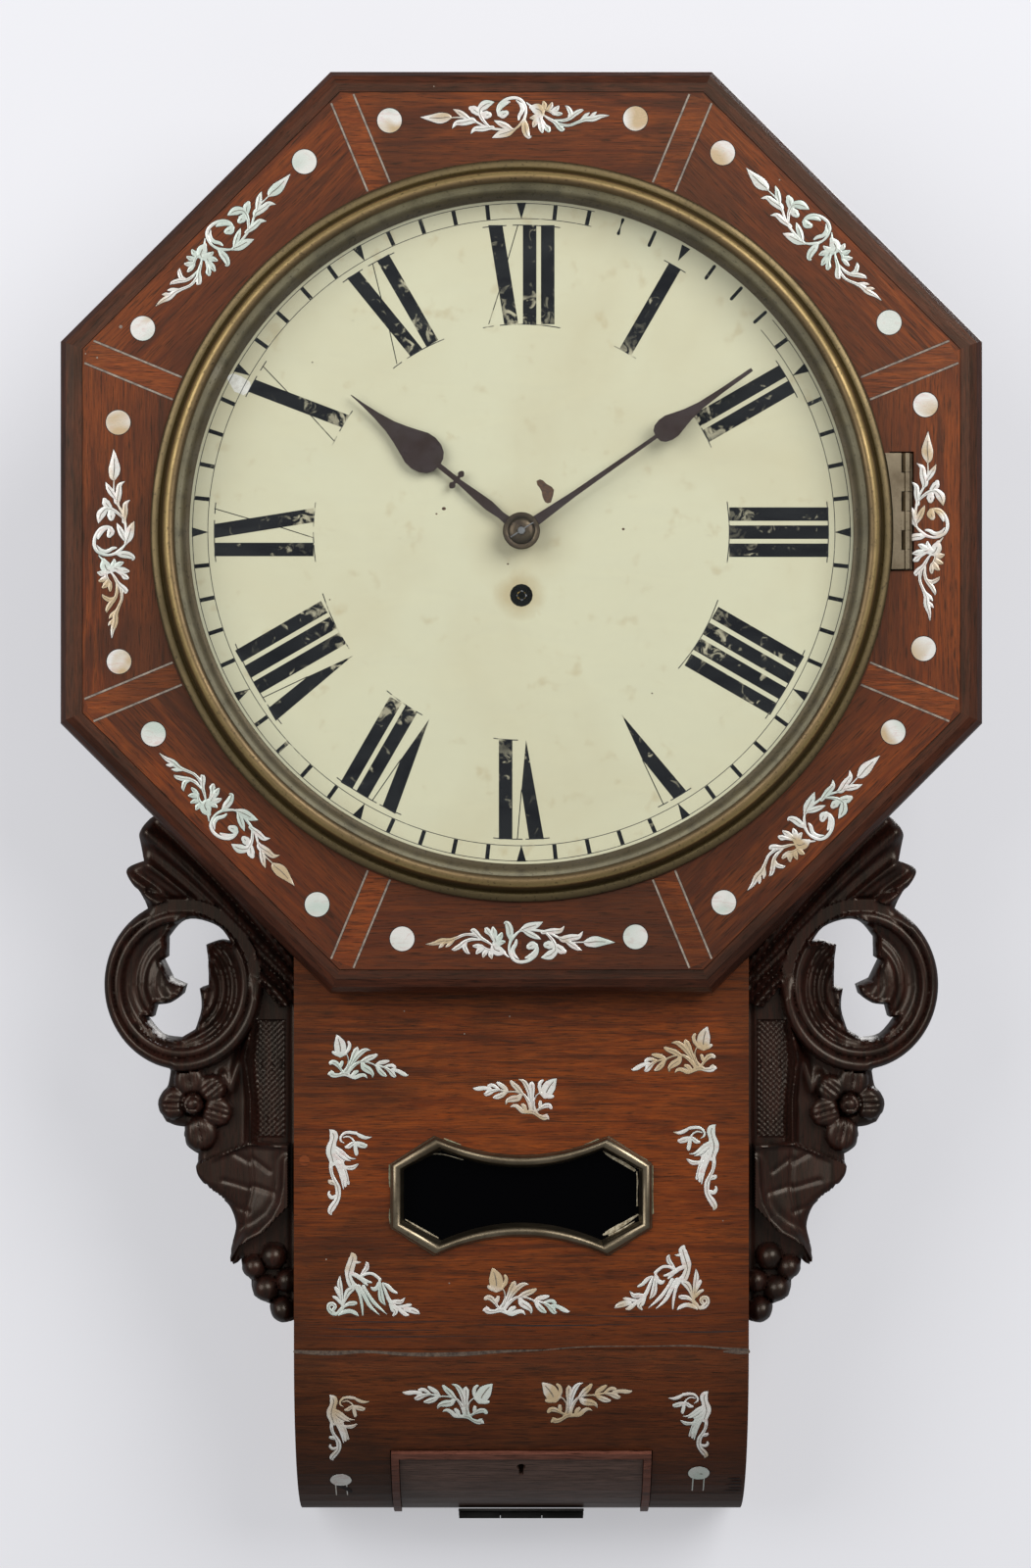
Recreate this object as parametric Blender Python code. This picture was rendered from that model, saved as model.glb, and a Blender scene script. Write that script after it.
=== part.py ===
"""Octagonal drop dial wall clock with a fusee movement.

Frame: the origin is where the dial axis meets the wall. +X runs to the right
of someone facing the dial, +Y runs into the wall and +Z runs up. All lengths
are in metres and all angles are in degrees unless a name says otherwise.
"""

import math

import bmesh
import bpy
from mathutils import Matrix, Vector
from mathutils.geometry import delaunay_2d_cdt

for old_object in list(bpy.data.objects):
    bpy.data.objects.remove(old_object, do_unlink=True)

# Clearances
GAP = 0.0003            # between two solids that touch on the real clock
RUNNING_GAP = 0.0006    # round a shaft that turns in its hole
SWING_GAP = 0.0008      # round a door in its opening

# Case
CASE_WIDTH = 0.211
CASE_DEPTH = 0.112
BACK_THICK = 0.010
SIDE_THICK = 0.011
FRONT_THICK = 0.010
TOP_THICK = 0.010
BOX_TOP = 0.150
TRUNK_TOP = -0.150
FOOT_TOP = -0.378
FOOT_RADIUS = 0.088
FOOT_THICK = 0.009

# Battens behind the surround, and the pegs through them into the case sides
BATTEN_THICK = 0.014
BATTEN_DEPTH = 0.022
BATTEN_HALF_LENGTH = 0.100
PEG_RADIUS = 0.0032
PEG_PLACES = (-0.078, 0.078)
PEG_REACH = 0.005       # past the outside of the batten
PEG_SHORT = 0.001       # short of the inside of the case

# Hanging plate
PLATE_HANG_HALF_WIDTH = 0.021
PLATE_HANG_THICK = 0.0028
PLATE_HANG_OVERLAP = 0.024
PLATE_HANG_RISE = 0.016
PLATE_HANG_HOLE = 0.0065

# Octagonal surround
SURROUND_MARGIN = 0.0425    # from the bezel's edge to the flat of the octagon
MOULDING_WIDTH = 0.0115
SURROUND_THICK = 0.026

# Dial and bezel
SIGHT_RADIUS = 0.1524
DIAL_LIP = 0.0051       # edge of the dial that the sight ring covers
DIAL_SEAT = 0.0095      # edge of the dial that rests on the surround
DIAL_THICK = 0.0015
DIAL_SINK = 0.0085      # front of the dial behind the front of the surround
BEZEL_OVERLAP = 0.0120  # edge of the bezel past the dial
BEZEL_FLANGE = 0.0045
BEZEL_FLANGE_EDGE = 0.0016
BEZEL_HEIGHT = 0.0135
GLASS_THICK = 0.0022

# Bezel hinge
HINGE_Z = 0.009
HINGE_LENGTH = 0.053
HINGE_STANDOFF = 0.0067 # from the bezel's edge to the pin
HINGE_SINK = 0.0039     # depth of the mortise for the leaves
HINGE_KNUCKLES = 6
HINGE_BARREL_RADIUS = 0.0024
HINGE_PIN_RADIUS = 0.0010
HINGE_LEAF_THICK = 0.0012

# Pendulum window
WINDOW_Z = -0.306
WINDOW_HALF_WIDTH = 0.0605
WINDOW_CORNER_X = 0.0405
WINDOW_HALF_HEIGHT = 0.0272
WINDOW_SHOULDER = 0.0148
WINDOW_WAIST = 0.0180
WINDOW_BEAD = 0.0062
WINDOW_PROUD = 0.0040

# Foot door
DOOR_WIDTH = 0.1140
DOOR_START = 34.5       # degrees round the foot, from its top edge
DOOR_END = 79.0
DOOR_BEAD_WIDTH = 0.0036
DOOR_BEAD_PROUD = 0.0018
KEYHOLE_ANGLE = 41.5
KEYHOLE_RADIUS = 0.0022

# Side door
SIDE_DOOR_BACK = -0.024
SIDE_DOOR_FRONT = -0.088
SIDE_DOOR_LOW = -0.098
SIDE_DOOR_HIGH = 0.032

# Carved brackets
BRACKET_BACK = -0.081
BRACKET_THICK = 0.027

# Movement plates
PLATE_THICK = 0.003
PLATE_GAP = 0.048
FRONT_PLATE_FRONT = -0.112
PLATE_LEFT = -0.080
PLATE_RIGHT = 0.044
PLATE_BOTTOM = -0.088
PLATE_TOP = 0.066
PILLAR_RADIUS = 0.0040
ARBOR_RADIUS = 0.0008

# Wheel train: teeth and modules
GREAT_TEETH = 72
CENTRE_TEETH = 60
THIRD_TEETH = 60
ESCAPE_TEETH = 30
PINION_LEAVES = 6
GREAT_MODULE = 0.0007436
CENTRE_MODULE = 0.0006667
THIRD_MODULE = 0.0005333
ESCAPE_RADIUS = 0.0155
WHEEL_THICK = 0.0016
CANNON_TEETH = 18
MINUTE_TEETH = 36
HOUR_TEETH = 36
MINUTE_PINION_LEAVES = 6
CANNON_MODULE = 0.0006667
MINUTE_POST_RADIUS = 0.0006

# Fusee, barrel and line
FUSEE_LARGE_RADIUS = 0.0215
FUSEE_SMALL_RADIUS = 0.0095
FUSEE_LENGTH = 0.026
FUSEE_TURNS = 7
FUSEE_GROOVE = 0.0007
WINDING_SQUARE = 0.0036
BARREL_RADIUS = 0.0235
BARREL_WALL = 0.0015
BARREL_LENGTH = 0.033
BARREL_ARBOR_RADIUS = 0.0032
LINE_RADIUS = 0.0007

# Pendulum
PENDULUM_Y = -0.044
BOB_Z = -0.303
BOB_RADIUS = 0.034
BOB_THICK = 0.022
ROD_WIDTH = 0.0050
ROD_THICK = 0.0024
NUT_RADIUS = 0.0065
NUT_HEIGHT = 0.0060

# Hands, with the angle clockwise from twelve
HOUR_HAND_ANGLE = 308.7
MINUTE_HAND_ANGLE = 55.0
HOUR_HAND_LENGTH = 0.1000
MINUTE_HAND_LENGTH = 0.1286
HAND_THICK = 0.0010
COLLET_RADIUS = 0.0085
HOUR_HAND_LIFT = 0.0036   # back of the hour hand before the dial
MINUTE_HAND_LIFT = 0.0086

# Levels worked out from the sizes above. Y is smaller nearer the viewer.
CASE_FRONT = -CASE_DEPTH
SURROUND_BACK = CASE_FRONT - GAP
SURROUND_FRONT = SURROUND_BACK - SURROUND_THICK
DIAL_FRONT = SURROUND_FRONT + DIAL_SINK
DIAL_BACK = DIAL_FRONT + DIAL_THICK
FRONT_PLATE_BACK = FRONT_PLATE_FRONT + PLATE_THICK
BACK_PLATE_FRONT = FRONT_PLATE_BACK + PLATE_GAP
BACK_PLATE_BACK = BACK_PLATE_FRONT + PLATE_THICK
HALF_CASE = CASE_WIDTH / 2
FOOT_CENTRE_Y = CASE_FRONT + FOOT_RADIUS
CASE_BOTTOM = FOOT_TOP - FOOT_RADIUS
HINGE_AXIS_Y = SURROUND_FRONT - 0.0002
PEG_LEVEL = SURROUND_BACK + BATTEN_DEPTH / 2

# Sizes round the dial that follow from the sight size
DIAL_RADIUS = SIGHT_RADIUS + DIAL_LIP
MOVEMENT_HOLE_RADIUS = DIAL_RADIUS - DIAL_SEAT
BEZEL_RADIUS = DIAL_RADIUS + BEZEL_OVERLAP
HINGE_AXIS_X = BEZEL_RADIUS + HINGE_STANDOFF
OCTAGON_ACROSS = 2 * (BEZEL_RADIUS + SURROUND_MARGIN)

# Arbor places in the plane of the dial, as (x, z)
GREAT_RADIUS = GREAT_MODULE * GREAT_TEETH / 2
CENTRE_PINION_RADIUS = GREAT_MODULE * PINION_LEAVES / 2
CENTRE_AXIS = (0.0, 0.0)
FUSEE_AXIS = (0.0, -(GREAT_RADIUS + CENTRE_PINION_RADIUS))
CENTRE_TO_THIRD = CENTRE_MODULE * (CENTRE_TEETH + PINION_LEAVES) / 2
THIRD_AXIS = (CENTRE_TO_THIRD * math.sin(math.radians(33.1)),
              CENTRE_TO_THIRD * math.cos(math.radians(33.1)))
THIRD_TO_ESCAPE = THIRD_MODULE * (THIRD_TEETH + PINION_LEAVES) / 2
ESCAPE_AXIS = (0.0, THIRD_AXIS[1] + math.sqrt(THIRD_TO_ESCAPE ** 2 - THIRD_AXIS[0] ** 2))
PALLET_AXIS = (0.0, ESCAPE_AXIS[1] + ESCAPE_RADIUS * math.sqrt(2))
MOTION_DISTANCE = CANNON_MODULE * (CANNON_TEETH + MINUTE_TEETH) / 2
HOUR_MODULE = 2 * MOTION_DISTANCE / (HOUR_TEETH + MINUTE_PINION_LEAVES)
MINUTE_WHEEL_AXIS = (-MOTION_DISTANCE, 0.0)
BARREL_AXIS = (-0.050, -0.058)

# Levels of the wheels
GREAT_LEVEL = BACK_PLATE_FRONT - 0.0050
CENTRE_LEVEL = FRONT_PLATE_BACK + 0.0030
THIRD_LEVEL = FRONT_PLATE_BACK + 0.0110
ESCAPE_LEVEL = BACK_PLATE_FRONT - 0.0080
CANNON_LEVEL = FRONT_PLATE_FRONT - 0.0020
HOUR_LEVEL = FRONT_PLATE_FRONT - 0.0062


def finish(name, colour, roughness, metallic=0.0):
    """Return a Principled material with one colour, roughness and metallic value."""
    material = bpy.data.materials.new(name)
    material.use_nodes = True
    shader = material.node_tree.nodes["Principled BSDF"]
    shader.inputs["Base Color"].default_value = (*colour, 1.0)
    shader.inputs["Roughness"].default_value = roughness
    shader.inputs["Metallic"].default_value = metallic
    material.diffuse_color = (*colour, 1.0)
    return material


def circle(radius, count, centre=(0.0, 0.0), turn=0.0):
    """Return the corners of a regular polygon round a centre."""
    return [(centre[0] + radius * math.cos(turn + math.tau * k / count),
             centre[1] + radius * math.sin(turn + math.tau * k / count))
            for k in range(count)]


def rectangle(left, low, right, high):
    """Return the four corners of a rectangle."""
    return [(left, low), (right, low), (right, high), (left, high)]


def moved(outline, shift):
    """Return an outline shifted by an (x, z) pair."""
    return [(x + shift[0], z + shift[1]) for x, z in outline]


def turned_outline(outline, clockwise):
    """Return an outline turned clockwise about the dial axis, in degrees."""
    angle = math.radians(-clockwise)
    cosine, sine = math.cos(angle), math.sin(angle)
    return [(x * cosine - z * sine, x * sine + z * cosine) for x, z in outline]


def smooth_through(points, steps):
    """Return a curve through the points, corner points (x, z, 'corner') kept sharp."""
    result = []
    count = len(points)
    for k, point in enumerate(points):
        following = points[(k + 1) % count]
        before = points[k - 1] if len(point) == 2 else point
        after = points[(k + 2) % count] if len(following) == 2 else following
        p0, p1, p2, p3 = (Vector(p[:2]) for p in (before, point, following, after))
        for step in range(steps):
            t = step / steps
            place = 0.5 * (2 * p1 + (p2 - p0) * t + (2 * p0 - 5 * p1 + 4 * p2 - p3) * t ** 2
                           + (3 * p1 - p0 - 3 * p2 + p3) * t ** 3)
            result.append((place.x, place.y))
    return result


def add_object(name, mesh, material, axis_point=(0.0, 0.0, 0.0), parent=None):
    """Make an object from a mesh in world places, with its origin on an axis point."""
    mesh.transform(Matrix.Translation(-Vector(axis_point)))
    mesh.materials.append(material)
    shape = bpy.data.objects.new(name, mesh)
    shape.location = axis_point
    bpy.context.collection.objects.link(shape)
    if parent is not None:
        shape.parent = parent
        shape.matrix_parent_inverse = Matrix.Translation(-parent.location)
    return shape


def mesh_from(work):
    """Return a mesh made from a bmesh whose faces are turned to point outwards."""
    bmesh.ops.recalc_face_normals(work, faces=work.faces)
    mesh = bpy.data.meshes.new("shape")
    work.to_mesh(mesh)
    work.free()
    return mesh


def smoothed(mesh, angle=35.0):
    """Shade a round mesh smooth, with its edges kept sharp past an angle."""
    mesh.shade_smooth()
    mesh.set_sharp_from_angle(angle=math.radians(angle))
    return mesh


def prism(outline, near, far, holes=(), plane="XZ"):
    """Return a flat solid with an outline and holes, between two levels.

    Plane XZ runs from y near to y far, plane YZ from x near to x far, and
    plane XY from z near to z far.
    """
    work = bmesh.new()
    for loop in (outline, *holes):
        corners = [work.verts.new(placed(a, b, near, plane)) for a, b in loop]
        for k, corner in enumerate(corners):
            work.edges.new((corners[k - 1], corner))
    bmesh.ops.triangle_fill(work, use_beauty=True, use_dissolve=False, edges=work.edges)
    side = bmesh.ops.extrude_face_region(work, geom=work.faces[:])
    raised = [item for item in side["geom"] if isinstance(item, bmesh.types.BMVert)]
    shift = Vector(placed(0.0, 0.0, far - near, plane))
    bmesh.ops.translate(work, verts=raised, vec=shift)
    return mesh_from(work)


def placed(a, b, level, plane):
    """Return the world place of two plane coordinates at a level."""
    if plane == "XZ":
        return (a, level, b)
    if plane == "YZ":
        return (level, a, b)
    return (a, b, level)


def block(low, high):
    """Return a rectangular solid between two corners."""
    return prism(rectangle(low[0], low[2], high[0], high[2]), low[1], high[1])


def lathe(profile, steps, centre=(0.0, 0.0), axis="Y", ring=False, turn=0.0):
    """Return a turned solid.

    The profile is a list of (radius, level). A ring profile closes on itself
    and stays off the axis; any other starts and ends with flat ends.
    """
    work = bmesh.new()
    rows = []
    for radius, level in profile:
        row = []
        for a, b in circle(radius, steps, centre, turn):
            row.append(work.verts.new(placed(a, b, level, {"Y": "XZ", "X": "YZ", "Z": "XY"}[axis])))
        rows.append(row)
    pairs = list(zip(rows, rows[1:]))
    if ring:
        pairs.append((rows[-1], rows[0]))
    for lower, upper in pairs:
        for k in range(steps):
            work.faces.new((lower[k - 1], lower[k], upper[k], upper[k - 1]))
    if not ring:
        work.faces.new(rows[0])
        work.faces.new(rows[-1])
    return smoothed(mesh_from(work))


def combined(base, tool, operation):
    """Return base joined with, or cut by, tool as one closed mesh."""
    target = bpy.data.objects.new("target", base)
    cutter = bpy.data.objects.new("cutter", tool)
    for item in (target, cutter):
        bpy.context.collection.objects.link(item)
    change = target.modifiers.new("change", "BOOLEAN")
    change.operation = operation
    change.solver = "EXACT"
    change.object = cutter
    graph = bpy.context.evaluated_depsgraph_get()
    result = bpy.data.meshes.new_from_object(target.evaluated_get(graph))
    bpy.data.objects.remove(target)
    bpy.data.objects.remove(cutter)
    result.materials.clear()
    return result


def swept(points, radius, sides):
    """Return a round tube of a few sides along a path, with flat ends."""
    work = bmesh.new()
    rows = []
    path = [Vector(point) for point in points]
    up = Vector((0.0, 1.0, 0.0))
    for k, point in enumerate(path):
        along = (path[min(k + 1, len(path) - 1)] - path[max(k - 1, 0)]).normalized()
        across = along.cross(up).normalized()
        lift = across.cross(along)
        row = []
        for side in range(sides):
            angle = math.tau * side / sides
            row.append(work.verts.new(point + radius * (math.cos(angle) * across
                                                        + math.sin(angle) * lift)))
        rows.append(row)
    for lower, upper in zip(rows, rows[1:]):
        for side in range(sides):
            work.faces.new((lower[side - 1], lower[side], upper[side], upper[side - 1]))
    work.faces.new(rows[0])
    work.faces.new(rows[-1])
    return smoothed(mesh_from(work), 60.0)


def gear_outline(teeth, module, tip, root, turn=0.0):
    """Return a toothed outline, with tip and root heights from the pitch circle in modules."""
    pitch_radius = module * teeth / 2
    pitch = math.tau / teeth
    outline = []
    for k in range(teeth):
        middle = turn + k * pitch
        for radius, angle in ((pitch_radius + tip * module, middle),
                              (pitch_radius - root * module, middle + pitch / 2)):
            outline.append((radius * math.cos(angle), radius * math.sin(angle)))
    return outline


def leaf_outline(leaves, module, tip, root, tip_share, root_share, turn=0.0):
    """Return a pinion outline of four points a leaf."""
    pitch_radius = module * leaves / 2
    pitch = math.tau / leaves
    outline = []
    for k in range(leaves):
        middle = turn + k * pitch
        for radius, share in ((pitch_radius - root * module, -root_share),
                              (pitch_radius + tip * module, -tip_share),
                              (pitch_radius + tip * module, tip_share),
                              (pitch_radius - root * module, root_share)):
            angle = middle + share * pitch / 2
            outline.append((radius * math.cos(angle), radius * math.sin(angle)))
    return outline


def crossings(inner, outer, spokes, spoke_width, turn=0.0):
    """Return the openings between the spokes of a crossed-out wheel."""
    openings = []
    for k in range(spokes):
        start = turn + math.tau * k / spokes
        end = start + math.tau / spokes
        outer_trim = math.asin(spoke_width / 2 / outer)
        inner_trim = math.asin(spoke_width / 2 / inner)
        opening = []
        for step in range(5):
            angle = start + outer_trim + (end - start - 2 * outer_trim) * step / 4
            opening.append((outer * math.cos(angle), outer * math.sin(angle)))
        for step in range(3):
            angle = end - inner_trim - (end - start - 2 * inner_trim) * step / 2
            opening.append((inner * math.cos(angle), inner * math.sin(angle)))
        openings.append(opening)
    return openings


def hinge_half(plane, centre, low, high, knuckles, first, leaf, web, pinned=False):
    """Return one half of a knuckled hinge: a leaf with every second knuckle.

    Leaf is the mesh of the leaf. Web is an outline in the plane square to the
    pin that carries each knuckle on the leaf. The pinned half holds the pin,
    and the other half has a bore that turns on it.
    """
    axis = {"XY": "Z", "YZ": "X"}[plane]
    length = (high - low) / knuckles
    half = leaf
    for k in range(first, knuckles, 2):
        start = low + k * length + GAP / 2
        end = start + length - GAP
        half = combined(half, prism(web, start, end, plane=plane), "UNION")
        barrel = lathe([(HINGE_BARREL_RADIUS, start), (HINGE_BARREL_RADIUS, end)],
                       8, centre, axis, turn=math.pi / 8)
        half = combined(half, barrel, "UNION")
    if pinned:
        pin = lathe([(HINGE_PIN_RADIUS, low), (HINGE_PIN_RADIUS, high)], 8, centre, axis)
        return combined(half, pin, "UNION")
    bore = lathe([(HINGE_PIN_RADIUS + GAP, low - GAP), (HINGE_PIN_RADIUS + GAP, high + GAP)],
                 8, centre, axis)
    return combined(half, bore, "DIFFERENCE")


def foot_point(radius, degrees):
    """Return the (y, z) place on the foot's quarter round, from its top edge."""
    angle = math.radians(degrees)
    return (FOOT_CENTRE_Y - radius * math.cos(angle), FOOT_TOP - radius * math.sin(angle))


def foot_arc(radius, start, end, steps):
    """Return points round the foot between two angles."""
    return [foot_point(radius, start + (end - start) * k / steps) for k in range(steps + 1)]


def foot_wedge(inner, outer, start, end, half_width, steps=7):
    """Return a curved slab of the foot between two radii, two angles and two sides."""
    outline = foot_arc(outer, start, end, steps) + foot_arc(inner, end, start, steps)
    return prism(outline, -half_width, half_width, plane="YZ")


def octagon(across):
    """Return a regular octagon standing on a flat side."""
    return circle(across / 2 / math.cos(math.pi / 8), 8, turn=math.pi / 8)


ROSEWOOD = finish("rosewood", (0.20, 0.045, 0.020), 0.32)
DARK_WOOD = finish("ebonised_wood", (0.030, 0.014, 0.011), 0.38)
PINE = finish("pine", (0.36, 0.20, 0.09), 0.7)
BRASS = finish("aged_brass", (0.30, 0.22, 0.10), 0.38, 1.0)
BRIGHT_BRASS = finish("plate_brass", (0.60, 0.42, 0.16), 0.30, 1.0)
STEEL = finish("polished_steel", (0.45, 0.45, 0.46), 0.25, 1.0)
BLUED = finish("blued_steel", (0.030, 0.030, 0.060), 0.35, 0.6)
DIAL_PAINT = finish("dial_paint", (0.66, 0.65, 0.44), 0.5)
GLASS = finish("glass", (0.90, 0.93, 0.92), 0.05)
GUT = finish("gut_line", (0.42, 0.27, 0.11), 0.6)
LEAD = finish("oxidised_lead", (0.02, 0.02, 0.02), 0.6, 0.5)


def make_case():
    """Make the box behind the surround: boards, top, trunk front and foot."""
    inner_back = -(BACK_THICK + GAP)
    board = block((-HALF_CASE, -BACK_THICK, CASE_BOTTOM), (HALF_CASE, 0.0, BOX_TOP))
    recess = block((-PLATE_HANG_HALF_WIDTH - GAP, -PLATE_HANG_THICK - GAP,
                    BOX_TOP - PLATE_HANG_OVERLAP - GAP),
                   (PLATE_HANG_HALF_WIDTH + GAP, GAP, BOX_TOP + GAP))
    add_object("back_board", combined(board, recess, "DIFFERENCE"), PINE)
    inner_foot = FOOT_RADIUS - FOOT_THICK - GAP
    inner_front = CASE_FRONT + FRONT_THICK + GAP
    outline = [(inner_back, BOX_TOP), (CASE_FRONT, BOX_TOP), (CASE_FRONT, TRUNK_TOP + GAP),
               (inner_front, TRUNK_TOP + GAP), (inner_front, FOOT_TOP)]
    outline += foot_arc(inner_foot, 3.0, 90.0, 9)
    outline.append((inner_back, FOOT_TOP - inner_foot))
    door_hole = rectangle(SIDE_DOOR_FRONT - SWING_GAP, SIDE_DOOR_LOW - SWING_GAP,
                          SIDE_DOOR_BACK + SWING_GAP, SIDE_DOOR_HIGH + SWING_GAP)
    peg_holes = [circle(PEG_RADIUS + GAP, 8, (PEG_LEVEL, place)) for place in PEG_PLACES]
    add_object("case_side_left", prism(outline, -HALF_CASE, SIDE_THICK - HALF_CASE, peg_holes,
                                       "YZ"), ROSEWOOD)
    add_object("case_side_right", prism(outline, HALF_CASE - SIDE_THICK, HALF_CASE,
                                        [door_hole, *peg_holes], "YZ"), ROSEWOOD)
    inner_half = HALF_CASE - SIDE_THICK - GAP
    add_object("case_top", block((-inner_half, CASE_FRONT, BOX_TOP - TOP_THICK),
                                 (inner_half, inner_back, BOX_TOP)), PINE)
    window = window_outline(WINDOW_BEAD - 0.0025)
    front = prism(rectangle(-HALF_CASE, FOOT_TOP + GAP, HALF_CASE, TRUNK_TOP),
                  CASE_FRONT, CASE_FRONT + FRONT_THICK, [window])
    add_object("trunk_front", front, ROSEWOOD)
    foot_outline = foot_arc(FOOT_RADIUS, 0.0, 90.0, 14)
    foot_outline += [(inner_back, CASE_BOTTOM), (inner_back, CASE_BOTTOM + FOOT_THICK)]
    foot_outline += foot_arc(FOOT_RADIUS - FOOT_THICK, 90.0, 0.0, 14)
    foot = prism(foot_outline, -HALF_CASE, HALF_CASE, plane="YZ")
    trim = math.degrees(SWING_GAP / FOOT_RADIUS)
    opening = foot_wedge(FOOT_RADIUS - 2 * FOOT_THICK, FOOT_RADIUS + FOOT_THICK,
                         DOOR_START - trim, DOOR_END + trim,
                         DOOR_WIDTH / 2 + DOOR_BEAD_WIDTH + SWING_GAP)
    add_object("foot_panel", combined(foot, opening, "DIFFERENCE"), ROSEWOOD)


def window_outline(inset):
    """Return the pendulum window's shape, drawn in by an inset from its outer edge.

    Straight canted corners join upright ends to a top and a bottom that both
    curve in towards the middle.
    """
    side = WINDOW_HALF_WIDTH - inset
    corner = WINDOW_CORNER_X - inset * 0.55
    high = WINDOW_HALF_HEIGHT - inset * 1.12
    shoulder = WINDOW_SHOULDER - inset * 0.45
    waist = WINDOW_WAIST - inset
    quarter = []
    steps = 8
    for k in range(steps + 1):
        x = -corner + 2 * corner * k / steps
        quarter.append((x, waist + (high - waist) * (x / corner) ** 2))
    top = [(-side, shoulder)] + quarter + [(side, shoulder)]
    bottom = [(-x, -z) for x, z in top]
    return moved(top + bottom, (0.0, WINDOW_Z))


def make_window():
    """Make the brass window frame, which stands in the trunk front, and its glass."""
    rows = [(0.0, CASE_FRONT - GAP), (0.0014, CASE_FRONT - WINDOW_PROUD * 0.55),
            (0.0030, CASE_FRONT - WINDOW_PROUD), (0.0048, CASE_FRONT - WINDOW_PROUD * 0.7),
            (WINDOW_BEAD, CASE_FRONT + 0.0006), (WINDOW_BEAD, CASE_FRONT + 0.0040),
            (WINDOW_BEAD - 0.0022, CASE_FRONT + 0.0040),
            (WINDOW_BEAD - 0.0022, CASE_FRONT - GAP)]
    work = bmesh.new()
    loops = [[work.verts.new((x, level, z)) for x, z in window_outline(inset)]
             for inset, level in rows]
    for lower, upper in zip(loops, loops[1:] + loops[:1]):
        for k in range(len(lower)):
            work.faces.new((lower[k - 1], lower[k], upper[k], upper[k - 1]))
    add_object("window_bezel", mesh_from(work), BRASS)
    pane = window_outline(WINDOW_BEAD - 0.0022)
    back = CASE_FRONT + 0.0040 + GAP
    add_object("window_glass", prism(pane, back, back + 0.0020), GLASS)


def make_surround():
    """Make the octagonal surround and the rounded moulding round its edge."""
    inner = OCTAGON_ACROSS - 2 * MOULDING_WIDTH
    body = prism(octagon(inner), SURROUND_FRONT, SURROUND_BACK, [circle(MOVEMENT_HOLE_RADIUS, 48)])
    rebate = lathe([(DIAL_RADIUS + SWING_GAP, SURROUND_FRONT - GAP),
                    (DIAL_RADIUS + SWING_GAP, DIAL_BACK + GAP)], 64)
    body = combined(body, rebate, "DIFFERENCE")
    half = HINGE_LENGTH / 2 + SWING_GAP
    mortise = block((BEZEL_RADIUS - 0.0012, SURROUND_FRONT - GAP, HINGE_Z - half),
                    (HINGE_AXIS_X + HINGE_BARREL_RADIUS + SWING_GAP, SURROUND_FRONT + HINGE_SINK,
                     HINGE_Z + half))
    body = combined(body, mortise, "DIFFERENCE")
    add_object("dial_surround", body, ROSEWOOD)
    edge = 2 * GAP
    sections = [(OCTAGON_ACROSS - 2 * MOULDING_WIDTH + edge, SURROUND_FRONT),
                (OCTAGON_ACROSS - 1.25 * MOULDING_WIDTH, SURROUND_FRONT),
                (OCTAGON_ACROSS - 0.62 * MOULDING_WIDTH, SURROUND_FRONT + 0.0018),
                (OCTAGON_ACROSS - 0.20 * MOULDING_WIDTH, SURROUND_FRONT + 0.0060),
                (OCTAGON_ACROSS, SURROUND_FRONT + 0.0120),
                (OCTAGON_ACROSS, SURROUND_BACK - 0.0030),
                (OCTAGON_ACROSS - 0.4 * MOULDING_WIDTH, SURROUND_BACK),
                (OCTAGON_ACROSS - 2 * MOULDING_WIDTH + edge, SURROUND_BACK)]
    work = bmesh.new()
    loops = [[work.verts.new((x, level, z)) for x, z in octagon(across)]
             for across, level in sections]
    for lower, upper in zip(loops, loops[1:] + loops[:1]):
        for k in range(8):
            work.faces.new((lower[k - 1], lower[k], upper[k], upper[k - 1]))
    add_object("surround_moulding", mesh_from(work), DARK_WOOD)


def make_battens():
    """Make the battens behind the surround, with the pegs that hold the box to them."""
    for side, name in ((-1, "left"), (1, "right")):
        low, high = sorted((side * (HALF_CASE + GAP), side * (HALF_CASE + GAP + BATTEN_THICK)))
        batten = block((low, SURROUND_BACK + GAP, -BATTEN_HALF_LENGTH),
                       (high, SURROUND_BACK + BATTEN_DEPTH, BATTEN_HALF_LENGTH))
        inner = side * (HALF_CASE - SIDE_THICK + PEG_SHORT)
        outer = side * (HALF_CASE + GAP + BATTEN_THICK + PEG_REACH)
        for place in PEG_PLACES:
            peg = lathe([(PEG_RADIUS, inner), (PEG_RADIUS, outer)], 8, (PEG_LEVEL, place), "X")
            batten = combined(batten, peg, "UNION")
        add_object(f"surround_batten_{name}", batten, PINE)


def make_hanging_plate():
    """Make the brass plate let into the back board, whose hole takes the wall hook."""
    half = PLATE_HANG_HALF_WIDTH
    middle = BOX_TOP + PLATE_HANG_RISE
    outline = [(-half, BOX_TOP - PLATE_HANG_OVERLAP), (half, BOX_TOP - PLATE_HANG_OVERLAP)]
    outline += [(half * math.cos(math.radians(angle)), middle + half * math.sin(math.radians(angle)))
                for angle in range(0, 181, 20)]
    hole = circle(PLATE_HANG_HOLE, 14, (0.0, middle + 0.002))
    add_object("hanging_plate", prism(outline, -PLATE_HANG_THICK, 0.0, [hole]), BRASS)


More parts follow.
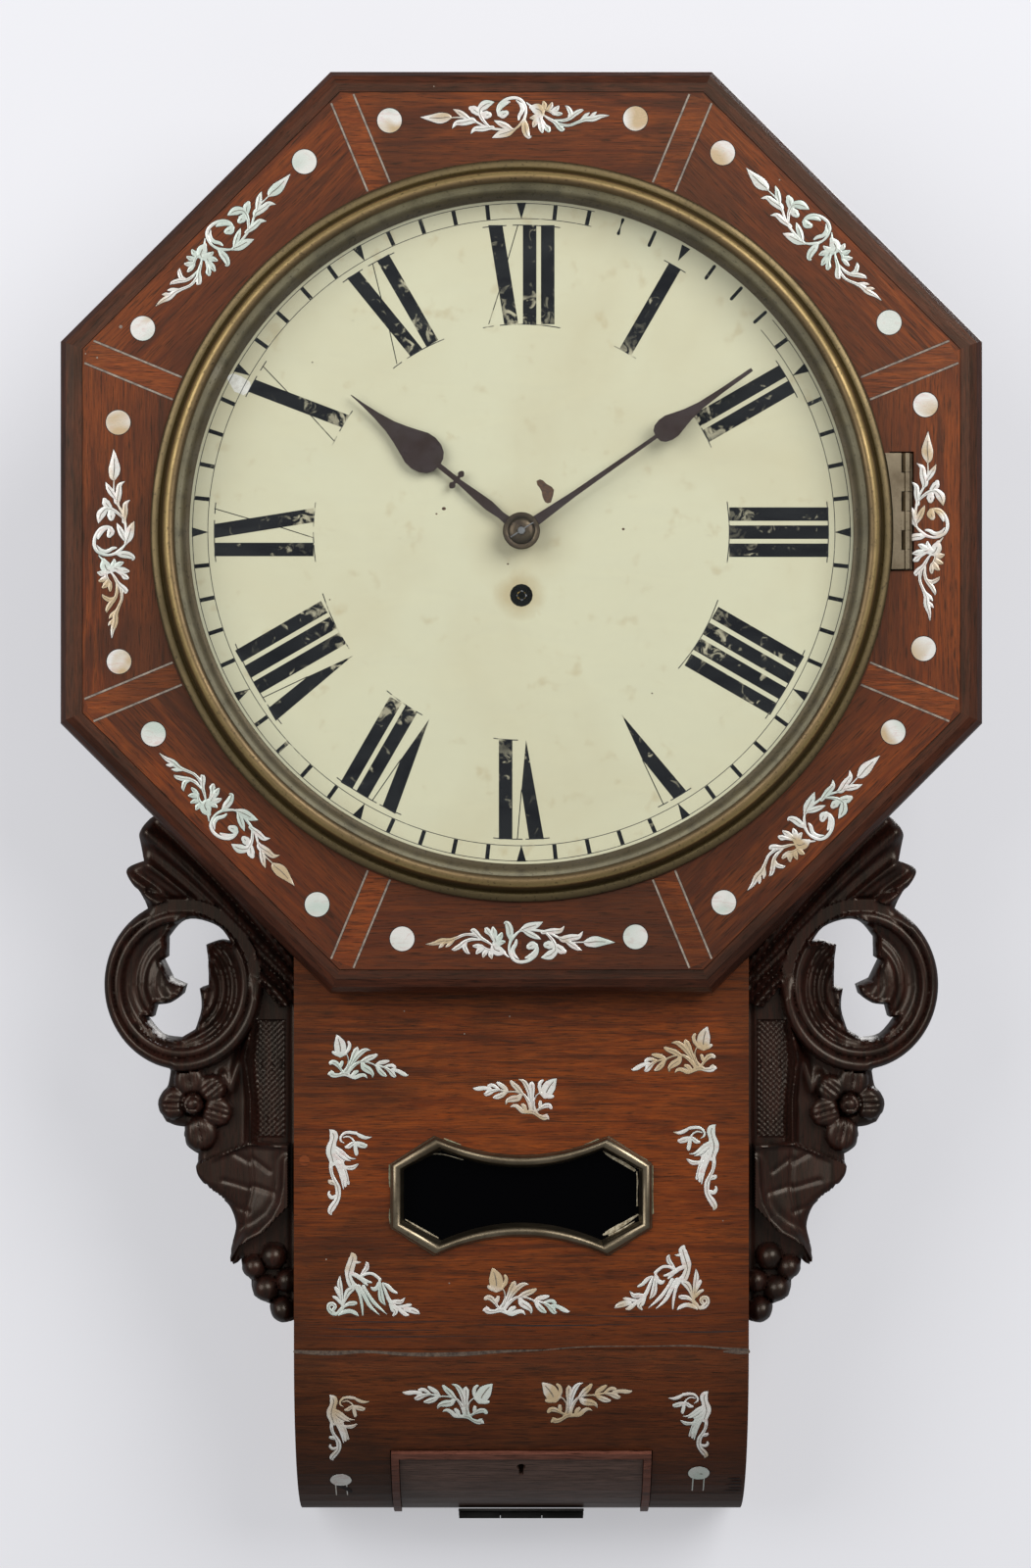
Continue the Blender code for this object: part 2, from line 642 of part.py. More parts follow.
# Carved bracket, in millimetres: distance out from the trunk side, and height
# above the dial axis. A third value marks a sharp corner.
MILLIMETRE = 0.001
SCROLL_CENTRE = (51.0, -209.0)
SCROLL_RADII = (37.4, 40.0)
SCROLL_FROM = 62.0
SCROLL_TO = -79.0
FLOWER_CENTRE = (45.5, -265.0)
FLOWER_PETAL_RADIUS = 9.0
LEAF_ROOT = (22.0, -284.0)
LEAF_TIP = (29.5, -340.0)
GRAPES = [(10.0, -336.1, 6.3), (19.1, -341.1, 5.6), (13.7, -351.1, 6.2),
          (3.6, -347.5, 5.5), (5.9, -361.2, 6.2)]
GROUND_THICK = 15.0
BRACKET_UPPER = [(0.0, -182.0, 0), (58.0, -128.0, 0), (66.7, -131.1), (71.8, -137.5),
                 (72.4, -141.8), (70.3, -151.5, 0), (76.9, -154.0), (78.5, -157.0),
                 (74.7, -163.3), (69.6, -168.0, 0)]
BRACKET_LOWER = [(59.5, -256.4, 0), (63.8, -264.0), (60.4, -273.7), (51.8, -276.1, 0),
                 (50.9, -284.5), (45.4, -288.7, 0), (44.9, -297.0), (38.4, -305.5),
                 (30.8, -311.8), (27.4, -322.0), (30.0, -333.0), (29.1, -340.5),
                 (25.3, -337.9, 0), (24.3, -343.5), (20.6, -347.8, 0), (19.3, -355.0),
                 (11.8, -358.9, 0), (10.0, -364.5), (4.6, -367.6), (0.0, -365.9, 0)]
SCROLL_EYE = [(46.0, -178.5), (35.0, -182.3), (29.2, -190.0, 0), (35.0, -188.8),
              (41.6, -190.8, 0), (40.4, -198.0), (40.0, -209.7, 0), (44.3, -211.1, 0),
              (43.5, -220.4), (46.8, -230.6), (54.0, -234.9), (62.9, -233.1),
              (70.1, -224.7, 0), (66.6, -224.7, 0), (65.0, -218.7, 0), (58.0, -217.8),
              (52.7, -214.0), (51.5, -209.8, 0), (57.8, -206.9), (62.1, -198.0, 0),
              (60.1, -196.7, 0), (59.9, -187.4), (54.0, -180.6)]


def bracket_outline():
    """Return the bracket's outline, with its big scroll as part of an ellipse."""
    upper = smooth_through(BRACKET_UPPER, 2)[:-2]
    scroll = []
    steps = 16
    for k in range(steps + 1):
        angle = math.radians(SCROLL_FROM + (SCROLL_TO - SCROLL_FROM) * k / steps)
        scroll.append((SCROLL_CENTRE[0] + SCROLL_RADII[0] * math.cos(angle),
                       SCROLL_CENTRE[1] + SCROLL_RADII[1] * math.sin(angle)))
    lower = smooth_through(BRACKET_LOWER, 2)[:-2] + [BRACKET_LOWER[-1][:2]]
    return upper + scroll + lower


def scroll_share(a, z):
    """Return how far out a place lies in the big scroll, 1 at its outer edge."""
    return math.hypot((a - SCROLL_CENTRE[0]) / SCROLL_RADII[0],
                      (z - SCROLL_CENTRE[1]) / SCROLL_RADII[1])


def along_leaf(a, z):
    """Return a place's share of the way down the leaf and its offset from the rib."""
    run = Vector(LEAF_TIP) - Vector(LEAF_ROOT)
    away = Vector((a, z)) - Vector(LEAF_ROOT)
    share = away.dot(run) / run.length_squared
    return share, away.cross(run) / run.length


def bracket_thickness(a, z):
    """Return the carved thickness, in millimetres, at a place on the bracket."""
    depth = BRACKET_THICK / MILLIMETRE
    share = scroll_share(a, z)
    thick = GROUND_THICK
    if z > -170.0 and share > 1.0:
        thick = depth - 5.0 + 2.0 * math.cos(0.55 * (a + 1.1 * z))
    if share <= 1.001:
        if share > 0.88:
            thick = depth - 6.0 + 6.0 * math.sqrt(max(0.0, 1 - ((share - 0.94) / 0.062) ** 2))
        else:
            thick = depth - 4.0 - 5.0 * math.sin(math.pi * min(1.0, max(0.0, (0.88 - share) / 0.3)))
    petal = math.hypot(a - FLOWER_CENTRE[0], z - FLOWER_CENTRE[1])
    if petal < 2.2 * FLOWER_PETAL_RADIUS and z > -290.0 and share > 1.0:
        turn = math.atan2(z - FLOWER_CENTRE[1], a - FLOWER_CENTRE[0])
        lobes = 0.5 + 0.5 * math.cos(5 * turn - 0.6)
        thick = depth - 7.0 + 4.0 * lobes * min(1.0, petal / FLOWER_PETAL_RADIUS)
        thick += 3.0 * max(0.0, 1 - petal / 4.0)
    leaf, offset = along_leaf(a, z)
    if -0.05 < leaf < 1.05 and z < -290.0:
        width = 22.0 * (1.0 - 0.8 * leaf) + 3.0
        if abs(offset) < width:
            thick = depth - 3.0 - 6.0 * (offset / width) ** 2 + 1.5 * math.cos(0.5 * z)
    for centre_a, centre_z, radius in GRAPES:
        away = math.hypot(a - centre_a, z - centre_z)
        if away < radius:
            thick = max(thick if leaf < 0.9 else 0.0,
                        GROUND_THICK + 3.0 + math.sqrt(radius ** 2 - away ** 2))
    return min(thick, depth)


def inside(outline, a, z):
    """Tell whether a place lies inside an outline."""
    odd = False
    for k, (a1, z1) in enumerate(outline):
        a0, z0 = outline[k - 1]
        if (z0 > z) != (z1 > z) and a < a0 + (a1 - a0) * (z - z0) / (z1 - z0):
            odd = not odd
    return odd


def nearest(points, a, z):
    """Return the distance to the nearest of some points."""
    return min(math.hypot(a - pa, z - pz) for pa, pz in points)


def bracket_places(outline, eye):
    """Return the places inside the outline where the carving is shaped."""
    wanted = []
    for share, count in ((0.94, 28), (0.84, 24), (0.68, 16)):
        for k in range(count):
            angle = math.tau * k / count
            wanted.append((SCROLL_CENTRE[0] + share * SCROLL_RADII[0] * math.cos(angle),
                           SCROLL_CENTRE[1] + share * SCROLL_RADII[1] * math.sin(angle)))
    for centre_a, centre_z, radius in GRAPES:
        wanted.append((centre_a, centre_z))
        wanted += circle(0.62 * radius, 7, (centre_a, centre_z))
        wanted += circle(0.99 * radius, 9, (centre_a, centre_z), 0.3)
    wanted.append(FLOWER_CENTRE)
    wanted += circle(3.8, 7, FLOWER_CENTRE)
    wanted += circle(9.5, 10, FLOWER_CENTRE)
    for share in (0.05, 0.25, 0.45, 0.65, 0.85):
        wanted.append(tuple(Vector(LEAF_ROOT).lerp(Vector(LEAF_TIP), share)))
    spacing = 7.5
    for row in range(36):
        for column in range(12):
            wanted.append((spacing * (column + 0.5 * (row % 2)) + 2.0, -128.0 - 0.87 * spacing * row))
    kept = []
    border = outline + eye
    for a, z in wanted:
        clear = inside(outline, a, z) and not inside(eye, a, z)
        if clear and nearest(border, a, z) > 1.5 and (not kept or nearest(kept, a, z) > 3.0):
            kept.append((a, z))
    return kept


def bracket_mesh(side):
    """Return one carved bracket, on the left (side -1) or the right (side 1)."""
    outline = bracket_outline()
    eye = smooth_through(SCROLL_EYE, 1)
    places = bracket_places(outline, eye)
    points = [Vector(p) for p in outline + eye + places]
    rim = len(outline)
    edges = [(k, (k + 1) % rim) for k in range(rim)]
    edges += [(rim + k, rim + (k + 1) % len(eye)) for k in range(len(eye))]
    net = delaunay_2d_cdt(points, edges, [], 0, 1e-6)
    corners, triangles = net[0], net[2]
    work = bmesh.new()
    front, back = [], []
    for corner in corners:
        a, z = corner
        x = side * (HALF_CASE + GAP + a * MILLIMETRE)
        level = BRACKET_BACK - bracket_thickness(a, z) * MILLIMETRE
        front.append(work.verts.new((x, level, z * MILLIMETRE)))
        back.append(work.verts.new((x, BRACKET_BACK, z * MILLIMETRE)))
    uses = {}
    for triangle in triangles:
        a = sum(corners[k][0] for k in triangle) / 3
        z = sum(corners[k][1] for k in triangle) / 3
        if not inside(outline, a, z) or inside(eye, a, z):
            continue
        work.faces.new([front[k] for k in triangle])
        for start, end in zip(triangle, triangle[1:] + triangle[:1]):
            key = (min(start, end), max(start, end))
            uses[key] = uses.get(key, 0) + 1
    rim_edges = [key for key, count in uses.items() if count == 1]
    for start, end in rim_edges:
        work.faces.new((front[start], front[end], back[end], back[start]))
    border = [work.edges.get((back[start], back[end])) for start, end in rim_edges]
    bmesh.ops.triangle_fill(work, use_beauty=True, use_dissolve=False, edges=border)
    loose = [v for v in work.verts if not v.link_faces]
    bmesh.ops.delete(work, geom=loose, context="VERTS")
    return smoothed(mesh_from(work), 50.0)


def make_brackets():
    """Make the two carved scroll brackets under the surround."""
    for side, name in ((-1, "left"), (1, "right")):
        add_object(f"bracket_{name}", bracket_mesh(side), DARK_WOOD)


BEZEL_BACK = SURROUND_FRONT - GAP
GLASS_RADIUS = BEZEL_RADIUS - 0.0093
ROUND_STEPS = 48


def bezel_profile():
    """Return the bezel's section: flange, groove, bead and the seat of the glass."""
    flange = BEZEL_RADIUS - BEZEL_FLANGE
    bead = GLASS_RADIUS + 0.0010
    heights = [(BEZEL_RADIUS, 0.0), (BEZEL_RADIUS, BEZEL_FLANGE_EDGE),
               (flange, 0.0040), (flange - 0.0018, 0.0070),
               (bead + 0.0012, BEZEL_HEIGHT - 0.0020), (bead - 0.0004, BEZEL_HEIGHT),
               (bead - 0.0024, BEZEL_HEIGHT - 0.0016),
               (GLASS_RADIUS + GAP, BEZEL_HEIGHT - 0.0035),
               (GLASS_RADIUS + GAP, 0.0)]
    return [(radius, BEZEL_BACK - height) for radius, height in heights]


def make_bezel():
    """Make the hinged brass bezel with its glass, its sight ring and the hinge."""
    hinge = (HINGE_AXIS_X, HINGE_AXIS_Y)
    axis_point = (HINGE_AXIS_X, HINGE_AXIS_Y, HINGE_Z)
    add_object("bezel_ring", lathe(bezel_profile(), ROUND_STEPS, ring=True), BRASS, axis_point)
    glass_front = BEZEL_BACK - BEZEL_HEIGHT + 0.0035 + GAP
    glass_back = glass_front + GLASS_THICK
    glass = lathe([(GLASS_RADIUS, glass_front), (GLASS_RADIUS, glass_back)], ROUND_STEPS)
    add_object("dial_glass", glass, GLASS, axis_point)
    ring_front = glass_back + GAP
    profile = [(GLASS_RADIUS, ring_front), (DIAL_RADIUS - 0.0014, SURROUND_FRONT),
               (SIGHT_RADIUS + 0.0012, DIAL_FRONT - GAP), (SIGHT_RADIUS, DIAL_FRONT - GAP),
               (SIGHT_RADIUS, DIAL_FRONT - 0.0013), (DIAL_RADIUS - 0.0012, SURROUND_FRONT - 0.0024)]
    add_object("sight_ring", lathe(profile, ROUND_STEPS, ring=True), BRASS, axis_point)
    low, high = HINGE_Z - HINGE_LENGTH / 2, HINGE_Z + HINGE_LENGTH / 2
    floor = SURROUND_FRONT + HINGE_SINK - GAP
    inner = BEZEL_RADIUS - 0.0008
    outer = HINGE_AXIS_X + HINGE_BARREL_RADIUS + GAP
    fixed_leaf = block((inner, floor - HINGE_LEAF_THICK, low), (outer, floor, high))
    fixed_web = rectangle(HINGE_AXIS_X - 0.0012, HINGE_AXIS_Y, HINGE_AXIS_X + 0.0012,
                          floor - HINGE_LEAF_THICK / 2)
    fixed = hinge_half("XY", hinge, low, high, HINGE_KNUCKLES, 1, fixed_leaf, fixed_web, True)
    add_object("bezel_hinge_case_leaf", fixed, BRASS)
    near_pin = HINGE_AXIS_X - HINGE_BARREL_RADIUS - GAP
    leaf_front = BEZEL_BACK - BEZEL_FLANGE_EDGE
    edge = BEZEL_RADIUS + GAP
    arc = []
    for k in range(9):
        z = high - (high - low) * k / 8
        arc.append((math.sqrt(edge ** 2 - z ** 2), z))
    swing_leaf = prism([(near_pin, low), (near_pin, high)] + arc, leaf_front, BEZEL_BACK)
    swing_web = rectangle(near_pin - 0.0012, leaf_front, HINGE_AXIS_X, BEZEL_BACK)
    swing = hinge_half("XY", hinge, low, high, HINGE_KNUCKLES, 0, swing_leaf, swing_web)
    add_object("bezel_hinge_leaf", swing, BRASS, axis_point)


DIAL_FEET = [(-0.068, 0.050), (0.032, 0.050), (-0.070, -0.020), (0.032, -0.076)]
DIAL_FOOT_RADIUS = 0.0025
HOUR_PIPE_RADIUS = 0.0045
HOUR_PIPE_BORE = 0.0034
CANNON_PIPE_RADIUS = 0.0026
CANNON_PIPE_BORE = 0.0018
CENTRE_FRONT_RADIUS = 0.0014
WINDING_HOLE_RADIUS = 0.00525


def make_dial():
    """Make the dial plate with its two holes and the feet that carry the movement."""
    holes = [circle(HOUR_PIPE_RADIUS + RUNNING_GAP, 14), circle(WINDING_HOLE_RADIUS, 16, FUSEE_AXIS)]
    dial = prism(circle(DIAL_RADIUS, ROUND_STEPS), DIAL_FRONT, DIAL_BACK, holes)
    for place in DIAL_FEET:
        foot = lathe([(DIAL_FOOT_RADIUS, DIAL_BACK - DIAL_THICK / 2),
                      (DIAL_FOOT_RADIUS, FRONT_PLATE_BACK + 0.002)], 8, place)
        dial = combined(dial, foot, "UNION")
    add_object("dial", dial, DIAL_PAINT)


HOUR_HAND_PROFILE = [(0.0072, 0.0021), (0.012, 0.0017), (0.019, 0.0024), (0.026, 0.0020),
                     (0.0360, 0.0012), (0.0372, 0.0012), (0.0373, 0.0020), (0.0366, 0.0026),
                     (0.0365, 0.0034), (0.0371, 0.0045), (0.0380, 0.0050), (0.0389, 0.0045),
                     (0.0395, 0.0034), (0.0394, 0.0026), (0.0387, 0.0020), (0.0388, 0.0012),
                     (0.0483, 0.0012), (0.0488, 0.0036), (0.0505, 0.0062), (0.0535, 0.0081),
                     (0.0575, 0.0090), (0.0615, 0.0086), (0.0660, 0.0068), (0.0710, 0.0049),
                     (0.0770, 0.0030), (0.0850, 0.0016), (0.0930, 0.0007)]
MINUTE_HAND_PROFILE = [(0.0072, 0.0024), (0.0150, 0.0020), (0.0300, 0.0013), (0.0600, 0.0010),
                       (0.0752, 0.0009), (0.0757, 0.0030), (0.0775, 0.0046), (0.0805, 0.0055),
                       (0.0840, 0.0055), (0.0880, 0.0043), (0.0930, 0.0029), (0.1000, 0.0017),
                       (0.1120, 0.0011), (0.1260, 0.0009)]


def hand_outline(profile, length, boss, tip_width, clockwise):
    """Return a hand's outline from half widths along it, turned to its place."""
    start = math.degrees(math.asin(profile[0][1] / boss))
    outline = [(half, distance) for distance, half in profile]
    outline += [(tip_width, length), (-tip_width, length)]
    outline += [(-half, distance) for distance, half in reversed(profile)]
    steps = 10
    for k in range(1, steps):
        angle = math.radians(90.0 + start + (360.0 - 2 * start) * k / steps)
        outline.append((boss * math.cos(angle), boss * math.sin(angle)))
    return turned_outline(outline, clockwise)


def make_hands():
    """Make the two hands and the collet that holds the minute hand."""
    hour_back = DIAL_FRONT - HOUR_HAND_LIFT
    outline = hand_outline(HOUR_HAND_PROFILE, HOUR_HAND_LENGTH, 0.0075, 0.0002, HOUR_HAND_ANGLE)
    hole = circle(HOUR_PIPE_RADIUS + GAP, 12)
    add_object("hour_hand", prism(outline, hour_back - HAND_THICK, hour_back, [hole]), BLUED)
    minute_back = DIAL_FRONT - MINUTE_HAND_LIFT
    outline = hand_outline(MINUTE_HAND_PROFILE, MINUTE_HAND_LENGTH, 0.0075, 0.0008,
                           MINUTE_HAND_ANGLE)
    hole = circle(CANNON_PIPE_RADIUS + GAP, 10)
    add_object("minute_hand", prism(outline, minute_back - HAND_THICK, minute_back, [hole]), BLUED)
    collet_back = minute_back - HAND_THICK - GAP
    bore = CENTRE_FRONT_RADIUS + GAP
    profile = [(bore, collet_back), (COLLET_RADIUS, collet_back),
               (COLLET_RADIUS, collet_back - 0.0008), (COLLET_RADIUS * 0.73, collet_back - 0.0011),
               (COLLET_RADIUS * 0.62, collet_back - 0.0020), (bore + 0.0012, collet_back - 0.0026),
               (bore, collet_back - 0.0026)]
    add_object("hand_collet", lathe(profile, 16, ring=True), BLUED)


PIVOT_RADIUS = 0.0005
PIVOT_HOLE = 0.0008
WHEEL_TOOTH = (1.10, 1.40)                # tip and root heights in modules
MOTION_TOOTH = (0.85, 1.30)
PINION_TOOTH = (0.50, 1.60, 0.24, 0.40)   # the same, and a leaf's shares of the pitch there
FUSEE_ARBOR_RADIUS = 0.0028
FUSEE_PIVOT_RADIUS = 0.0012
PILLARS = [(PLATE_LEFT + 0.007, PLATE_TOP - 0.007), (PLATE_RIGHT - 0.007, PLATE_TOP - 0.007),
           (PLATE_LEFT + 0.007, PLATE_BOTTOM + 0.007), (PLATE_RIGHT - 0.007, PLATE_BOTTOM + 0.007)]


def make_plates():
    """Make the front plate, and the back plate with its four riveted pillars."""
    outline = rectangle(PLATE_LEFT, PLATE_BOTTOM, PLATE_RIGHT, PLATE_TOP)
    pivots = [circle(PIVOT_HOLE, 8, place) for place in (THIRD_AXIS, ESCAPE_AXIS)]
    arbors = [circle(BARREL_ARBOR_RADIUS + GAP, 10, BARREL_AXIS)]
    front_holes = pivots + arbors + [circle(PIVOT_HOLE, 8, PALLET_AXIS)]
    front_holes.append(circle(CENTRE_FRONT_RADIUS + RUNNING_GAP, 10, CENTRE_AXIS))
    front_holes.append(circle(FUSEE_ARBOR_RADIUS + RUNNING_GAP, 16, FUSEE_AXIS))
    front_holes += [circle(DIAL_FOOT_RADIUS + GAP, 8, place) for place in DIAL_FEET]
    front = prism(outline, FRONT_PLATE_FRONT, FRONT_PLATE_BACK, front_holes)
    post = lathe([(MINUTE_POST_RADIUS, HOUR_LEVEL - 0.0030),
                  (MINUTE_POST_RADIUS, FRONT_PLATE_FRONT + PLATE_THICK / 2)], 8, MINUTE_WHEEL_AXIS)
    front = combined(front, post, "UNION")
    add_object("front_plate", front, BRIGHT_BRASS)
    back_holes = pivots + arbors + [circle(PIVOT_HOLE, 8, CENTRE_AXIS)]
    back_holes.append(circle(FUSEE_PIVOT_RADIUS + RUNNING_GAP, 10, FUSEE_AXIS))
    back_holes.append(circle(ARBOR_RADIUS + 2 * RUNNING_GAP, 10, PALLET_AXIS))
    back = prism(outline, BACK_PLATE_FRONT, BACK_PLATE_BACK, back_holes)
    for place in PILLARS:
        profile = [(PILLAR_RADIUS, FRONT_PLATE_BACK + GAP), (PILLAR_RADIUS, FRONT_PLATE_BACK + 0.004),
                   (PILLAR_RADIUS * 0.65, FRONT_PLATE_BACK + 0.007),
                   (PILLAR_RADIUS * 0.65, BACK_PLATE_FRONT - 0.007),
                   (PILLAR_RADIUS, BACK_PLATE_FRONT - 0.004),
                   (PILLAR_RADIUS, BACK_PLATE_FRONT + PLATE_THICK / 2)]
        back = combined(back, lathe(profile, 8, place), "UNION")
    add_object("back_plate", back, BRIGHT_BRASS)


def plain_arbor(back, front):
    """Return the profile of an arbor with a pivot in each plate."""
    return [(PIVOT_RADIUS, back), (PIVOT_RADIUS, BACK_PLATE_FRONT - GAP),
            (ARBOR_RADIUS, BACK_PLATE_FRONT - GAP), (ARBOR_RADIUS, FRONT_PLATE_BACK + GAP),
            (PIVOT_RADIUS, FRONT_PLATE_BACK + GAP), (PIVOT_RADIUS, front)]


def pinion_on(profile, axis, module, leaves, near, far, turn):
    """Return an arbor with a pinion cut on it between two levels."""
    outline = moved(leaf_outline(leaves, module, *PINION_TOOTH, turn), axis)
    return combined(lathe(profile, 8, axis), prism(outline, near, far), "UNION")


def direction(start, end):
    """Return the angle from one axis to another in the plane of the dial."""
    return math.atan2(end[1] - start[1], end[0] - start[0])


def wheel(axis, meshing_axis, teeth, module, level, bore, spokes, tooth=WHEEL_TOOTH):
    """Return a crossed-out wheel with a tooth pointing at the axis it meshes with."""
    turn = direction(axis, meshing_axis)
    outline = gear_outline(teeth, module, *tooth, turn)
    radius = module * teeth / 2
    openings = []
    if spokes:
        hub = max(radius * 0.30, bore + 0.0025)
        openings = crossings(hub, radius * 0.82, spokes, radius * 0.14, turn)
    holes = [moved(opening, axis) for opening in openings + [circle(bore, 10)]]
    return prism(moved(outline, axis), level - WHEEL_THICK / 2, level + WHEEL_THICK / 2, holes)


def at(axis, level):
    """Return the world point on an arbor at a level."""
    return (axis[0], level, axis[1])


def make_going_train():
    """Make the wheels and arbors between the plates, from the great wheel up."""
    gap_turn = math.pi / PINION_LEAVES
    bore = ARBOR_RADIUS + GAP
    great = wheel(FUSEE_AXIS, CENTRE_AXIS, GREAT_TEETH, GREAT_MODULE, GREAT_LEVEL,
                  FUSEE_ARBOR_RADIUS + RUNNING_GAP, 0)
    add_object("great_wheel", great, BRIGHT_BRASS, at(FUSEE_AXIS, GREAT_LEVEL))
    collet_front = DIAL_FRONT - MINUTE_HAND_LIFT - HAND_THICK - 0.0040
    profile = plain_arbor(BACK_PLATE_BACK, FRONT_PLATE_FRONT)[:4]
    profile += [(CENTRE_FRONT_RADIUS, FRONT_PLATE_BACK), (CENTRE_FRONT_RADIUS, collet_front)]
    arbor = pinion_on(profile, CENTRE_AXIS, GREAT_MODULE, PINION_LEAVES, GREAT_LEVEL - 0.0030,
                      GREAT_LEVEL + 0.0030, direction(CENTRE_AXIS, FUSEE_AXIS) + gap_turn)
    add_object("centre_arbor", arbor, STEEL)
    centre = wheel(CENTRE_AXIS, THIRD_AXIS, CENTRE_TEETH, CENTRE_MODULE, CENTRE_LEVEL, bore, 4)
    add_object("centre_wheel", centre, BRIGHT_BRASS)
    profile = plain_arbor(BACK_PLATE_BACK, FRONT_PLATE_FRONT)
    arbor = pinion_on(profile, THIRD_AXIS, CENTRE_MODULE, PINION_LEAVES, CENTRE_LEVEL - 0.0016,
                      CENTRE_LEVEL + 0.0040, direction(THIRD_AXIS, CENTRE_AXIS) + gap_turn)
    add_object("third_arbor", arbor, STEEL, at(THIRD_AXIS, THIRD_LEVEL))
    third = wheel(THIRD_AXIS, ESCAPE_AXIS, THIRD_TEETH, THIRD_MODULE, THIRD_LEVEL, bore, 4)
    add_object("third_wheel", third, BRIGHT_BRASS, at(THIRD_AXIS, THIRD_LEVEL))
    arbor = pinion_on(profile, ESCAPE_AXIS, THIRD_MODULE, PINION_LEAVES, THIRD_LEVEL - 0.0025,
                      THIRD_LEVEL + 0.0025, direction(ESCAPE_AXIS, THIRD_AXIS) + gap_turn)
    add_object("escape_arbor", arbor, STEEL, at(ESCAPE_AXIS, ESCAPE_LEVEL))
    make_escape_wheel(bore)


def make_escape_wheel(bore):
    """Make the escape wheel, whose pointed teeth lean back from the way it turns."""
    pitch = math.tau / ESCAPE_TEETH
    root = ESCAPE_RADIUS * 0.80
    outline = []
    for k in range(ESCAPE_TEETH):
        angle = k * pitch + math.pi / 4 + pitch / 2
        for radius, share in ((root, -0.14), (ESCAPE_RADIUS, 0.0), (root, 0.52)):
            outline.append((radius * math.cos(angle + share * pitch),
                            radius * math.sin(angle + share * pitch)))
    openings = crossings(ESCAPE_RADIUS * 0.27, ESCAPE_RADIUS * 0.66, 4, ESCAPE_RADIUS * 0.14)
    holes = [moved(opening, ESCAPE_AXIS) for opening in openings + [circle(bore, 10)]]
    shape = prism(moved(outline, ESCAPE_AXIS), ESCAPE_LEVEL - WHEEL_THICK / 2,
                  ESCAPE_LEVEL + WHEEL_THICK / 2, holes)
    add_object("escape_wheel", shape, BRIGHT_BRASS, at(ESCAPE_AXIS, ESCAPE_LEVEL))


def make_motion_work():
    """Make the cannon, minute and hour wheels between the front plate and the dial."""
    half = WHEEL_THICK / 2
    cannon = wheel(CENTRE_AXIS, MINUTE_WHEEL_AXIS, CANNON_TEETH, CANNON_MODULE, CANNON_LEVEL,
                   (CANNON_PIPE_BORE + CANNON_PIPE_RADIUS) / 2, 0, MOTION_TOOTH)
    pipe_front = DIAL_FRONT - MINUTE_HAND_LIFT - HAND_THICK
    back = CANNON_LEVEL + half - GAP / 2
    pipe = lathe([(CANNON_PIPE_BORE, back), (CANNON_PIPE_BORE, pipe_front),
                  (CANNON_PIPE_RADIUS, pipe_front), (CANNON_PIPE_RADIUS, back)],
                 10, ring=True)
    add_object("cannon_wheel", combined(cannon, pipe, "UNION"), BRIGHT_BRASS)
    turn = direction(MINUTE_WHEEL_AXIS, CENTRE_AXIS)
    outline = gear_outline(MINUTE_TEETH, CANNON_MODULE, *MOTION_TOOTH,
                           turn + math.pi / MINUTE_TEETH)
    bore = MINUTE_POST_RADIUS + GAP
    minute = prism(moved(outline, MINUTE_WHEEL_AXIS), CANNON_LEVEL - half, CANNON_LEVEL + half,
                   [circle(bore, 8, MINUTE_WHEEL_AXIS)])
    leaves = leaf_outline(MINUTE_PINION_LEAVES, HOUR_MODULE, *PINION_TOOTH,
                          turn + math.pi / MINUTE_PINION_LEAVES)
    pinion = prism(moved(leaves, MINUTE_WHEEL_AXIS), HOUR_LEVEL - 0.0020, CANNON_LEVEL,
                   [circle(bore, 8, MINUTE_WHEEL_AXIS)])
    minute = combined(minute, pinion, "UNION")
    add_object("minute_wheel", minute, BRIGHT_BRASS, at(MINUTE_WHEEL_AXIS, CANNON_LEVEL))
    hour = wheel(CENTRE_AXIS, MINUTE_WHEEL_AXIS, HOUR_TEETH, HOUR_MODULE, HOUR_LEVEL,
                 (HOUR_PIPE_BORE + HOUR_PIPE_RADIUS) / 2, 0)
    pipe_front = DIAL_FRONT - HOUR_HAND_LIFT - HAND_THICK
    back = HOUR_LEVEL + half - GAP / 2
    pipe = lathe([(HOUR_PIPE_BORE, back), (HOUR_PIPE_BORE, pipe_front),
                  (HOUR_PIPE_RADIUS, pipe_front), (HOUR_PIPE_RADIUS, back)], 12, ring=True)
    add_object("hour_wheel", combined(hour, pipe, "UNION"), BRIGHT_BRASS)


PALLET_CLEAR = 0.0014
CRUTCH_LEVEL = BACK_PLATE_BACK + 0.0040
COCK_BACK = PENDULUM_Y - 0.0020
COCK_FRONT = COCK_BACK - 0.0030
CRUTCH_LENGTH = 0.062


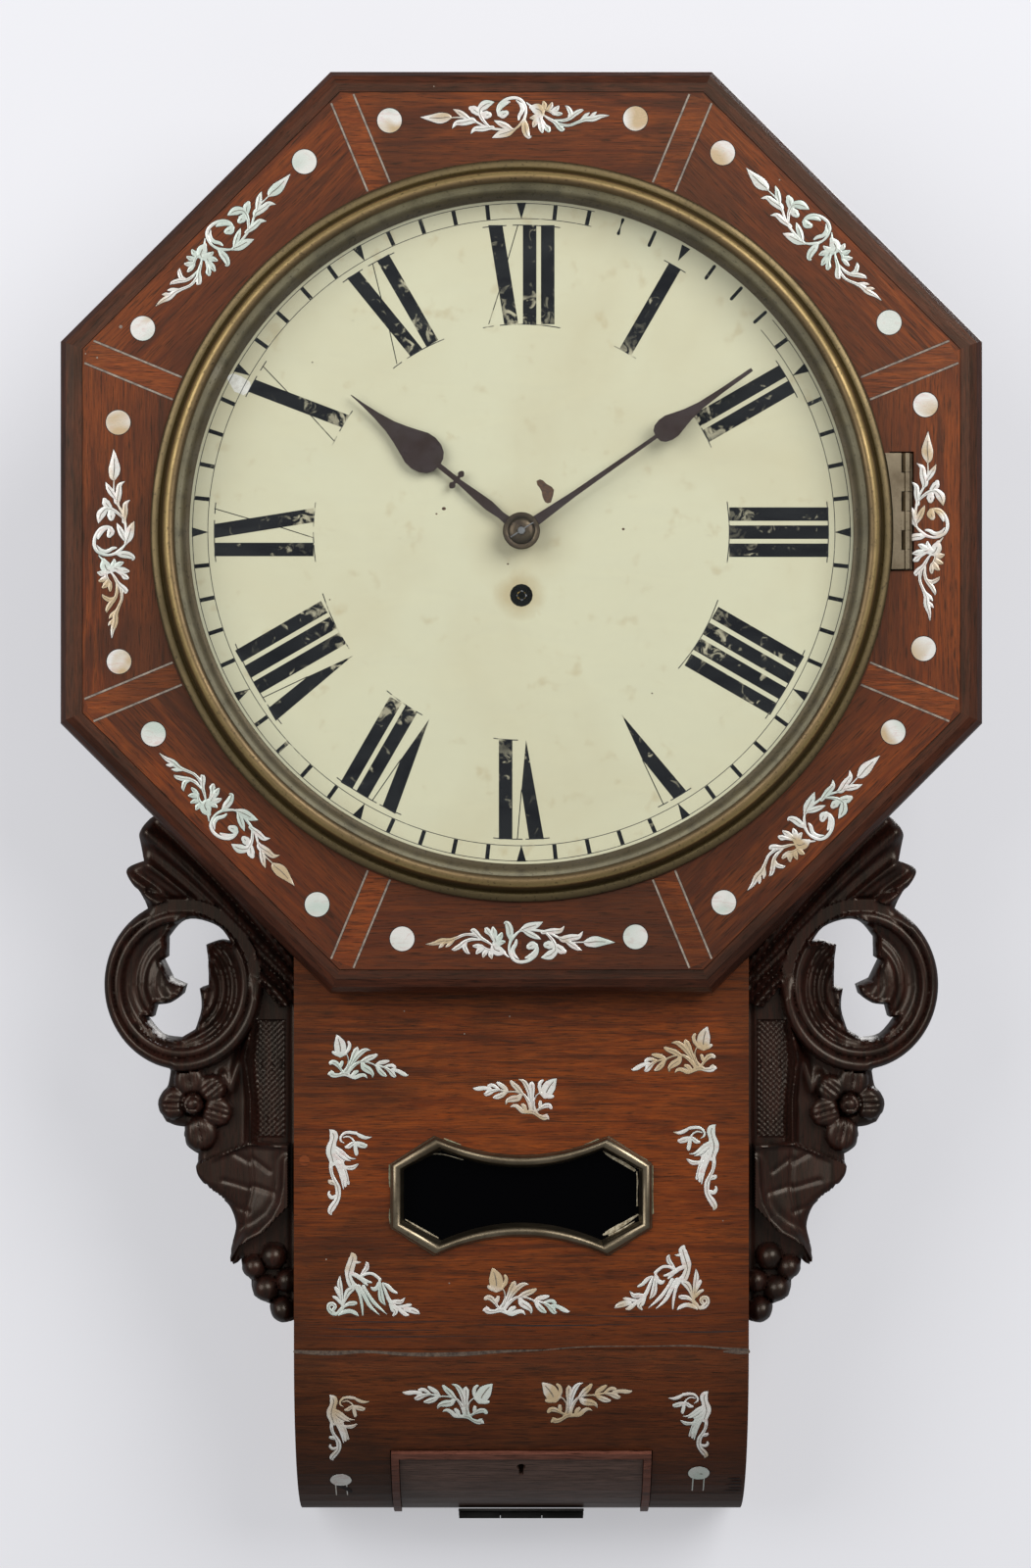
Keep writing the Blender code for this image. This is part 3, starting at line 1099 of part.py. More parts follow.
def make_pallets():
    """Make the anchor on its arbor and the crutch that guides the pendulum."""
    lift = ESCAPE_AXIS[1]
    nib = ESCAPE_RADIUS + PALLET_CLEAR

    def around(radius, degrees):
        angle = math.radians(degrees)
        return (radius * math.cos(angle), lift + radius * math.sin(angle))

    right = [(0.0, PALLET_AXIS[1] - 0.0030), around(nib + 0.0016, 62.0), around(nib + 0.0004, 50.0),
             around(nib, 47.0), around(nib, 39.0), around(nib + 0.0040, 39.0),
             around(nib + 0.0052, 56.0), (0.0042, PALLET_AXIS[1] + 0.0018)]
    left = [(-x, z) for x, z in reversed(right[1:])]
    outline = right + left
    shape = prism(outline, ESCAPE_LEVEL - WHEEL_THICK, ESCAPE_LEVEL + WHEEL_THICK,
                  [circle(ARBOR_RADIUS + GAP, 10, PALLET_AXIS)])
    axis_point = at(PALLET_AXIS, ESCAPE_LEVEL)
    add_object("pallets", shape, STEEL, axis_point)
    profile = [(PIVOT_RADIUS, COCK_BACK), (PIVOT_RADIUS, COCK_FRONT - GAP),
               (ARBOR_RADIUS, COCK_FRONT - GAP), (ARBOR_RADIUS, FRONT_PLATE_BACK + GAP),
               (PIVOT_RADIUS, FRONT_PLATE_BACK + GAP), (PIVOT_RADIUS, FRONT_PLATE_FRONT)]
    arbor = lathe(profile, 10, PALLET_AXIS)
    half = 0.0008
    level = CRUTCH_LEVEL
    collet = lathe([(0.0034, level - half), (0.0034, level + half)], 12, PALLET_AXIS)
    low = PALLET_AXIS[1] - CRUTCH_LENGTH
    arm = block((-0.0011, level - half, low), (0.0011, level + half, PALLET_AXIS[1]))
    crutch = combined(collet, arm, "UNION")
    prong = ROD_WIDTH / 2 + GAP
    fork = block((-prong - 0.0014, level - half, low), (prong + 0.0014, level + half, low + 0.004))
    crutch = combined(crutch, fork, "UNION")
    for side in (-1, 1):
        near, far = sorted((side * prong, side * (prong + 0.0014)))
        tooth = block((near, level, low), (far, PENDULUM_Y + 0.002, low + 0.004))
        crutch = combined(crutch, tooth, "UNION")
    add_object("pallet_arbor_and_crutch", combined(crutch, arbor, "UNION"), STEEL, axis_point)


SPRING_HALF_THICK = 0.00015
SPRING_ROOM = 0.0008
COCK_HALF_WIDTH = 0.015
COCK_TOP = PALLET_AXIS[1] + 0.0115
NIB_LOW = PALLET_AXIS[1] + 0.0045


def make_back_cock():
    """Make the cock on the back plate with its pivot hole and suspension slot."""
    low = PALLET_AXIS[1] - 0.0060
    cock = block((-COCK_HALF_WIDTH, COCK_FRONT, low), (COCK_HALF_WIDTH, COCK_BACK, COCK_TOP))
    for side in (-1, 1):
        near, far = sorted((side * (COCK_HALF_WIDTH - 0.0045), side * COCK_HALF_WIDTH))
        leg = block((near, BACK_PLATE_BACK + GAP, low), (far, COCK_BACK - 0.0010, COCK_TOP))
        cock = combined(cock, leg, "UNION")
    nib = block((-0.0045, COCK_BACK - 0.0010, NIB_LOW), (0.0045, PENDULUM_Y + 0.0050, COCK_TOP))
    cock = combined(cock, nib, "UNION")
    slot = block((-SPRING_HALF_THICK - SPRING_ROOM, COCK_BACK + GAP, NIB_LOW - 0.001),
                 (SPRING_HALF_THICK + SPRING_ROOM, PENDULUM_Y + 0.0060, COCK_TOP - 0.0015))
    cock = combined(cock, slot, "DIFFERENCE")
    hole = lathe([(PIVOT_HOLE, COCK_FRONT - 0.001), (PIVOT_HOLE, COCK_BACK + 0.0004)], 8, PALLET_AXIS)
    add_object("back_cock", combined(cock, hole, "DIFFERENCE"), BRIGHT_BRASS)


ROD_TOP = PALLET_AXIS[1] - 0.0050
NUT_TOP = BOB_Z - BOB_RADIUS - GAP
ROD_STRIP_END = NUT_TOP + 0.0045
ROD_END = NUT_TOP - NUT_HEIGHT - 0.008
SCREW_RADIUS = 0.0016


def make_pendulum():
    """Make the suspension spring, the rod, the lens-shaped bob and the rating nut."""
    axis_point = (0.0, PENDULUM_Y, PALLET_AXIS[1])
    spring = block((-SPRING_HALF_THICK, PENDULUM_Y - 0.0012, ROD_TOP + GAP),
                   (SPRING_HALF_THICK, PENDULUM_Y + 0.0042, COCK_TOP - 0.0022))
    add_object("suspension_spring", spring, STEEL, axis_point)
    half_width, half_thick = ROD_WIDTH / 2, ROD_THICK / 2
    rod = block((-half_width, PENDULUM_Y - half_thick, ROD_STRIP_END),
                (half_width, PENDULUM_Y + half_thick, ROD_TOP))
    screw = lathe([(SCREW_RADIUS * 0.7, ROD_END), (SCREW_RADIUS, ROD_END + 0.001),
                   (SCREW_RADIUS, ROD_STRIP_END + 0.003)], 10, (0.0, PENDULUM_Y), "Z")
    add_object("pendulum_rod", combined(rod, screw, "UNION"), STEEL, axis_point)
    half = BOB_THICK / 2
    profile = [(BOB_RADIUS * share, PENDULUM_Y - half * rise)
               for share, rise in ((0.35, 1.0), (0.80, 0.72), (1.0, 0.10), (1.0, -0.10),
                                   (0.80, -0.72), (0.35, -1.0))]
    bob = lathe(profile, 20, (0.0, BOB_Z))
    slide = block((-half_width - 0.0005, PENDULUM_Y - half_thick - 0.0005, BOB_Z - BOB_RADIUS - 0.01),
                  (half_width + 0.0005, PENDULUM_Y + half_thick + 0.0005, BOB_Z + BOB_RADIUS + 0.01))
    bob = combined(bob, slide, "DIFFERENCE")
    add_object("pendulum_bob", bob, LEAD, (0.0, PENDULUM_Y, BOB_Z))
    low = NUT_TOP - NUT_HEIGHT
    bore = SCREW_RADIUS + GAP
    profile = [(bore, low), (NUT_RADIUS * 0.9, low), (NUT_RADIUS, low + 0.001),
               (NUT_RADIUS, NUT_TOP - 0.001), (NUT_RADIUS * 0.9, NUT_TOP), (bore, NUT_TOP)]
    nut = lathe(profile, 12, (0.0, PENDULUM_Y), "Z", ring=True)
    add_object("rating_nut", nut, BRASS, (0.0, PENDULUM_Y, NUT_TOP - NUT_HEIGHT / 2))


FUSEE_BACK = GREAT_LEVEL - WHEEL_THICK / 2 - GAP
FUSEE_FRONT = FUSEE_BACK - FUSEE_LENGTH
FUSEE_COLUMNS = 10
BARREL_BACK = BACK_PLATE_FRONT - 0.003
BARREL_FRONT = BARREL_BACK - BARREL_LENGTH


def fusee_radius(share):
    """Return the radius of the fusee's concave cone from its large end, 0, to 1."""
    fall = (1.0 - share) ** 1.6
    return FUSEE_SMALL_RADIUS + (FUSEE_LARGE_RADIUS - FUSEE_SMALL_RADIUS) * fall


def make_fusee():
    """Make the fusee: a concave cone with a helical groove, on its winding arbor."""
    stations = []
    for radius, level in ((FUSEE_PIVOT_RADIUS, BACK_PLATE_BACK),
                          (FUSEE_PIVOT_RADIUS, BACK_PLATE_FRONT - GAP),
                          (FUSEE_ARBOR_RADIUS, BACK_PLATE_FRONT - GAP),
                          (FUSEE_ARBOR_RADIUS, FUSEE_BACK)):
        stations.append((level, [radius] * FUSEE_COLUMNS))
    rows = 3 * FUSEE_TURNS
    for row in range(rows + 1):
        share = row / rows
        radii = []
        for column in range(FUSEE_COLUMNS):
            phase = math.tau * (share * FUSEE_TURNS - column / FUSEE_COLUMNS)
            fade = min(1.0, 8 * share, 8 * (1 - share))
            radii.append(fusee_radius(share) - FUSEE_GROOVE * fade * (0.5 - 0.5 * math.cos(phase)))
        stations.append((FUSEE_BACK - share * FUSEE_LENGTH, radii))
    square = []
    for column in range(FUSEE_COLUMNS):
        angle = math.tau * column / FUSEE_COLUMNS
        square.append(WINDING_SQUARE / 2 / max(abs(math.cos(angle)), abs(math.sin(angle))))
    neck = FRONT_PLATE_FRONT - 0.0015
    for radii, level in (([FUSEE_ARBOR_RADIUS] * FUSEE_COLUMNS, FUSEE_FRONT),
                         ([FUSEE_ARBOR_RADIUS] * FUSEE_COLUMNS, neck),
                         (square, neck - 0.0005), (square, DIAL_BACK - 0.0004)):
        stations.append((level, radii))
    work = bmesh.new()
    loops = []
    for level, radii in stations:
        loop = []
        for column, radius in enumerate(radii):
            angle = math.tau * column / FUSEE_COLUMNS
            loop.append(work.verts.new((FUSEE_AXIS[0] + radius * math.cos(angle), level,
                                        FUSEE_AXIS[1] + radius * math.sin(angle))))
        loops.append(loop)
    for lower, upper in zip(loops, loops[1:]):
        for k in range(FUSEE_COLUMNS):
            work.faces.new((lower[k - 1], lower[k], upper[k], upper[k - 1]))
    work.faces.new(loops[0])
    work.faces.new(loops[-1])
    add_object("fusee", smoothed(mesh_from(work)), BRIGHT_BRASS, at(FUSEE_AXIS, FUSEE_BACK))


def make_barrel():
    """Make the spring barrel, its fixed arbor, the mainspring, ratchet and click."""
    arbor = BARREL_ARBOR_RADIUS
    bore = arbor + RUNNING_GAP
    inner = BARREL_RADIUS - BARREL_WALL
    profile = [(bore, BARREL_BACK), (BARREL_RADIUS, BARREL_BACK), (BARREL_RADIUS, BARREL_FRONT),
               (bore, BARREL_FRONT), (bore, BARREL_FRONT + BARREL_WALL),
               (inner, BARREL_FRONT + BARREL_WALL), (inner, BARREL_BACK - BARREL_WALL),
               (bore, BARREL_BACK - BARREL_WALL)]
    axis_point = at(BARREL_AXIS, BARREL_BACK)
    add_object("barrel", lathe(profile, 20, BARREL_AXIS, ring=True), BRIGHT_BRASS, axis_point)
    rod = lathe([(arbor, BACK_PLATE_BACK + 0.001), (arbor, FRONT_PLATE_FRONT - 0.0045)], 10,
                BARREL_AXIS)
    add_object("barrel_arbor", rod, STEEL)
    turns, steps = 3, 12
    strip = 0.0007
    first = arbor + 0.0016
    last = inner - strip - 2 * RUNNING_GAP
    outer_edge, inner_edge = [], []
    for k in range(turns * steps + 1):
        radius = first + (last - first) * k / (turns * steps)
        angle = math.tau * k / steps
        inner_edge.append((radius * math.cos(angle), radius * math.sin(angle)))
        outer_edge.append(((radius + strip) * math.cos(angle), (radius + strip) * math.sin(angle)))
    outline = moved(outer_edge + inner_edge[::-1], BARREL_AXIS)
    spring = prism(outline, BARREL_FRONT + BARREL_WALL + GAP, BARREL_BACK - BARREL_WALL - GAP)
    add_object("mainspring", spring, STEEL, axis_point)
    teeth, radius = 16, 0.0085
    saw = []
    for k in range(teeth):
        angle = math.tau * k / teeth
        saw.append((radius * math.cos(angle), radius * math.sin(angle)))
        saw.append((0.84 * radius * math.cos(angle + 0.03), 0.84 * radius * math.sin(angle + 0.03)))
    front = FRONT_PLATE_FRONT - GAP
    ratchet = prism(moved(saw, BARREL_AXIS), front - 0.0020, front, [circle(arbor + GAP, 10, BARREL_AXIS)])
    add_object("setup_ratchet", ratchet, STEEL)
    pivot = (BARREL_AXIS[0] + 0.0135, BARREL_AXIS[1] + 0.0075)
    click = [(pivot[0] + 0.0022, pivot[1] - 0.0016), (pivot[0] + 0.0020, pivot[1] + 0.0022),
             (pivot[0] - 0.0022, pivot[1] + 0.0020), (BARREL_AXIS[0] + 0.0070, BARREL_AXIS[1] + 0.0062),
             (BARREL_AXIS[0] + 0.0076, BARREL_AXIS[1] + 0.0050)]
    add_object("setup_click", prism(click, front - 0.0018, front), STEEL)


def make_fusee_line():
    """Make the gut line, wound on the barrel, run across and wound on the fusee."""
    steps = 14
    stretch = math.cos(math.pi / steps)
    share = 0.40
    level = FUSEE_BACK - share * FUSEE_LENGTH
    on_barrel = (BARREL_RADIUS + LINE_RADIUS + GAP) / stretch
    on_fusee = (fusee_radius(share - 0.06) + LINE_RADIUS + GAP) / stretch
    gap_between = math.dist(BARREL_AXIS, FUSEE_AXIS)
    heading = direction(BARREL_AXIS, FUSEE_AXIS)
    leave = heading + math.acos((on_barrel - on_fusee) / gap_between)
    points = []
    pitch = 3 * LINE_RADIUS
    for k in range(2 * steps + 1):
        turn = leave + math.tau * (1 - k / (2 * steps)) * 2
        points.append((BARREL_AXIS[0] + on_barrel * math.cos(turn), level - pitch * (2 - k / steps),
                       BARREL_AXIS[1] + on_barrel * math.sin(turn)))
    for k in range(steps + 1):
        turn = leave - math.tau * k / steps
        fall = FUSEE_LENGTH / FUSEE_TURNS * k / steps
        away = (fusee_radius(share - 0.06 - fall / FUSEE_LENGTH) + LINE_RADIUS + GAP) / stretch
        points.append((FUSEE_AXIS[0] + away * math.cos(turn), level + fall,
                       FUSEE_AXIS[1] + away * math.sin(turn)))
    add_object("fusee_line", swept(points, LINE_RADIUS, 4), GUT)


FOOT_HINGE_HALF = 0.030
FOOT_HINGE_RADIAL = FOOT_RADIUS + HINGE_BARREL_RADIUS + GAP
FOOT_HINGE_ANGLE = DOOR_END + math.degrees(SWING_GAP / 2 / FOOT_RADIUS)
LOCK_HALF_WIDTH = 0.017
LOCK_THICK = 0.0068
LOCK_SEAT = 0.0016      # the flat lock sits this far in from the door's curved back
LOCK_ANGLE = 44.0
BOLT_HALF_WIDTH = 0.0045
BOLT_THICK = 0.0026


def tangent_place(degrees, radial, along):
    """Return the (y, z) place at a radius and a distance along the tangent there.

    The tangent points up and forward, from the back of the foot to its top edge.
    """
    y, z = foot_point(radial, degrees)
    angle = math.radians(degrees)
    return (y - along * math.sin(angle), z + along * math.cos(angle))


def tangent_slab(degrees, radials, run):
    """Return a flat slab's outline between two radii, run from one place to another."""
    return [tangent_place(degrees, radials[0], run[0]), tangent_place(degrees, radials[0], run[1]),
            tangent_place(degrees, radials[1], run[1]), tangent_place(degrees, radials[1], run[0])]


def make_foot_door():
    """Make the curved door under the foot with its bead, lock, bolt and hinge."""
    y, z = foot_point(FOOT_HINGE_RADIAL, FOOT_HINGE_ANGLE)
    axis_point = (0.0, y, z)
    inner = FOOT_RADIUS - FOOT_THICK
    bead_angle = math.degrees(DOOR_BEAD_WIDTH / FOOT_RADIUS)
    gap_angle = math.degrees(GAP / FOOT_RADIUS)
    half = DOOR_WIDTH / 2
    start = DOOR_START + bead_angle + gap_angle
    door = foot_wedge(inner, FOOT_RADIUS, start, DOOR_END, half)
    hole = lathe([(KEYHOLE_RADIUS, -FOOT_THICK), (KEYHOLE_RADIUS, FOOT_THICK)], 10)
    slot = block((-0.0011, -FOOT_THICK, -0.0062), (0.0011, FOOT_THICK, 0.0))
    keyhole = combined(hole, slot, "UNION")
    keyhole.transform(Matrix.Rotation(math.radians(KEYHOLE_ANGLE), 4, "X"))
    y, z = foot_point(FOOT_RADIUS - FOOT_THICK / 2, KEYHOLE_ANGLE)
    keyhole.transform(Matrix.Translation((0.0, y, z)))
    door = combined(door, keyhole, "DIFFERENCE")
    add_object("foot_door", door, ROSEWOOD, axis_point)
    bead = foot_wedge(inner, FOOT_RADIUS + DOOR_BEAD_PROUD, DOOR_START, DOOR_END,
                      half + GAP + DOOR_BEAD_WIDTH)
    space = foot_wedge(inner - FOOT_THICK, FOOT_RADIUS + FOOT_THICK, start - gap_angle,
                       DOOR_END + 10.0, half + GAP)
    add_object("foot_door_bead", combined(bead, space, "DIFFERENCE"), ROSEWOOD, axis_point)
    radials = (inner - LOCK_SEAT - LOCK_THICK, inner - LOCK_SEAT)
    case = prism(tangent_slab(LOCK_ANGLE, radials, (-0.013, 0.0085)), -LOCK_HALF_WIDTH,
                 LOCK_HALF_WIDTH, plane="YZ")
    bolt_radials = (radials[0] + 0.0020, radials[0] + 0.0020 + BOLT_THICK)
    clear = 0.0004
    slot = prism(tangent_slab(LOCK_ANGLE, (bolt_radials[0] - clear, bolt_radials[1] + clear),
                              (-0.0060, 0.0120)), -BOLT_HALF_WIDTH - clear,
                 BOLT_HALF_WIDTH + clear, plane="YZ")
    add_object("foot_door_lock", combined(case, slot, "DIFFERENCE"), BRASS, axis_point)
    bolt = prism(tangent_slab(LOCK_ANGLE, bolt_radials, (-0.0055, 0.0083)), -BOLT_HALF_WIDTH,
                 BOLT_HALF_WIDTH, plane="YZ")
    y, z = tangent_place(LOCK_ANGLE, sum(bolt_radials) / 2, 0.0)
    add_object("foot_door_bolt", bolt, STEEL, (0.0, y, z))
    pin_place = axis_point[1:]
    surface = FOOT_RADIUS + GAP
    reach = 0.0090
    seat = HINGE_BARREL_RADIUS + GAP
    trim = HINGE_LEAF_THICK + 0.0002
    for name, first, sign, joint in (("foot_hinge_case_leaf", 0, -1, None),
                                     ("foot_hinge_door_leaf", 1, 1, axis_point)):
        run = sorted((sign * seat, sign * (seat + reach)))
        leaf = prism(tangent_slab(FOOT_HINGE_ANGLE, (surface + 0.0002, surface + trim), run),
                     -FOOT_HINGE_HALF, FOOT_HINGE_HALF, plane="YZ")
        run = sorted((0.0, sign * (seat + 0.001)))
        web = tangent_slab(FOOT_HINGE_ANGLE, (surface + 0.0003, surface + trim - 0.0001), run)
        half_hinge = hinge_half("YZ", pin_place, -FOOT_HINGE_HALF, FOOT_HINGE_HALF, 3, first,
                                leaf, web, joint is None)
        add_object(name, half_hinge, BRASS, joint or (0.0, 0.0, 0.0))


SIDE_HINGE_HALF = 0.022
SIDE_HINGE_Z = (SIDE_DOOR_LOW + SIDE_DOOR_HIGH) / 2
BUTTON_HALF = 0.0045
BUTTON_LENGTH = 0.024
BUTTON_THICK = 0.0035


def make_side_door():
    """Make the inspection door in the right side, its hinge and its turn button."""
    face = HALF_CASE
    axis_x = face + HINGE_BARREL_RADIUS + GAP
    axis_y = SIDE_DOOR_BACK + SWING_GAP / 2
    axis_point = (axis_x, axis_y, SIDE_HINGE_Z)
    door = block((face - SIDE_THICK, SIDE_DOOR_FRONT, SIDE_DOOR_LOW),
                 (face, SIDE_DOOR_BACK, SIDE_DOOR_HIGH))
    add_object("side_door", door, ROSEWOOD, axis_point)
    low, high = SIDE_HINGE_Z - SIDE_HINGE_HALF, SIDE_HINGE_Z + SIDE_HINGE_HALF
    seat = HINGE_BARREL_RADIUS + GAP
    leaf_low = face + GAP
    leaf_high = leaf_low + HINGE_LEAF_THICK
    for name, first, sign, joint in (("side_hinge_case_leaf", 0, 1, None),
                                     ("side_hinge_door_leaf", 1, -1, axis_point)):
        near, far = sorted((axis_y + sign * seat, axis_y + sign * (seat + 0.008)))
        leaf = block((leaf_low, near, low), (leaf_high, far, high))
        near, far = sorted((axis_y, axis_y + sign * (seat + 0.001)))
        web = rectangle(leaf_low, near, leaf_high, far)
        half_hinge = hinge_half("XY", (axis_x, axis_y), low, high, 3, first, leaf, web,
                                joint is None)
        add_object(name, half_hinge, BRASS, joint or (0.0, 0.0, 0.0))
    pivot_y = (SIDE_DOOR_FRONT + SIDE_DOOR_BACK) / 2
    pivot_z = SIDE_DOOR_HIGH + SWING_GAP + BUTTON_HALF + 0.002
    half = BUTTON_LENGTH / 2
    outline = []
    for side in (-1, 1):
        for k in range(7):
            angle = math.pi / 2 * side + math.pi * (k / 6 - 0.5) + math.pi / 2 * (side - 1)
            outline.append((pivot_y + side * (half - BUTTON_HALF)
                            + BUTTON_HALF * math.cos(angle - math.pi / 2 * side),
                            pivot_z + BUTTON_HALF * math.sin(angle - math.pi / 2 * side)))
    button = prism(outline, face + GAP + 0.0004, face + GAP + 0.0004 + BUTTON_THICK, plane="YZ")
    add_object("side_door_button", button, BRASS, (face, pivot_y, pivot_z))


def make_model():
    """Make every piece of the clock."""
    make_case()
    make_window()
    make_surround()
    make_battens()
    make_hanging_plate()
    make_brackets()
    make_bezel()
    make_dial()
    make_hands()
    make_plates()
    make_going_train()
    make_motion_work()
    make_pallets()
    make_back_cock()
    make_pendulum()
    make_fusee()
    make_barrel()
    make_fusee_line()
    make_foot_door()
    make_side_door()


make_model()
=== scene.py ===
"""Dress the drop dial wall clock: finishes, inlay, painted dial, carving, light and camera."""

import logging
import math
from dataclasses import dataclass
from enum import Enum
from typing import Sequence

import bmesh
import bpy
import numpy as np
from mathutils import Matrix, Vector
from mathutils.geometry import delaunay_2d_cdt

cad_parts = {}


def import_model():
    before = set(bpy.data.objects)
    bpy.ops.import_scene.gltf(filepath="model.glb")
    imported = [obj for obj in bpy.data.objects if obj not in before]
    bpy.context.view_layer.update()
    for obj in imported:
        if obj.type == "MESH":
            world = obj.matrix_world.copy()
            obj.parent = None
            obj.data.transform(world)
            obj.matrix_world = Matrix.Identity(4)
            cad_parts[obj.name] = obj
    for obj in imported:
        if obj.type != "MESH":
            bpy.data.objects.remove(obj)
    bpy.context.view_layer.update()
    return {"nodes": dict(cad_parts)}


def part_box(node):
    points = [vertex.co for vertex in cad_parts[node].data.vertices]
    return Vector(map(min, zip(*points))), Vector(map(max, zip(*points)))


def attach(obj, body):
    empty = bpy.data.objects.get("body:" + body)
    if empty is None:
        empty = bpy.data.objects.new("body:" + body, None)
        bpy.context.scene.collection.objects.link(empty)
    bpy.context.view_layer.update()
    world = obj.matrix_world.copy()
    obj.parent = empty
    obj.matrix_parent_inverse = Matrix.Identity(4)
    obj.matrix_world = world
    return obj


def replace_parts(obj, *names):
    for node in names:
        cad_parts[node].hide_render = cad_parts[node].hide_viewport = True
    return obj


LOG = logging.getLogger("clock")
MM = 0.001

Point = tuple[float, float]
Outline = list[Point]
Spot = tuple[float, float, float]
Strokes = tuple[tuple[Spot, ...], ...]
Colour = tuple[float, float, float]
Nodes = dict[str, bpy.types.Object]
Mesh = bmesh.types.BMesh
Socket = bpy.types.NodeSocket
Material = bpy.types.Material
Grid = np.ndarray


class Grain(Enum):
    """The way the grain of a wood surface runs."""

    ALONG_X = "along_x"
    ALONG_Z = "along_z"
    ROUND_OCTAGON = "round_octagon"


class Sum(Enum):
    """The sums that a material works out."""

    ADD = "ADD"
    SUBTRACT = "SUBTRACT"
    MULTIPLY = "MULTIPLY"
    DIVIDE = "DIVIDE"
    ROUND = "ROUND"
    ABSOLUTE = "ABSOLUTE"
    BEARING = "ARCTAN2"


class Body(Enum):
    """The CAD bodies that new pieces ride on."""

    CASE = "case"
    BEZEL = "bezel"
    CENTRE = "centre"
    WINDING_FUSEE = "winding_fusee"


class Slot(Enum):
    """The record's material slots that new pieces belong to."""

    ROSEWOOD = "rosewood"
    DARK_WOOD = "dark_wood"
    AGED_BRASS = "aged_brass"
    BLUED_STEEL = "blued_steel"
    POLISHED_STEEL = "polished_steel"
    DIAL_PAINT = "dial_paint"
    GLASS = "glass"


class Graph:
    """A material's node tree, with short calls for the nodes that the finishes share."""

    def __init__(self, name: str) -> None:
        """Start an empty tree.

        Args:
            name: the material's name.
        """
        self.material = bpy.data.materials.new(name)
        self.material.use_nodes = True
        self.tree = self.material.node_tree
        self.tree.nodes.clear()

    def node(self, kind: str, settings: dict | None = None, **sockets: object) -> bpy.types.Node:
        """Add a node.

        Args:
            kind: the node's type, without its ShaderNode prefix.
            settings: the node's own properties.
            **sockets: values or output sockets, by input name with _ for a space.

        Returns:
            The new node.
        """
        made = self.tree.nodes.new("ShaderNode" + kind)
        for key, value in (settings or {}).items():
            setattr(made, key, value)
        for key, value in sockets.items():
            self.feed(made.inputs[key.replace("_", " ")], value)
        return made

    def feed(self, socket: Socket, value: object) -> None:
        """Link an output into a socket, or set its value.

        Args:
            socket: the input to fill.
            value: an output socket, a number or a tuple.
        """
        if isinstance(value, Socket):
            self.tree.links.new(value, socket)
        elif isinstance(value, tuple) and len(value) == 3 and socket.type == "RGBA":
            socket.default_value = (*value, 1.0)
        else:
            socket.default_value = value

    def place(self, scale: Spot = (1.0, 1.0, 1.0), shift: Spot = (0.0, 0.0, 0.0)) -> Socket:
        """Return the place on the clock, which the object coordinates hold in metres.

        Args:
            scale: how much each axis is stretched.
            shift: what is added after that.

        Returns:
            The vector output.
        """
        where = self.node("TexCoord").outputs["Object"]
        return self.node("Mapping", Vector=where, Scale=scale, Location=shift).outputs["Vector"]

    def radius(self, height: float = 0.0) -> Socket:
        """Return the distance from an axis that runs straight back through the dial.

        Args:
            height: how high that axis lies, in metres over the dial's centre.

        Returns:
            The value output.
        """
        made = self.node("VectorMath", {"operation": "LENGTH"})
        self.feed(made.inputs[0], self.place((1.0, 0.0, 1.0), (0.0, 0.0, -height)))
        return made.outputs["Value"]

    def noise(self, vector: object, scale: float, detail: float = 4.0, rough: float = 0.55,
              warp: float = 0.0) -> Socket:
        """Return a noise value.

        Args:
            vector: where the noise is read.
            scale: its size.
            detail: how many octaves it has.
            rough: how strong the small octaves are.
            warp: how far it is distorted.

        Returns:
            The value output, from 0 to 1.
        """
        made = self.node("TexNoise", Vector=vector, Scale=scale, Detail=detail, Roughness=rough,
                         Distortion=warp)
        return made.outputs[0]

    def ramp(self, value: object, *stops: tuple[float, Colour]) -> Socket:
        """Return a colour read off a ramp.

        Args:
            value: the position on the ramp.
            *stops: places and their colours.

        Returns:
            The colour output.
        """
        made = self.node("ValToRGB", Fac=value)
        marks = made.color_ramp.elements
        while len(marks) < len(stops):
            marks.new(0.5)
        for mark, (place, colour) in zip(marks, stops):
            mark.position = place
            mark.color = (*colour, 1.0)
        return made.outputs["Color"]

    def level(self, value: object, low: float, high: float, start: float = 0.0,
              end: float = 1.0) -> Socket:
        """Return a value stretched from one range to another and held inside it.

        Args:
            value: what is stretched.
            low: the value that becomes start.
            high: the value that becomes end.
            start: the first result.
            end: the last result.

        Returns:
            The value output.
        """
        made = self.node("MapRange", Value=value)
        for key, number in {"From Min": low, "From Max": high, "To Min": start,
                            "To Max": end}.items():
            made.inputs[key].default_value = number
        return made.outputs[0]

    def blend(self, share: object, first: object, second: object) -> Socket:
        """Return a mix of two colours.

        Args:
            share: how much of the second colour there is.
            first: the colour at 0.
            second: the colour at 1.

        Returns:
            The colour output.
        """
        made = self.node("Mix", {"data_type": "RGBA"})
        self.feed(made.inputs["Factor"], share)
        for socket, value in zip([s for s in made.inputs if s.type == "RGBA"], (first, second)):
            self.feed(socket, value)
        return [s for s in made.outputs if s.type == "RGBA"][0]

    def cover(self, below: object, above: object, value: object, low: float, high: float,
              share: float = 1.0) -> Socket:
        """Return a colour that is covered by another where a value says so.

        Args:
            below: the colour that is covered.
            above: the colour that covers it.
            value: what decides where it does.
            low: the value at which it starts.
            high: the value at which it covers most.
            share: how much it covers there.

        Returns:
            The colour output.
        """
        return self.blend(self.level(value, low, high, 0.0, share), below, above)

    def sum(self, kind: Sum, first: object, second: object = 0.0) -> Socket:
        """Return a sum of one or two values.

        Args:
            kind: which sum it is.
            first: its first value.
            second: its second value.

        Returns:
            The value output.
        """
        made = self.node("Math", {"operation": kind.value})
        self.feed(made.inputs[0], first)
        self.feed(made.inputs[1], second)
        return made.outputs[0]

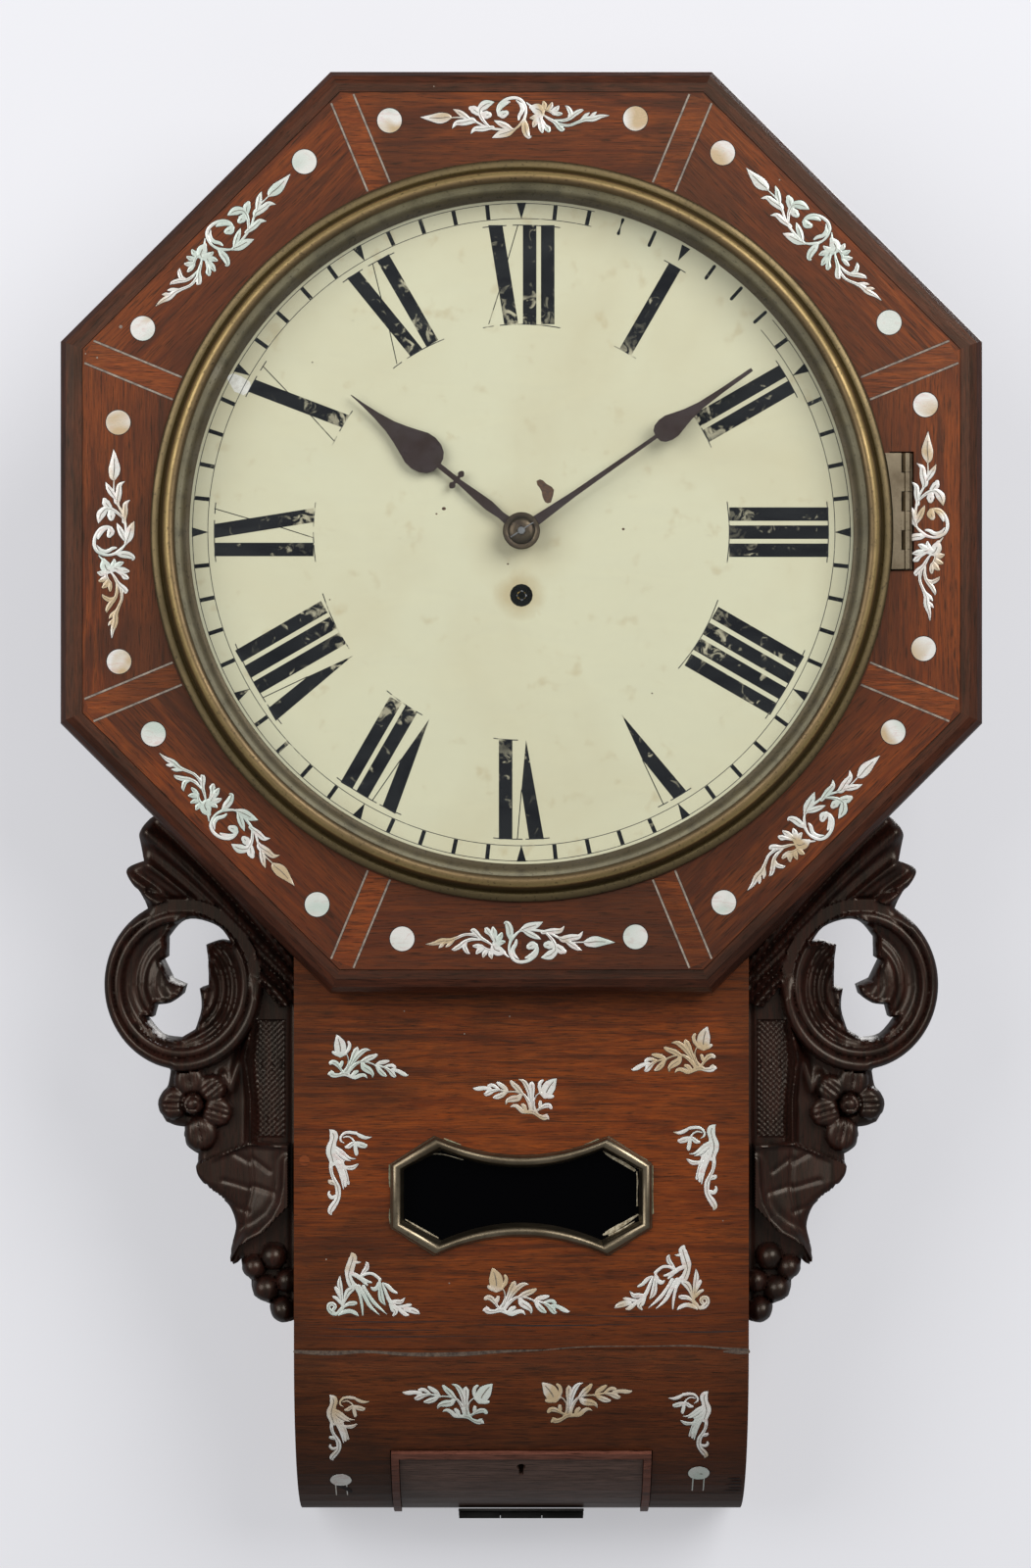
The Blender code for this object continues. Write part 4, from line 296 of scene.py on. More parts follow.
    def relief(self, height: object, strength: float, depth: float) -> Socket:
        """Return a normal with small relief.

        Args:
            height: the height value.
            strength: how strong the relief is.
            depth: its depth in metres.

        Returns:
            The normal output.
        """
        return self.node("Bump", Height=height, Strength=strength, Distance=depth).outputs[0]

    def finish(self, **sockets: object) -> Material:
        """Close the tree with one Principled surface.

        Args:
            **sockets: the shader's inputs, by name with _ for a space.

        Returns:
            The finished material.
        """
        shader = self.node("BsdfPrincipled", None, **sockets)
        output = self.node("OutputMaterial")
        self.tree.links.new(shader.outputs[0], output.inputs["Surface"])
        return self.material


def tone(red: int, green: int, blue: int) -> Colour:
    """Return a screen colour, given from 0 to 255, as linear values."""
    parts = [channel / 255 for channel in (red, green, blue)]
    return tuple(p / 12.92 if p <= 0.04045 else ((p + 0.055) / 1.055) ** 2.4 for p in parts)


def dimmed(colour: Colour, share: float) -> Colour:
    """Return a colour at a share of its brightness."""
    return tuple(share * channel for channel in colour)


@dataclass(frozen=True)
class Finish:
    """A finish, kept by the name of its material."""

    name: str

    def paint(self, graph: Graph) -> Material:
        """Fill a node tree.

        Args:
            graph: an empty tree.

        Returns:
            The finished material.
        """
        raise NotImplementedError

    def material(self) -> Material:
        """Return the finish's material, built the first time it is asked for."""
        name = "finish_" + self.name
        known = bpy.data.materials.get(name)
        return known if known else self.paint(Graph(name))


@dataclass(frozen=True)
class Wood(Finish):
    """Polished or bare wood with figure, dark streaks and pores along its grain.

    darkens is the height below which it darkens, and sides are the distances between which it
    darkens towards the trunk's sides, all in metres; edged says how much it does there. It can
    also darken in a ring round the bezel, between two radii in metres and by a strength of its
    own: this is painted shade round the raised bezel.
    """

    grain: Grain
    dark: Colour
    middle: Colour
    light: Colour
    roughness: float = 0.36
    polish: float = 0.12
    figure: float = 9.0
    stretch: float = 13.0
    darkens: float = -9.0
    edged: float = 0.0
    sheen: Colour = (1.0, 0.80, 0.58)
    bezel_shade: float = 0.0
    fade: float = 0.05
    sides: Point = (0.084, 0.106)
    bezel_shade_ring: Point = (0.198, 0.172)

    def along(self, graph: Graph) -> Socket:
        """Return coordinates that lie along the grain.

        Args:
            graph: the tree to add to.

        Returns:
            The vector output, stretched across the grain.
        """
        across = self.stretch
        if self.grain is Grain.ALONG_Z:
            return graph.place((across, across, 1.0))
        if self.grain is Grain.ALONG_X:
            return graph.place((1.0, across, across))
        where = graph.place()
        parts = graph.node("SeparateXYZ", Vector=where).outputs
        bearing = graph.sum(Sum.BEARING, parts["X"], parts["Z"])
        eighth = graph.sum(Sum.ROUND, graph.sum(Sum.DIVIDE, bearing, math.pi / 4))
        turn = graph.sum(Sum.MULTIPLY, eighth, -math.pi / 4)
        turned = graph.node("VectorRotate", {"rotation_type": "Y_AXIS"}, Vector=where, Angle=turn)
        shift = graph.node("CombineXYZ", X=graph.sum(Sum.MULTIPLY, eighth, 0.37), Y=eighth)
        moved = graph.node("VectorMath", {"operation": "ADD"})
        graph.feed(moved.inputs[0], turned.outputs[0])
        graph.feed(moved.inputs[1], shift.outputs[0])
        return graph.node("Mapping", Vector=moved.outputs[0],
                          Scale=(1.0, across, across)).outputs[0]

    def paint(self, graph: Graph) -> Material:
        """Lay clouds, streaks, fibres, darkening at the sides and below a height, painted shade
        round the bezel, and pores over the figure.

        Args:
            graph: an empty tree.

        Returns:
            The finished material.
        """
        where, plain = self.along(graph), graph.place()
        figure = graph.noise(where, self.figure, 6.0, 0.60, 1.1)
        cloud = graph.noise(plain, 11.0, 4.0, 0.55, 0.6)
        streak = graph.noise(where, self.figure * 2.6, 5.0, 0.65, 0.4)
        fibre = graph.noise(where, self.figure * 8.0, 4.0, 0.7)
        pore = graph.noise(graph.node("Mapping", Vector=where, Scale=(2.4, 3.2, 3.2)).outputs[0],
                           self.figure * 5.0, 3.0, 0.6)
        parts = graph.node("SeparateXYZ", Vector=plain).outputs
        aside, height = graph.sum(Sum.ABSOLUTE, parts["X"]), parts["Z"]
        colour = graph.ramp(figure, (0.26, self.dark), (0.40, self.middle), (0.52, self.light),
                            (0.62, self.middle), (0.80, self.dark))
        colour = graph.cover(colour, self.middle, cloud, 0.40, 0.66, 0.75)
        colour = graph.cover(colour, self.dark, cloud, 0.52, 0.36, 0.60)
        colour = graph.cover(colour, self.dark, streak, 0.54, 0.68, 0.75)
        colour = graph.cover(colour, self.dark, fibre, 0.40, 0.70, 0.65)
        colour = graph.cover(colour, self.dark, aside, *self.sides, 0.35 * self.edged)
        # Painted shade: darker in a ring round the raised bezel.
        colour = graph.cover(colour, self.dark, graph.radius(), *self.bezel_shade_ring, self.bezel_shade)
        # Darker below a height: on the octagon this is painted shade under the bezel.
        colour = graph.cover(colour, self.dark, height, self.darkens, self.darkens - self.fade,
                             0.55)
        return graph.finish(
            Base_Color=graph.cover(colour, dimmed(self.dark, 0.32), pore, 0.55, 0.66, 0.85),
            Roughness=graph.level(fibre, 0.3, 0.7, self.roughness - 0.04, self.roughness + 0.12),
            Specular_IOR_Level=0.32,
            Specular_Tint=self.sheen,
            Coat_Weight=self.polish,
            Coat_Roughness=0.24,
            Normal=graph.relief(graph.sum(Sum.ADD, fibre, pore), 0.22, 0.0004))


@dataclass(frozen=True)
class Metal(Finish):
    """Metal with duller and brighter places, fine scratches and some dirt."""

    bright: Colour
    dull: Colour
    roughness: float = 0.30
    metallic: float = 1.0
    patches: float = 34.0

    def paint(self, graph: Graph) -> Material:
        """Mix the bright and the dull metal in patches, and add dirt and scratches.

        Args:
            graph: an empty tree.

        Returns:
            The finished material.
        """
        where = graph.place()
        patch = graph.noise(where, self.patches, 5.0, 0.62, 0.5)
        speck = graph.noise(where, 620.0, 3.0, 0.6)
        scratch = graph.noise(graph.place((60.0, 4.0, 900.0)), 1.0, 3.0, 0.6)
        worn = graph.cover(self.bright, self.dull, patch, 0.36, 0.62)
        rough = graph.level(patch, 0.3, 0.7, self.roughness - 0.05, self.roughness + 0.16)
        return graph.finish(
            Base_Color=graph.cover(worn, dimmed(self.dull, 0.35), speck, 0.60, 0.74, 0.55),
            Metallic=self.metallic,
            Roughness=graph.sum(Sum.ADD, rough, graph.level(scratch, 0.5, 0.7, 0.0, 0.06)),
            Normal=graph.relief(graph.sum(Sum.ADD, patch, speck), 0.10, 0.0003))


@dataclass(frozen=True)
class TurnedMetal(Finish):
    """Turned metal coloured in rings at radii in metres round the dial's centre, with painted
    highlights.
    """

    bands: tuple[tuple[float, Colour], ...]
    roughness: float = 0.30
    tarnish: Colour = tone(62, 54, 38)
    dirt: Colour = tone(36, 30, 22)

    def paint(self, graph: Graph) -> Material:
        """Lay the rings, and tarnish and dirt over them.

        Args:
            graph: an empty tree.

        Returns:
            The finished material.
        """
        where = graph.place()
        patch = graph.noise(where, 26.0, 5.0, 0.65, 0.6)
        speck = graph.noise(where, 700.0, 3.0, 0.6)
        first, last = self.bands[0][0], self.bands[-1][0]
        stops = [((radius - first) / (last - first), colour) for radius, colour in self.bands]
        ground = graph.ramp(graph.level(graph.radius(), first, last), *stops)
        worn = graph.cover(ground, self.tarnish, patch, 0.35, 0.68, 0.42)
        return graph.finish(
            Base_Color=graph.cover(worn, self.dirt, speck, 0.58, 0.70, 0.60),
            Metallic=0.75,
            Roughness=graph.level(patch, 0.3, 0.7, self.roughness - 0.04, self.roughness + 0.14),
            Normal=graph.relief(graph.sum(Sum.ADD, patch, speck), 0.12, 0.0003))


@dataclass(frozen=True)
class Halo:
    """A round stain on the dial: its height, inner and outer radius in metres, its strength."""

    height: float
    inner: float
    outer: float
    strength: float


@dataclass(frozen=True)
class DialPaint(Finish):
    """Old cream dial paint, browner in its stains, with fine cracks."""

    paint_colour: Colour
    stain: Colour
    halos: tuple[Halo, ...] = (Halo(-0.029, 0.0055, 0.0125, 0.62), Halo(0.0, 0.008, 0.030, 0.30))

    def paint(self, graph: Graph) -> Material:
        """Lay stains, spots, grime, halos round the two holes, and cracks over the paint.

        Args:
            graph: an empty tree.

        Returns:
            The finished material.
        """
        where = graph.place()
        cloud = graph.noise(where, 11.0, 4.0, 0.55, 0.6)
        spots = graph.noise(where, 95.0, 3.0, 0.5)
        grime = graph.noise(where, 420.0, 3.0, 0.6)
        cracks = graph.node("TexVoronoi", {"feature": "DISTANCE_TO_EDGE"}, Vector=where,
                            Scale=240.0)
        colour = graph.cover(self.paint_colour, self.stain, cloud, 0.42, 0.75, 0.26)
        colour = graph.cover(colour, self.stain, spots, 0.63, 0.75, 0.34)
        colour = graph.cover(colour, dimmed(self.stain, 0.4), grime, 0.70, 0.80, 0.30)
        for halo in self.halos:
            ragged = graph.sum(Sum.ADD, graph.radius(halo.height),
                               graph.level(spots, 0.3, 0.7, -0.002, 0.002))
            colour = graph.cover(colour, self.stain, ragged, halo.outer, halo.inner, halo.strength)
        return graph.finish(
            Base_Color=graph.cover(colour, self.stain, cracks.outputs[0], 0.02, 0.0, 0.10),
            Roughness=graph.level(cloud, 0.3, 0.7, 0.42, 0.58),
            Normal=graph.relief(spots, 0.12, 0.0002))


@dataclass(frozen=True)
class Ink(Finish):
    """Dial ink worn through in short cracks, down to the paint, most between the rubbed radii."""

    ink: Colour
    under: Colour
    wear: float = 0.8
    rubbed: Point = (0.114, 0.098)

    def paint(self, graph: Graph) -> Material:
        """Wear the ink away where the noise and the rubbing say so.

        Args:
            graph: an empty tree.

        Returns:
            The finished material.
        """
        where = graph.place()
        worn = graph.noise(where, 190.0, 3.0, 0.60, 1.0)
        cloud = graph.noise(where, 45.0, 2.0)
        rubbed = graph.sum(Sum.ADD, worn, graph.level(graph.radius(), *self.rubbed, 0.0, 0.15))
        share = graph.sum(Sum.MULTIPLY, graph.level(rubbed, 0.62, 0.74),
                          graph.level(cloud, 0.40, 0.54, 0.15, 1.0))
        return graph.finish(
            Base_Color=graph.blend(graph.sum(Sum.MULTIPLY, share, self.wear), self.ink, self.under),
            Roughness=0.5,
            Specular_IOR_Level=0.12,
            Normal=graph.relief(worn, 0.15, 0.0001))


@dataclass(frozen=True)
class Pearl(Finish):
    """Mother-of-pearl with pink and green lights and a silky sheen."""

    pale: Colour
    pink: Colour
    green: Colour
    warm: Colour

    def paint(self, graph: Graph) -> Material:
        """Lay the pink, green and warm lights over the pale shell.

        Args:
            graph: an empty tree.

        Returns:
            The finished material.
        """
        silk = graph.noise(graph.place((1.0, 1.0, 2.6)), 150.0, 4.0, 0.6, 1.6)
        slow = graph.noise(graph.place(), 34.0, 2.0, 0.5, 0.5)
        colour = graph.cover(self.pale, self.pink, silk, 0.50, 0.68, 0.70)
        colour = graph.cover(colour, self.green, slow, 0.50, 0.66, 0.70)
        return graph.finish(
            Base_Color=graph.cover(colour, self.warm, slow, 0.45, 0.36, 0.85),
            Metallic=0.12,
            Coat_Weight=0.4,
            Coat_Roughness=0.12,
            Roughness=graph.level(silk, 0.3, 0.7, 0.20, 0.36),
            Normal=graph.relief(silk, 0.12, 0.0002))


@dataclass(frozen=True)
class Glass(Finish):
    """Old glass with faint smears: clear, or near-black as painted shade."""

    tint: Colour
    clearest: float = 0.015
    densest: float = 0.05
    gloss: float = 0.5

    def paint(self, graph: Graph) -> Material:
        """Vary how clear and how smooth the glass is with its smears.

        Args:
            graph: an empty tree.

        Returns:
            The finished material.
        """
        smear = graph.noise(graph.place((1.0, 1.0, 3.0)), 22.0, 4.0, 0.6, 1.0)
        return graph.finish(
            Base_Color=self.tint,
            Alpha=graph.level(smear, 0.35, 0.75, self.clearest, self.densest),
            Roughness=graph.level(smear, 0.3, 0.7, 0.04, 0.12),
            Specular_IOR_Level=self.gloss)


@dataclass(frozen=True)
class Matt(Finish):
    """Putty, gut, old paint or a painted shade lining: matt, with light and dark grains."""

    light: Colour
    dark: Colour
    grains: float = 500.0
    gloss: float = 0.4

    def paint(self, graph: Graph) -> Material:
        """Mix light and dark grains.

        Args:
            graph: an empty tree.

        Returns:
            The finished material.
        """
        grain = graph.noise(graph.place(), self.grains, 4.0, 0.65)
        return graph.finish(
            Base_Color=graph.ramp(grain, (0.35, self.dark), (0.65, self.light)),
            Roughness=graph.level(grain, 0.3, 0.7, 0.55, 0.8),
            Specular_IOR_Level=self.gloss,
            Normal=graph.relief(grain, 0.35, 0.0005))


@dataclass(frozen=True)
class Finishes:
    """All the finishes of the clock."""

    trunk: Finish = Wood("rosewood_trunk", Grain.ALONG_X, tone(52, 23, 10), tone(106, 44, 12),
                         tone(145, 69, 20), figure=9.0, stretch=17.0, darkens=-0.325, edged=1.0)
    foot: Finish = Wood("rosewood_foot", Grain.ALONG_X, tone(38, 19, 10), tone(84, 37, 14),
                        tone(110, 55, 22), roughness=0.46, polish=0.10, stretch=17.0,
                        darkens=-0.40, edged=1.0)
    door: Finish = Wood("rosewood_door", Grain.ALONG_X, tone(54, 39, 33), tone(90, 67, 59),
                        tone(112, 86, 76), roughness=0.42, polish=0.25, stretch=17.0)
    door_bead: Finish = Wood("rosewood_door_bead", Grain.ALONG_X, tone(62, 34, 27),
                             tone(104, 62, 50), tone(134, 84, 68), roughness=0.40)
    side: Finish = Wood("rosewood_side", Grain.ALONG_Z, tone(40, 17, 10), tone(80, 34, 17),
                        tone(106, 50, 25), figure=9.0)
    # The octagon's darkening below the bezel and in a ring round it is painted shade.
    octagon: Finish = Wood("rosewood_octagon", Grain.ROUND_OCTAGON, tone(56, 26, 17),
                           tone(94, 39, 17), tone(138, 66, 24), figure=8.0, roughness=0.42,
                           polish=0.06, darkens=-0.150, bezel_shade=0.5)
    veneer: Finish = Wood("rosewood_crossing", Grain.ALONG_X, tone(64, 29, 15), tone(114, 51, 22),
                          tone(150, 75, 30), figure=12.0)
    moulding: Finish = Wood("rosewood_moulding", Grain.ROUND_OCTAGON, tone(34, 16, 11),
                            tone(62, 30, 19), tone(92, 46, 28))
    carved: Finish = Wood("carved_dark_wood", Grain.ALONG_Z, tone(15, 8, 6), tone(32, 17, 14),
                          tone(58, 27, 20), roughness=0.34, polish=0.22)
    pine: Finish = Wood("weathered_pine", Grain.ALONG_Z, tone(104, 68, 34), tone(160, 118, 70),
                        tone(196, 156, 102), roughness=0.62, polish=0.0)
    aged_brass: Finish = Metal("worn_aged_brass", tone(190, 166, 114), tone(138, 119, 82), 0.34)
    # The bezel's rings: the bright ones on the bead's crest, at 0.1612 and 0.1621 m, are a painted
    # highlight.
    bezel: Finish = TurnedMetal("bezel_brass", (
        (0.1572, tone(64, 52, 38)), (0.1585, tone(116, 96, 68)), (0.1600, tone(134, 112, 76)),
        (0.1612, tone(164, 140, 92)), (0.1621, tone(188, 162, 106)), (0.1628, tone(130, 106, 66)),
        (0.1635, tone(92, 76, 46)), (0.1650, tone(90, 74, 44)), (0.1656, tone(116, 100, 62)),
        (0.1662, tone(122, 106, 72)), (0.1680, tone(112, 96, 65)), (0.1695, tone(94, 80, 54))),
        0.38)
    # The pale rings on the sight ring's slope, from 0.1561 to 0.1590 m, are a painted highlight.
    sight: Finish = TurnedMetal("sight_ring_brass", (
        (0.1520, tone(106, 94, 72)), (0.1553, tone(106, 94, 72)), (0.1561, tone(140, 130, 108)),
        (0.1567, tone(178, 170, 152)), (0.1580, tone(172, 164, 146)), (0.1590, tone(136, 126, 104)),
        (0.1604, tone(98, 88, 68))), 0.40)
    window: Finish = Metal("window_brass", tone(156, 142, 118), tone(106, 94, 76), 0.30)
    verdigris: Finish = Matt("verdigris", tone(150, 148, 118), tone(84, 88, 70))
    # A near-black, nearly opaque pane: painted shade for the dark inside of the case.
    shade: Finish = Glass("painted_shade_glass", tone(2, 2, 3), 0.985, 0.995, 0.05)
    brass: Finish = Metal("brass", tone(206, 172, 96), tone(160, 130, 72), 0.26)
    steel: Finish = Metal("steel", tone(176, 178, 180), tone(112, 112, 112), 0.28)
    blued: Finish = Metal("browned_blue_steel", tone(62, 52, 52), tone(54, 43, 40), 0.44, 0.8, 90.0)
    collet: Finish = Metal("brown_brass", tone(96, 84, 66), tone(64, 54, 46), 0.34, 0.9, 120.0)
    string: Finish = Matt("pale_string", tone(162, 148, 132), tone(104, 92, 82), 260.0)
    dust: Finish = Matt("joint_dust", tone(98, 82, 68), tone(48, 36, 29), 420.0)
    # Near-black lining for the winding hole: painted shade.
    hollow: Finish = Matt("deep_shade", tone(4, 3, 3), tone(1, 1, 1), gloss=0.02)
    engraved: Finish = Matt("engraved_line", tone(128, 118, 104), tone(84, 76, 66))
    # Dull dark lead for the pendulum bob; on the foot hinge leaves it is painted shade.
    lead_and_hinge_shade: Finish = Metal("lead_and_painted_hinge_shade", tone(52, 50, 48), tone(34, 32, 30), 0.5, 0.8)
    dial: Finish = DialPaint("old_cream_paint", tone(205, 203, 172), tone(172, 152, 106))
    ink: Finish = Ink("dial_ink", tone(9, 11, 18), tone(196, 190, 160))
    thin_ink: Finish = Ink("dial_thin_ink", tone(34, 36, 42), tone(204, 200, 170), 0.9)
    pearl: Finish = Pearl("mother_of_pearl", tone(224, 222, 215), tone(204, 178, 172),
                          tone(180, 198, 184), tone(186, 158, 112))
    glass: Finish = Glass("clear_glass", tone(168, 176, 172), 0.006, 0.026, 0.35)
    putty: Finish = Matt("putty", tone(196, 186, 160), tone(120, 106, 80))
    gut: Finish = Matt("gut_line", tone(186, 150, 92), tone(120, 88, 48))
    chip: Finish = Matt("bare_dial_chip", tone(96, 66, 42), tone(52, 34, 24), 900.0)
    repaint: Finish = Matt("repainted_patch", tone(238, 238, 230), tone(214, 212, 200), 300.0)
    line: Finish = Matt("dark_line", tone(34, 20, 16), tone(18, 11, 9), 800.0)


def in_millimetres(strokes: Strokes) -> Strokes:
    """Return strokes that are given in tenths of a millimetre in millimetres."""
    return tuple(tuple(tuple(number / 10 for number in spot) for spot in stroke)
                 for stroke in strokes)


# Each stroke of an ornament is a row of (x, z, width) in tenths from its own origin.
SPRAY = in_millimetres((
    ((-432, 12, 1), (-390, 9, 28), (-344, 8, 53), (-307, 12, 37), (-289, 9, 7)),
    ((-295, 10, 5), (-230, 10, 7), (-181, -7, 10), (-126, -34, 11), (-52, -46, 12),
     (-2, -44, 14)),
    ((-282, 48, 2), (-258, 37, 21), (-233, 20, 27), (-206, 3, 12)),
    ((-286, -39, 2), (-267, -15, 22), (-233, -11, 31), (-196, -3, 31), (-175, -12, 6)),
    ((-201, -63, 2), (-181, -42, 22), (-144, -40, 26), (-101, -34, 16)),
    ((-201, 53, 21), (-187, 47, 36), (-168, 32, 28)),
    ((-144, 25, 28), (-130, 23, 38), (-119, 23, 28)),
    ((-94, 81, 2), (-114, 77, 25), (-138, 68, 41), (-160, 46, 27), (-157, 21, 18), (-144, -3, 14),
     (-117, -32, 9)),
    ((-95, -3, 2), (-71, -14, 22), (-40, -29, 27), (-9, -46, 9)),
    ((-103, -82, 2), (-71, -68, 32), (-31, -56, 39), (0, -43, 9)),
    ((-6, -46, 7), (15, -31, 11), (40, -3, 16)),
    ((-64, 12, 6), (-77, 37, 14), (-71, 68, 15), (-40, 93, 15), (0, 101, 15), (31, 89, 14),
     (47, 61, 14), (51, 31, 11), (40, -6, 16)),
    ((-68, 27, 27), (-55, 25, 38), (-41, 31, 27)),
    ((-74, 37, 7), (-61, 61, 18), (-40, 77, 18), (-21, 83, 6)),
    ((6, 89, 4), (29, 68, 16), (34, 43, 18), (21, 18, 16), (18, 1, 9)),
    ((43, 3, 9), (47, -25, 31), (51, -55, 32), (63, -77, 20), (76, -75, 5)),
    ((52, 80, 4), (74, 61, 12)),
    ((74, 58, 18), (95, 52, 47), (117, 43, 43), (123, 28, 25)),
    ((135, 49, 15), (135, 68, 25), (132, 81, 12)),
    ((150, 46, 15), (163, 61, 23), (169, 75, 12)),
    ((166, 37, 14), (187, 48, 25), (198, 60, 12)),
    ((175, 28, 12), (196, 28, 21), (212, 28, 12)),
    ((114, 25, 25), (86, 11, 21), (73, 9, 10)),
    ((107, 12, 21), (92, -15, 25), (86, -29, 12)),
    ((114, 3, 18), (121, -34, 28), (125, -55, 12)),
    ((123, 0, 12), (138, -25, 15), (150, -40, 27), (155, -49, 18)),
    ((114, 31, 34), (111, 9, 34), (117, -9, 18)),
    ((107, 43, 25), (135, 48, 16), (160, 40, 12), (178, 25, 9)),
    ((123, 28, 5), (150, 9, 12), (181, -9, 18), (203, -31, 27), (215, -42, 25), (220, -43, 16)),
    ((175, -6, 10), (206, -21, 14), (249, -25, 12), (292, -9, 14), (322, 3, 22), (359, 6, 27),
     (396, 17, 17), (432, 20, 2)),
    ((305, 3, 9), (325, 21, 16), (342, 33, 4)),
    ((341, 6, 9), (359, 25, 16), (373, 36, 4)),
    ((181, 0, 6), (218, -3, 14), (249, 6, 16), (276, 28, 22), (301, 42, 16), (315, 43, 2)),
    ((246, 9, 9), (255, 31, 21), (243, 55, 16), (230, 64, 2)),
))
SPRIG = in_millimetres((
    ((-41, 175, 3), (-34, 158, 30), (-27, 136, 55), (-23, 112, 59), (-23, 98, 55)),
    ((-56, 94, 14), (-44, 86, 16), (-22, 82, 16), (0, 87, 14)),
    ((14, 142, 11), (20, 128, 15), (15, 109, 16), (5, 93, 11)),
    ((1, 93, 3), (11, 74, 5), (15, 49, 7), (8, 22, 14), (-1, 3, 25)),
    ((56, 120, 3), (52, 106, 25), (40, 84, 22), (30, 60, 16), (19, 33, 16), (5, 5, 16)),
    ((117, 104, 1), (98, 106, 14), (79, 98, 22), (55, 76, 22), (38, 52, 16), (27, 33, 11)),
    ((8, 0, 22), (33, 27, 16), (65, 49, 11), (98, 49, 8), (131, 38, 7), (144, 27, 8)),
    ((144, 82, 13), (128, 74, 22), (104, 65, 25), (79, 52, 16)),
    ((79, 44, 16), (87, 25, 30), (109, 11, 30), (125, -5, 16), (126, -23, 2)),
    ((199, 53, 11), (183, 50, 19), (161, 45, 19), (144, 38, 8)),
    ((147, 27, 14), (158, 11, 23), (174, -5, 23), (187, -14, 11)),
    ((147, 33, 11), (174, 27, 8), (196, 16, 14), (215, 0, 25), (226, -14, 19), (237, -16, 4)),
    ((180, 27, 8), (202, 33, 14), (218, 33, 16), (229, 25, 14)),
    ((218, 14, 14), (243, 8, 17), (267, -5, 19), (283, -12, 11), (292, -11, 3)),
    ((-82, -8, 2), (-68, -5, 25), (-52, -12, 22), (-27, -11, 16), (-11, -5, 22), (11, -8, 19)),
    ((-67, 11, 3), (-61, 0, 16), (-52, -11, 11)),
    ((-69, 44, 16), (-57, 49, 21), (-41, 41, 22), (-27, 22, 11), (-14, 5, 11)),
    ((-15, 49, 14), (-20, 35, 17), (-22, 22, 8), (-16, 8, 7)),
    ((0, -8, 16), (22, -16, 16), (44, -22, 19), (65, -14, 19), (82, -11, 16), (93, -16, 11),
     (101, -26, 2)),
    ((55, 5, 14), (44, 0, 19), (33, -11, 16)),
))
BIRD = in_millimetres((
    ((-22, 155, 2), (-6, 139, 33), (-1, 121, 38), (-6, 98, 33), (-13, 71, 44), (-15, 47, 44),
     (-9, 24, 38), (-4, 3, 33)),
    ((3, 71, 18), (30, 56, 18), (56, 33, 15), (77, 21, 9), (101, 19, 2)),
    ((0, 62, 12), (27, 38, 15), (53, 18, 13), (77, 10, 2)),
    ((-6, 50, 15), (15, 24, 18), (38, 10, 12), (50, 10, 3)),
    ((6, 6, 18), (21, -24, 18), (33, -62, 15), (43, -121, 4)),
    ((18, 6, 18), (35, -27, 15), (47, -65, 15), (52, -106, 13)),
    ((35, 0, 21), (50, -30, 12), (59, -62, 12), (65, -95, 13)),
    ((41, -18, 18), (62, -22, 18), (86, -21, 21), (106, -9, 9), (114, -4, 1)),
    ((-12, 3, 18), (-15, -24, 17), (-10, -53, 15), (3, -83, 18), (16, -112, 24), (19, -145, 24),
     (12, -174, 24), (-6, -201, 30), (-18, -225, 24), (-12, -242, 3)),
    ((-20, -86, 18), (-15, -89, 21), (0, -95, 15)),
    ((-21, -130, 6), (-25, -145, 13), (-12, -160, 19), (9, -154, 15)),
    ((47, 92, 2), (31, 103, 9), (31, 121, 10), (47, 138, 12), (71, 142, 15), (101, 138, 15)),
    ((106, 135, 12), (124, 124, 18), (148, 117, 15), (174, 120, 2)),
    ((41, 118, 5), (62, 123, 7), (80, 115, 7), (92, 101, 9)),
    ((55, 74, 12), (68, 77, 21), (83, 89, 18), (92, 95, 9)),
    ((90, 95, 12), (118, 86, 27), (139, 80, 24), (145, 80, 18)),
    ((95, 92, 15), (99, 65, 18), (103, 47, 18), (103, 41, 15)),
))
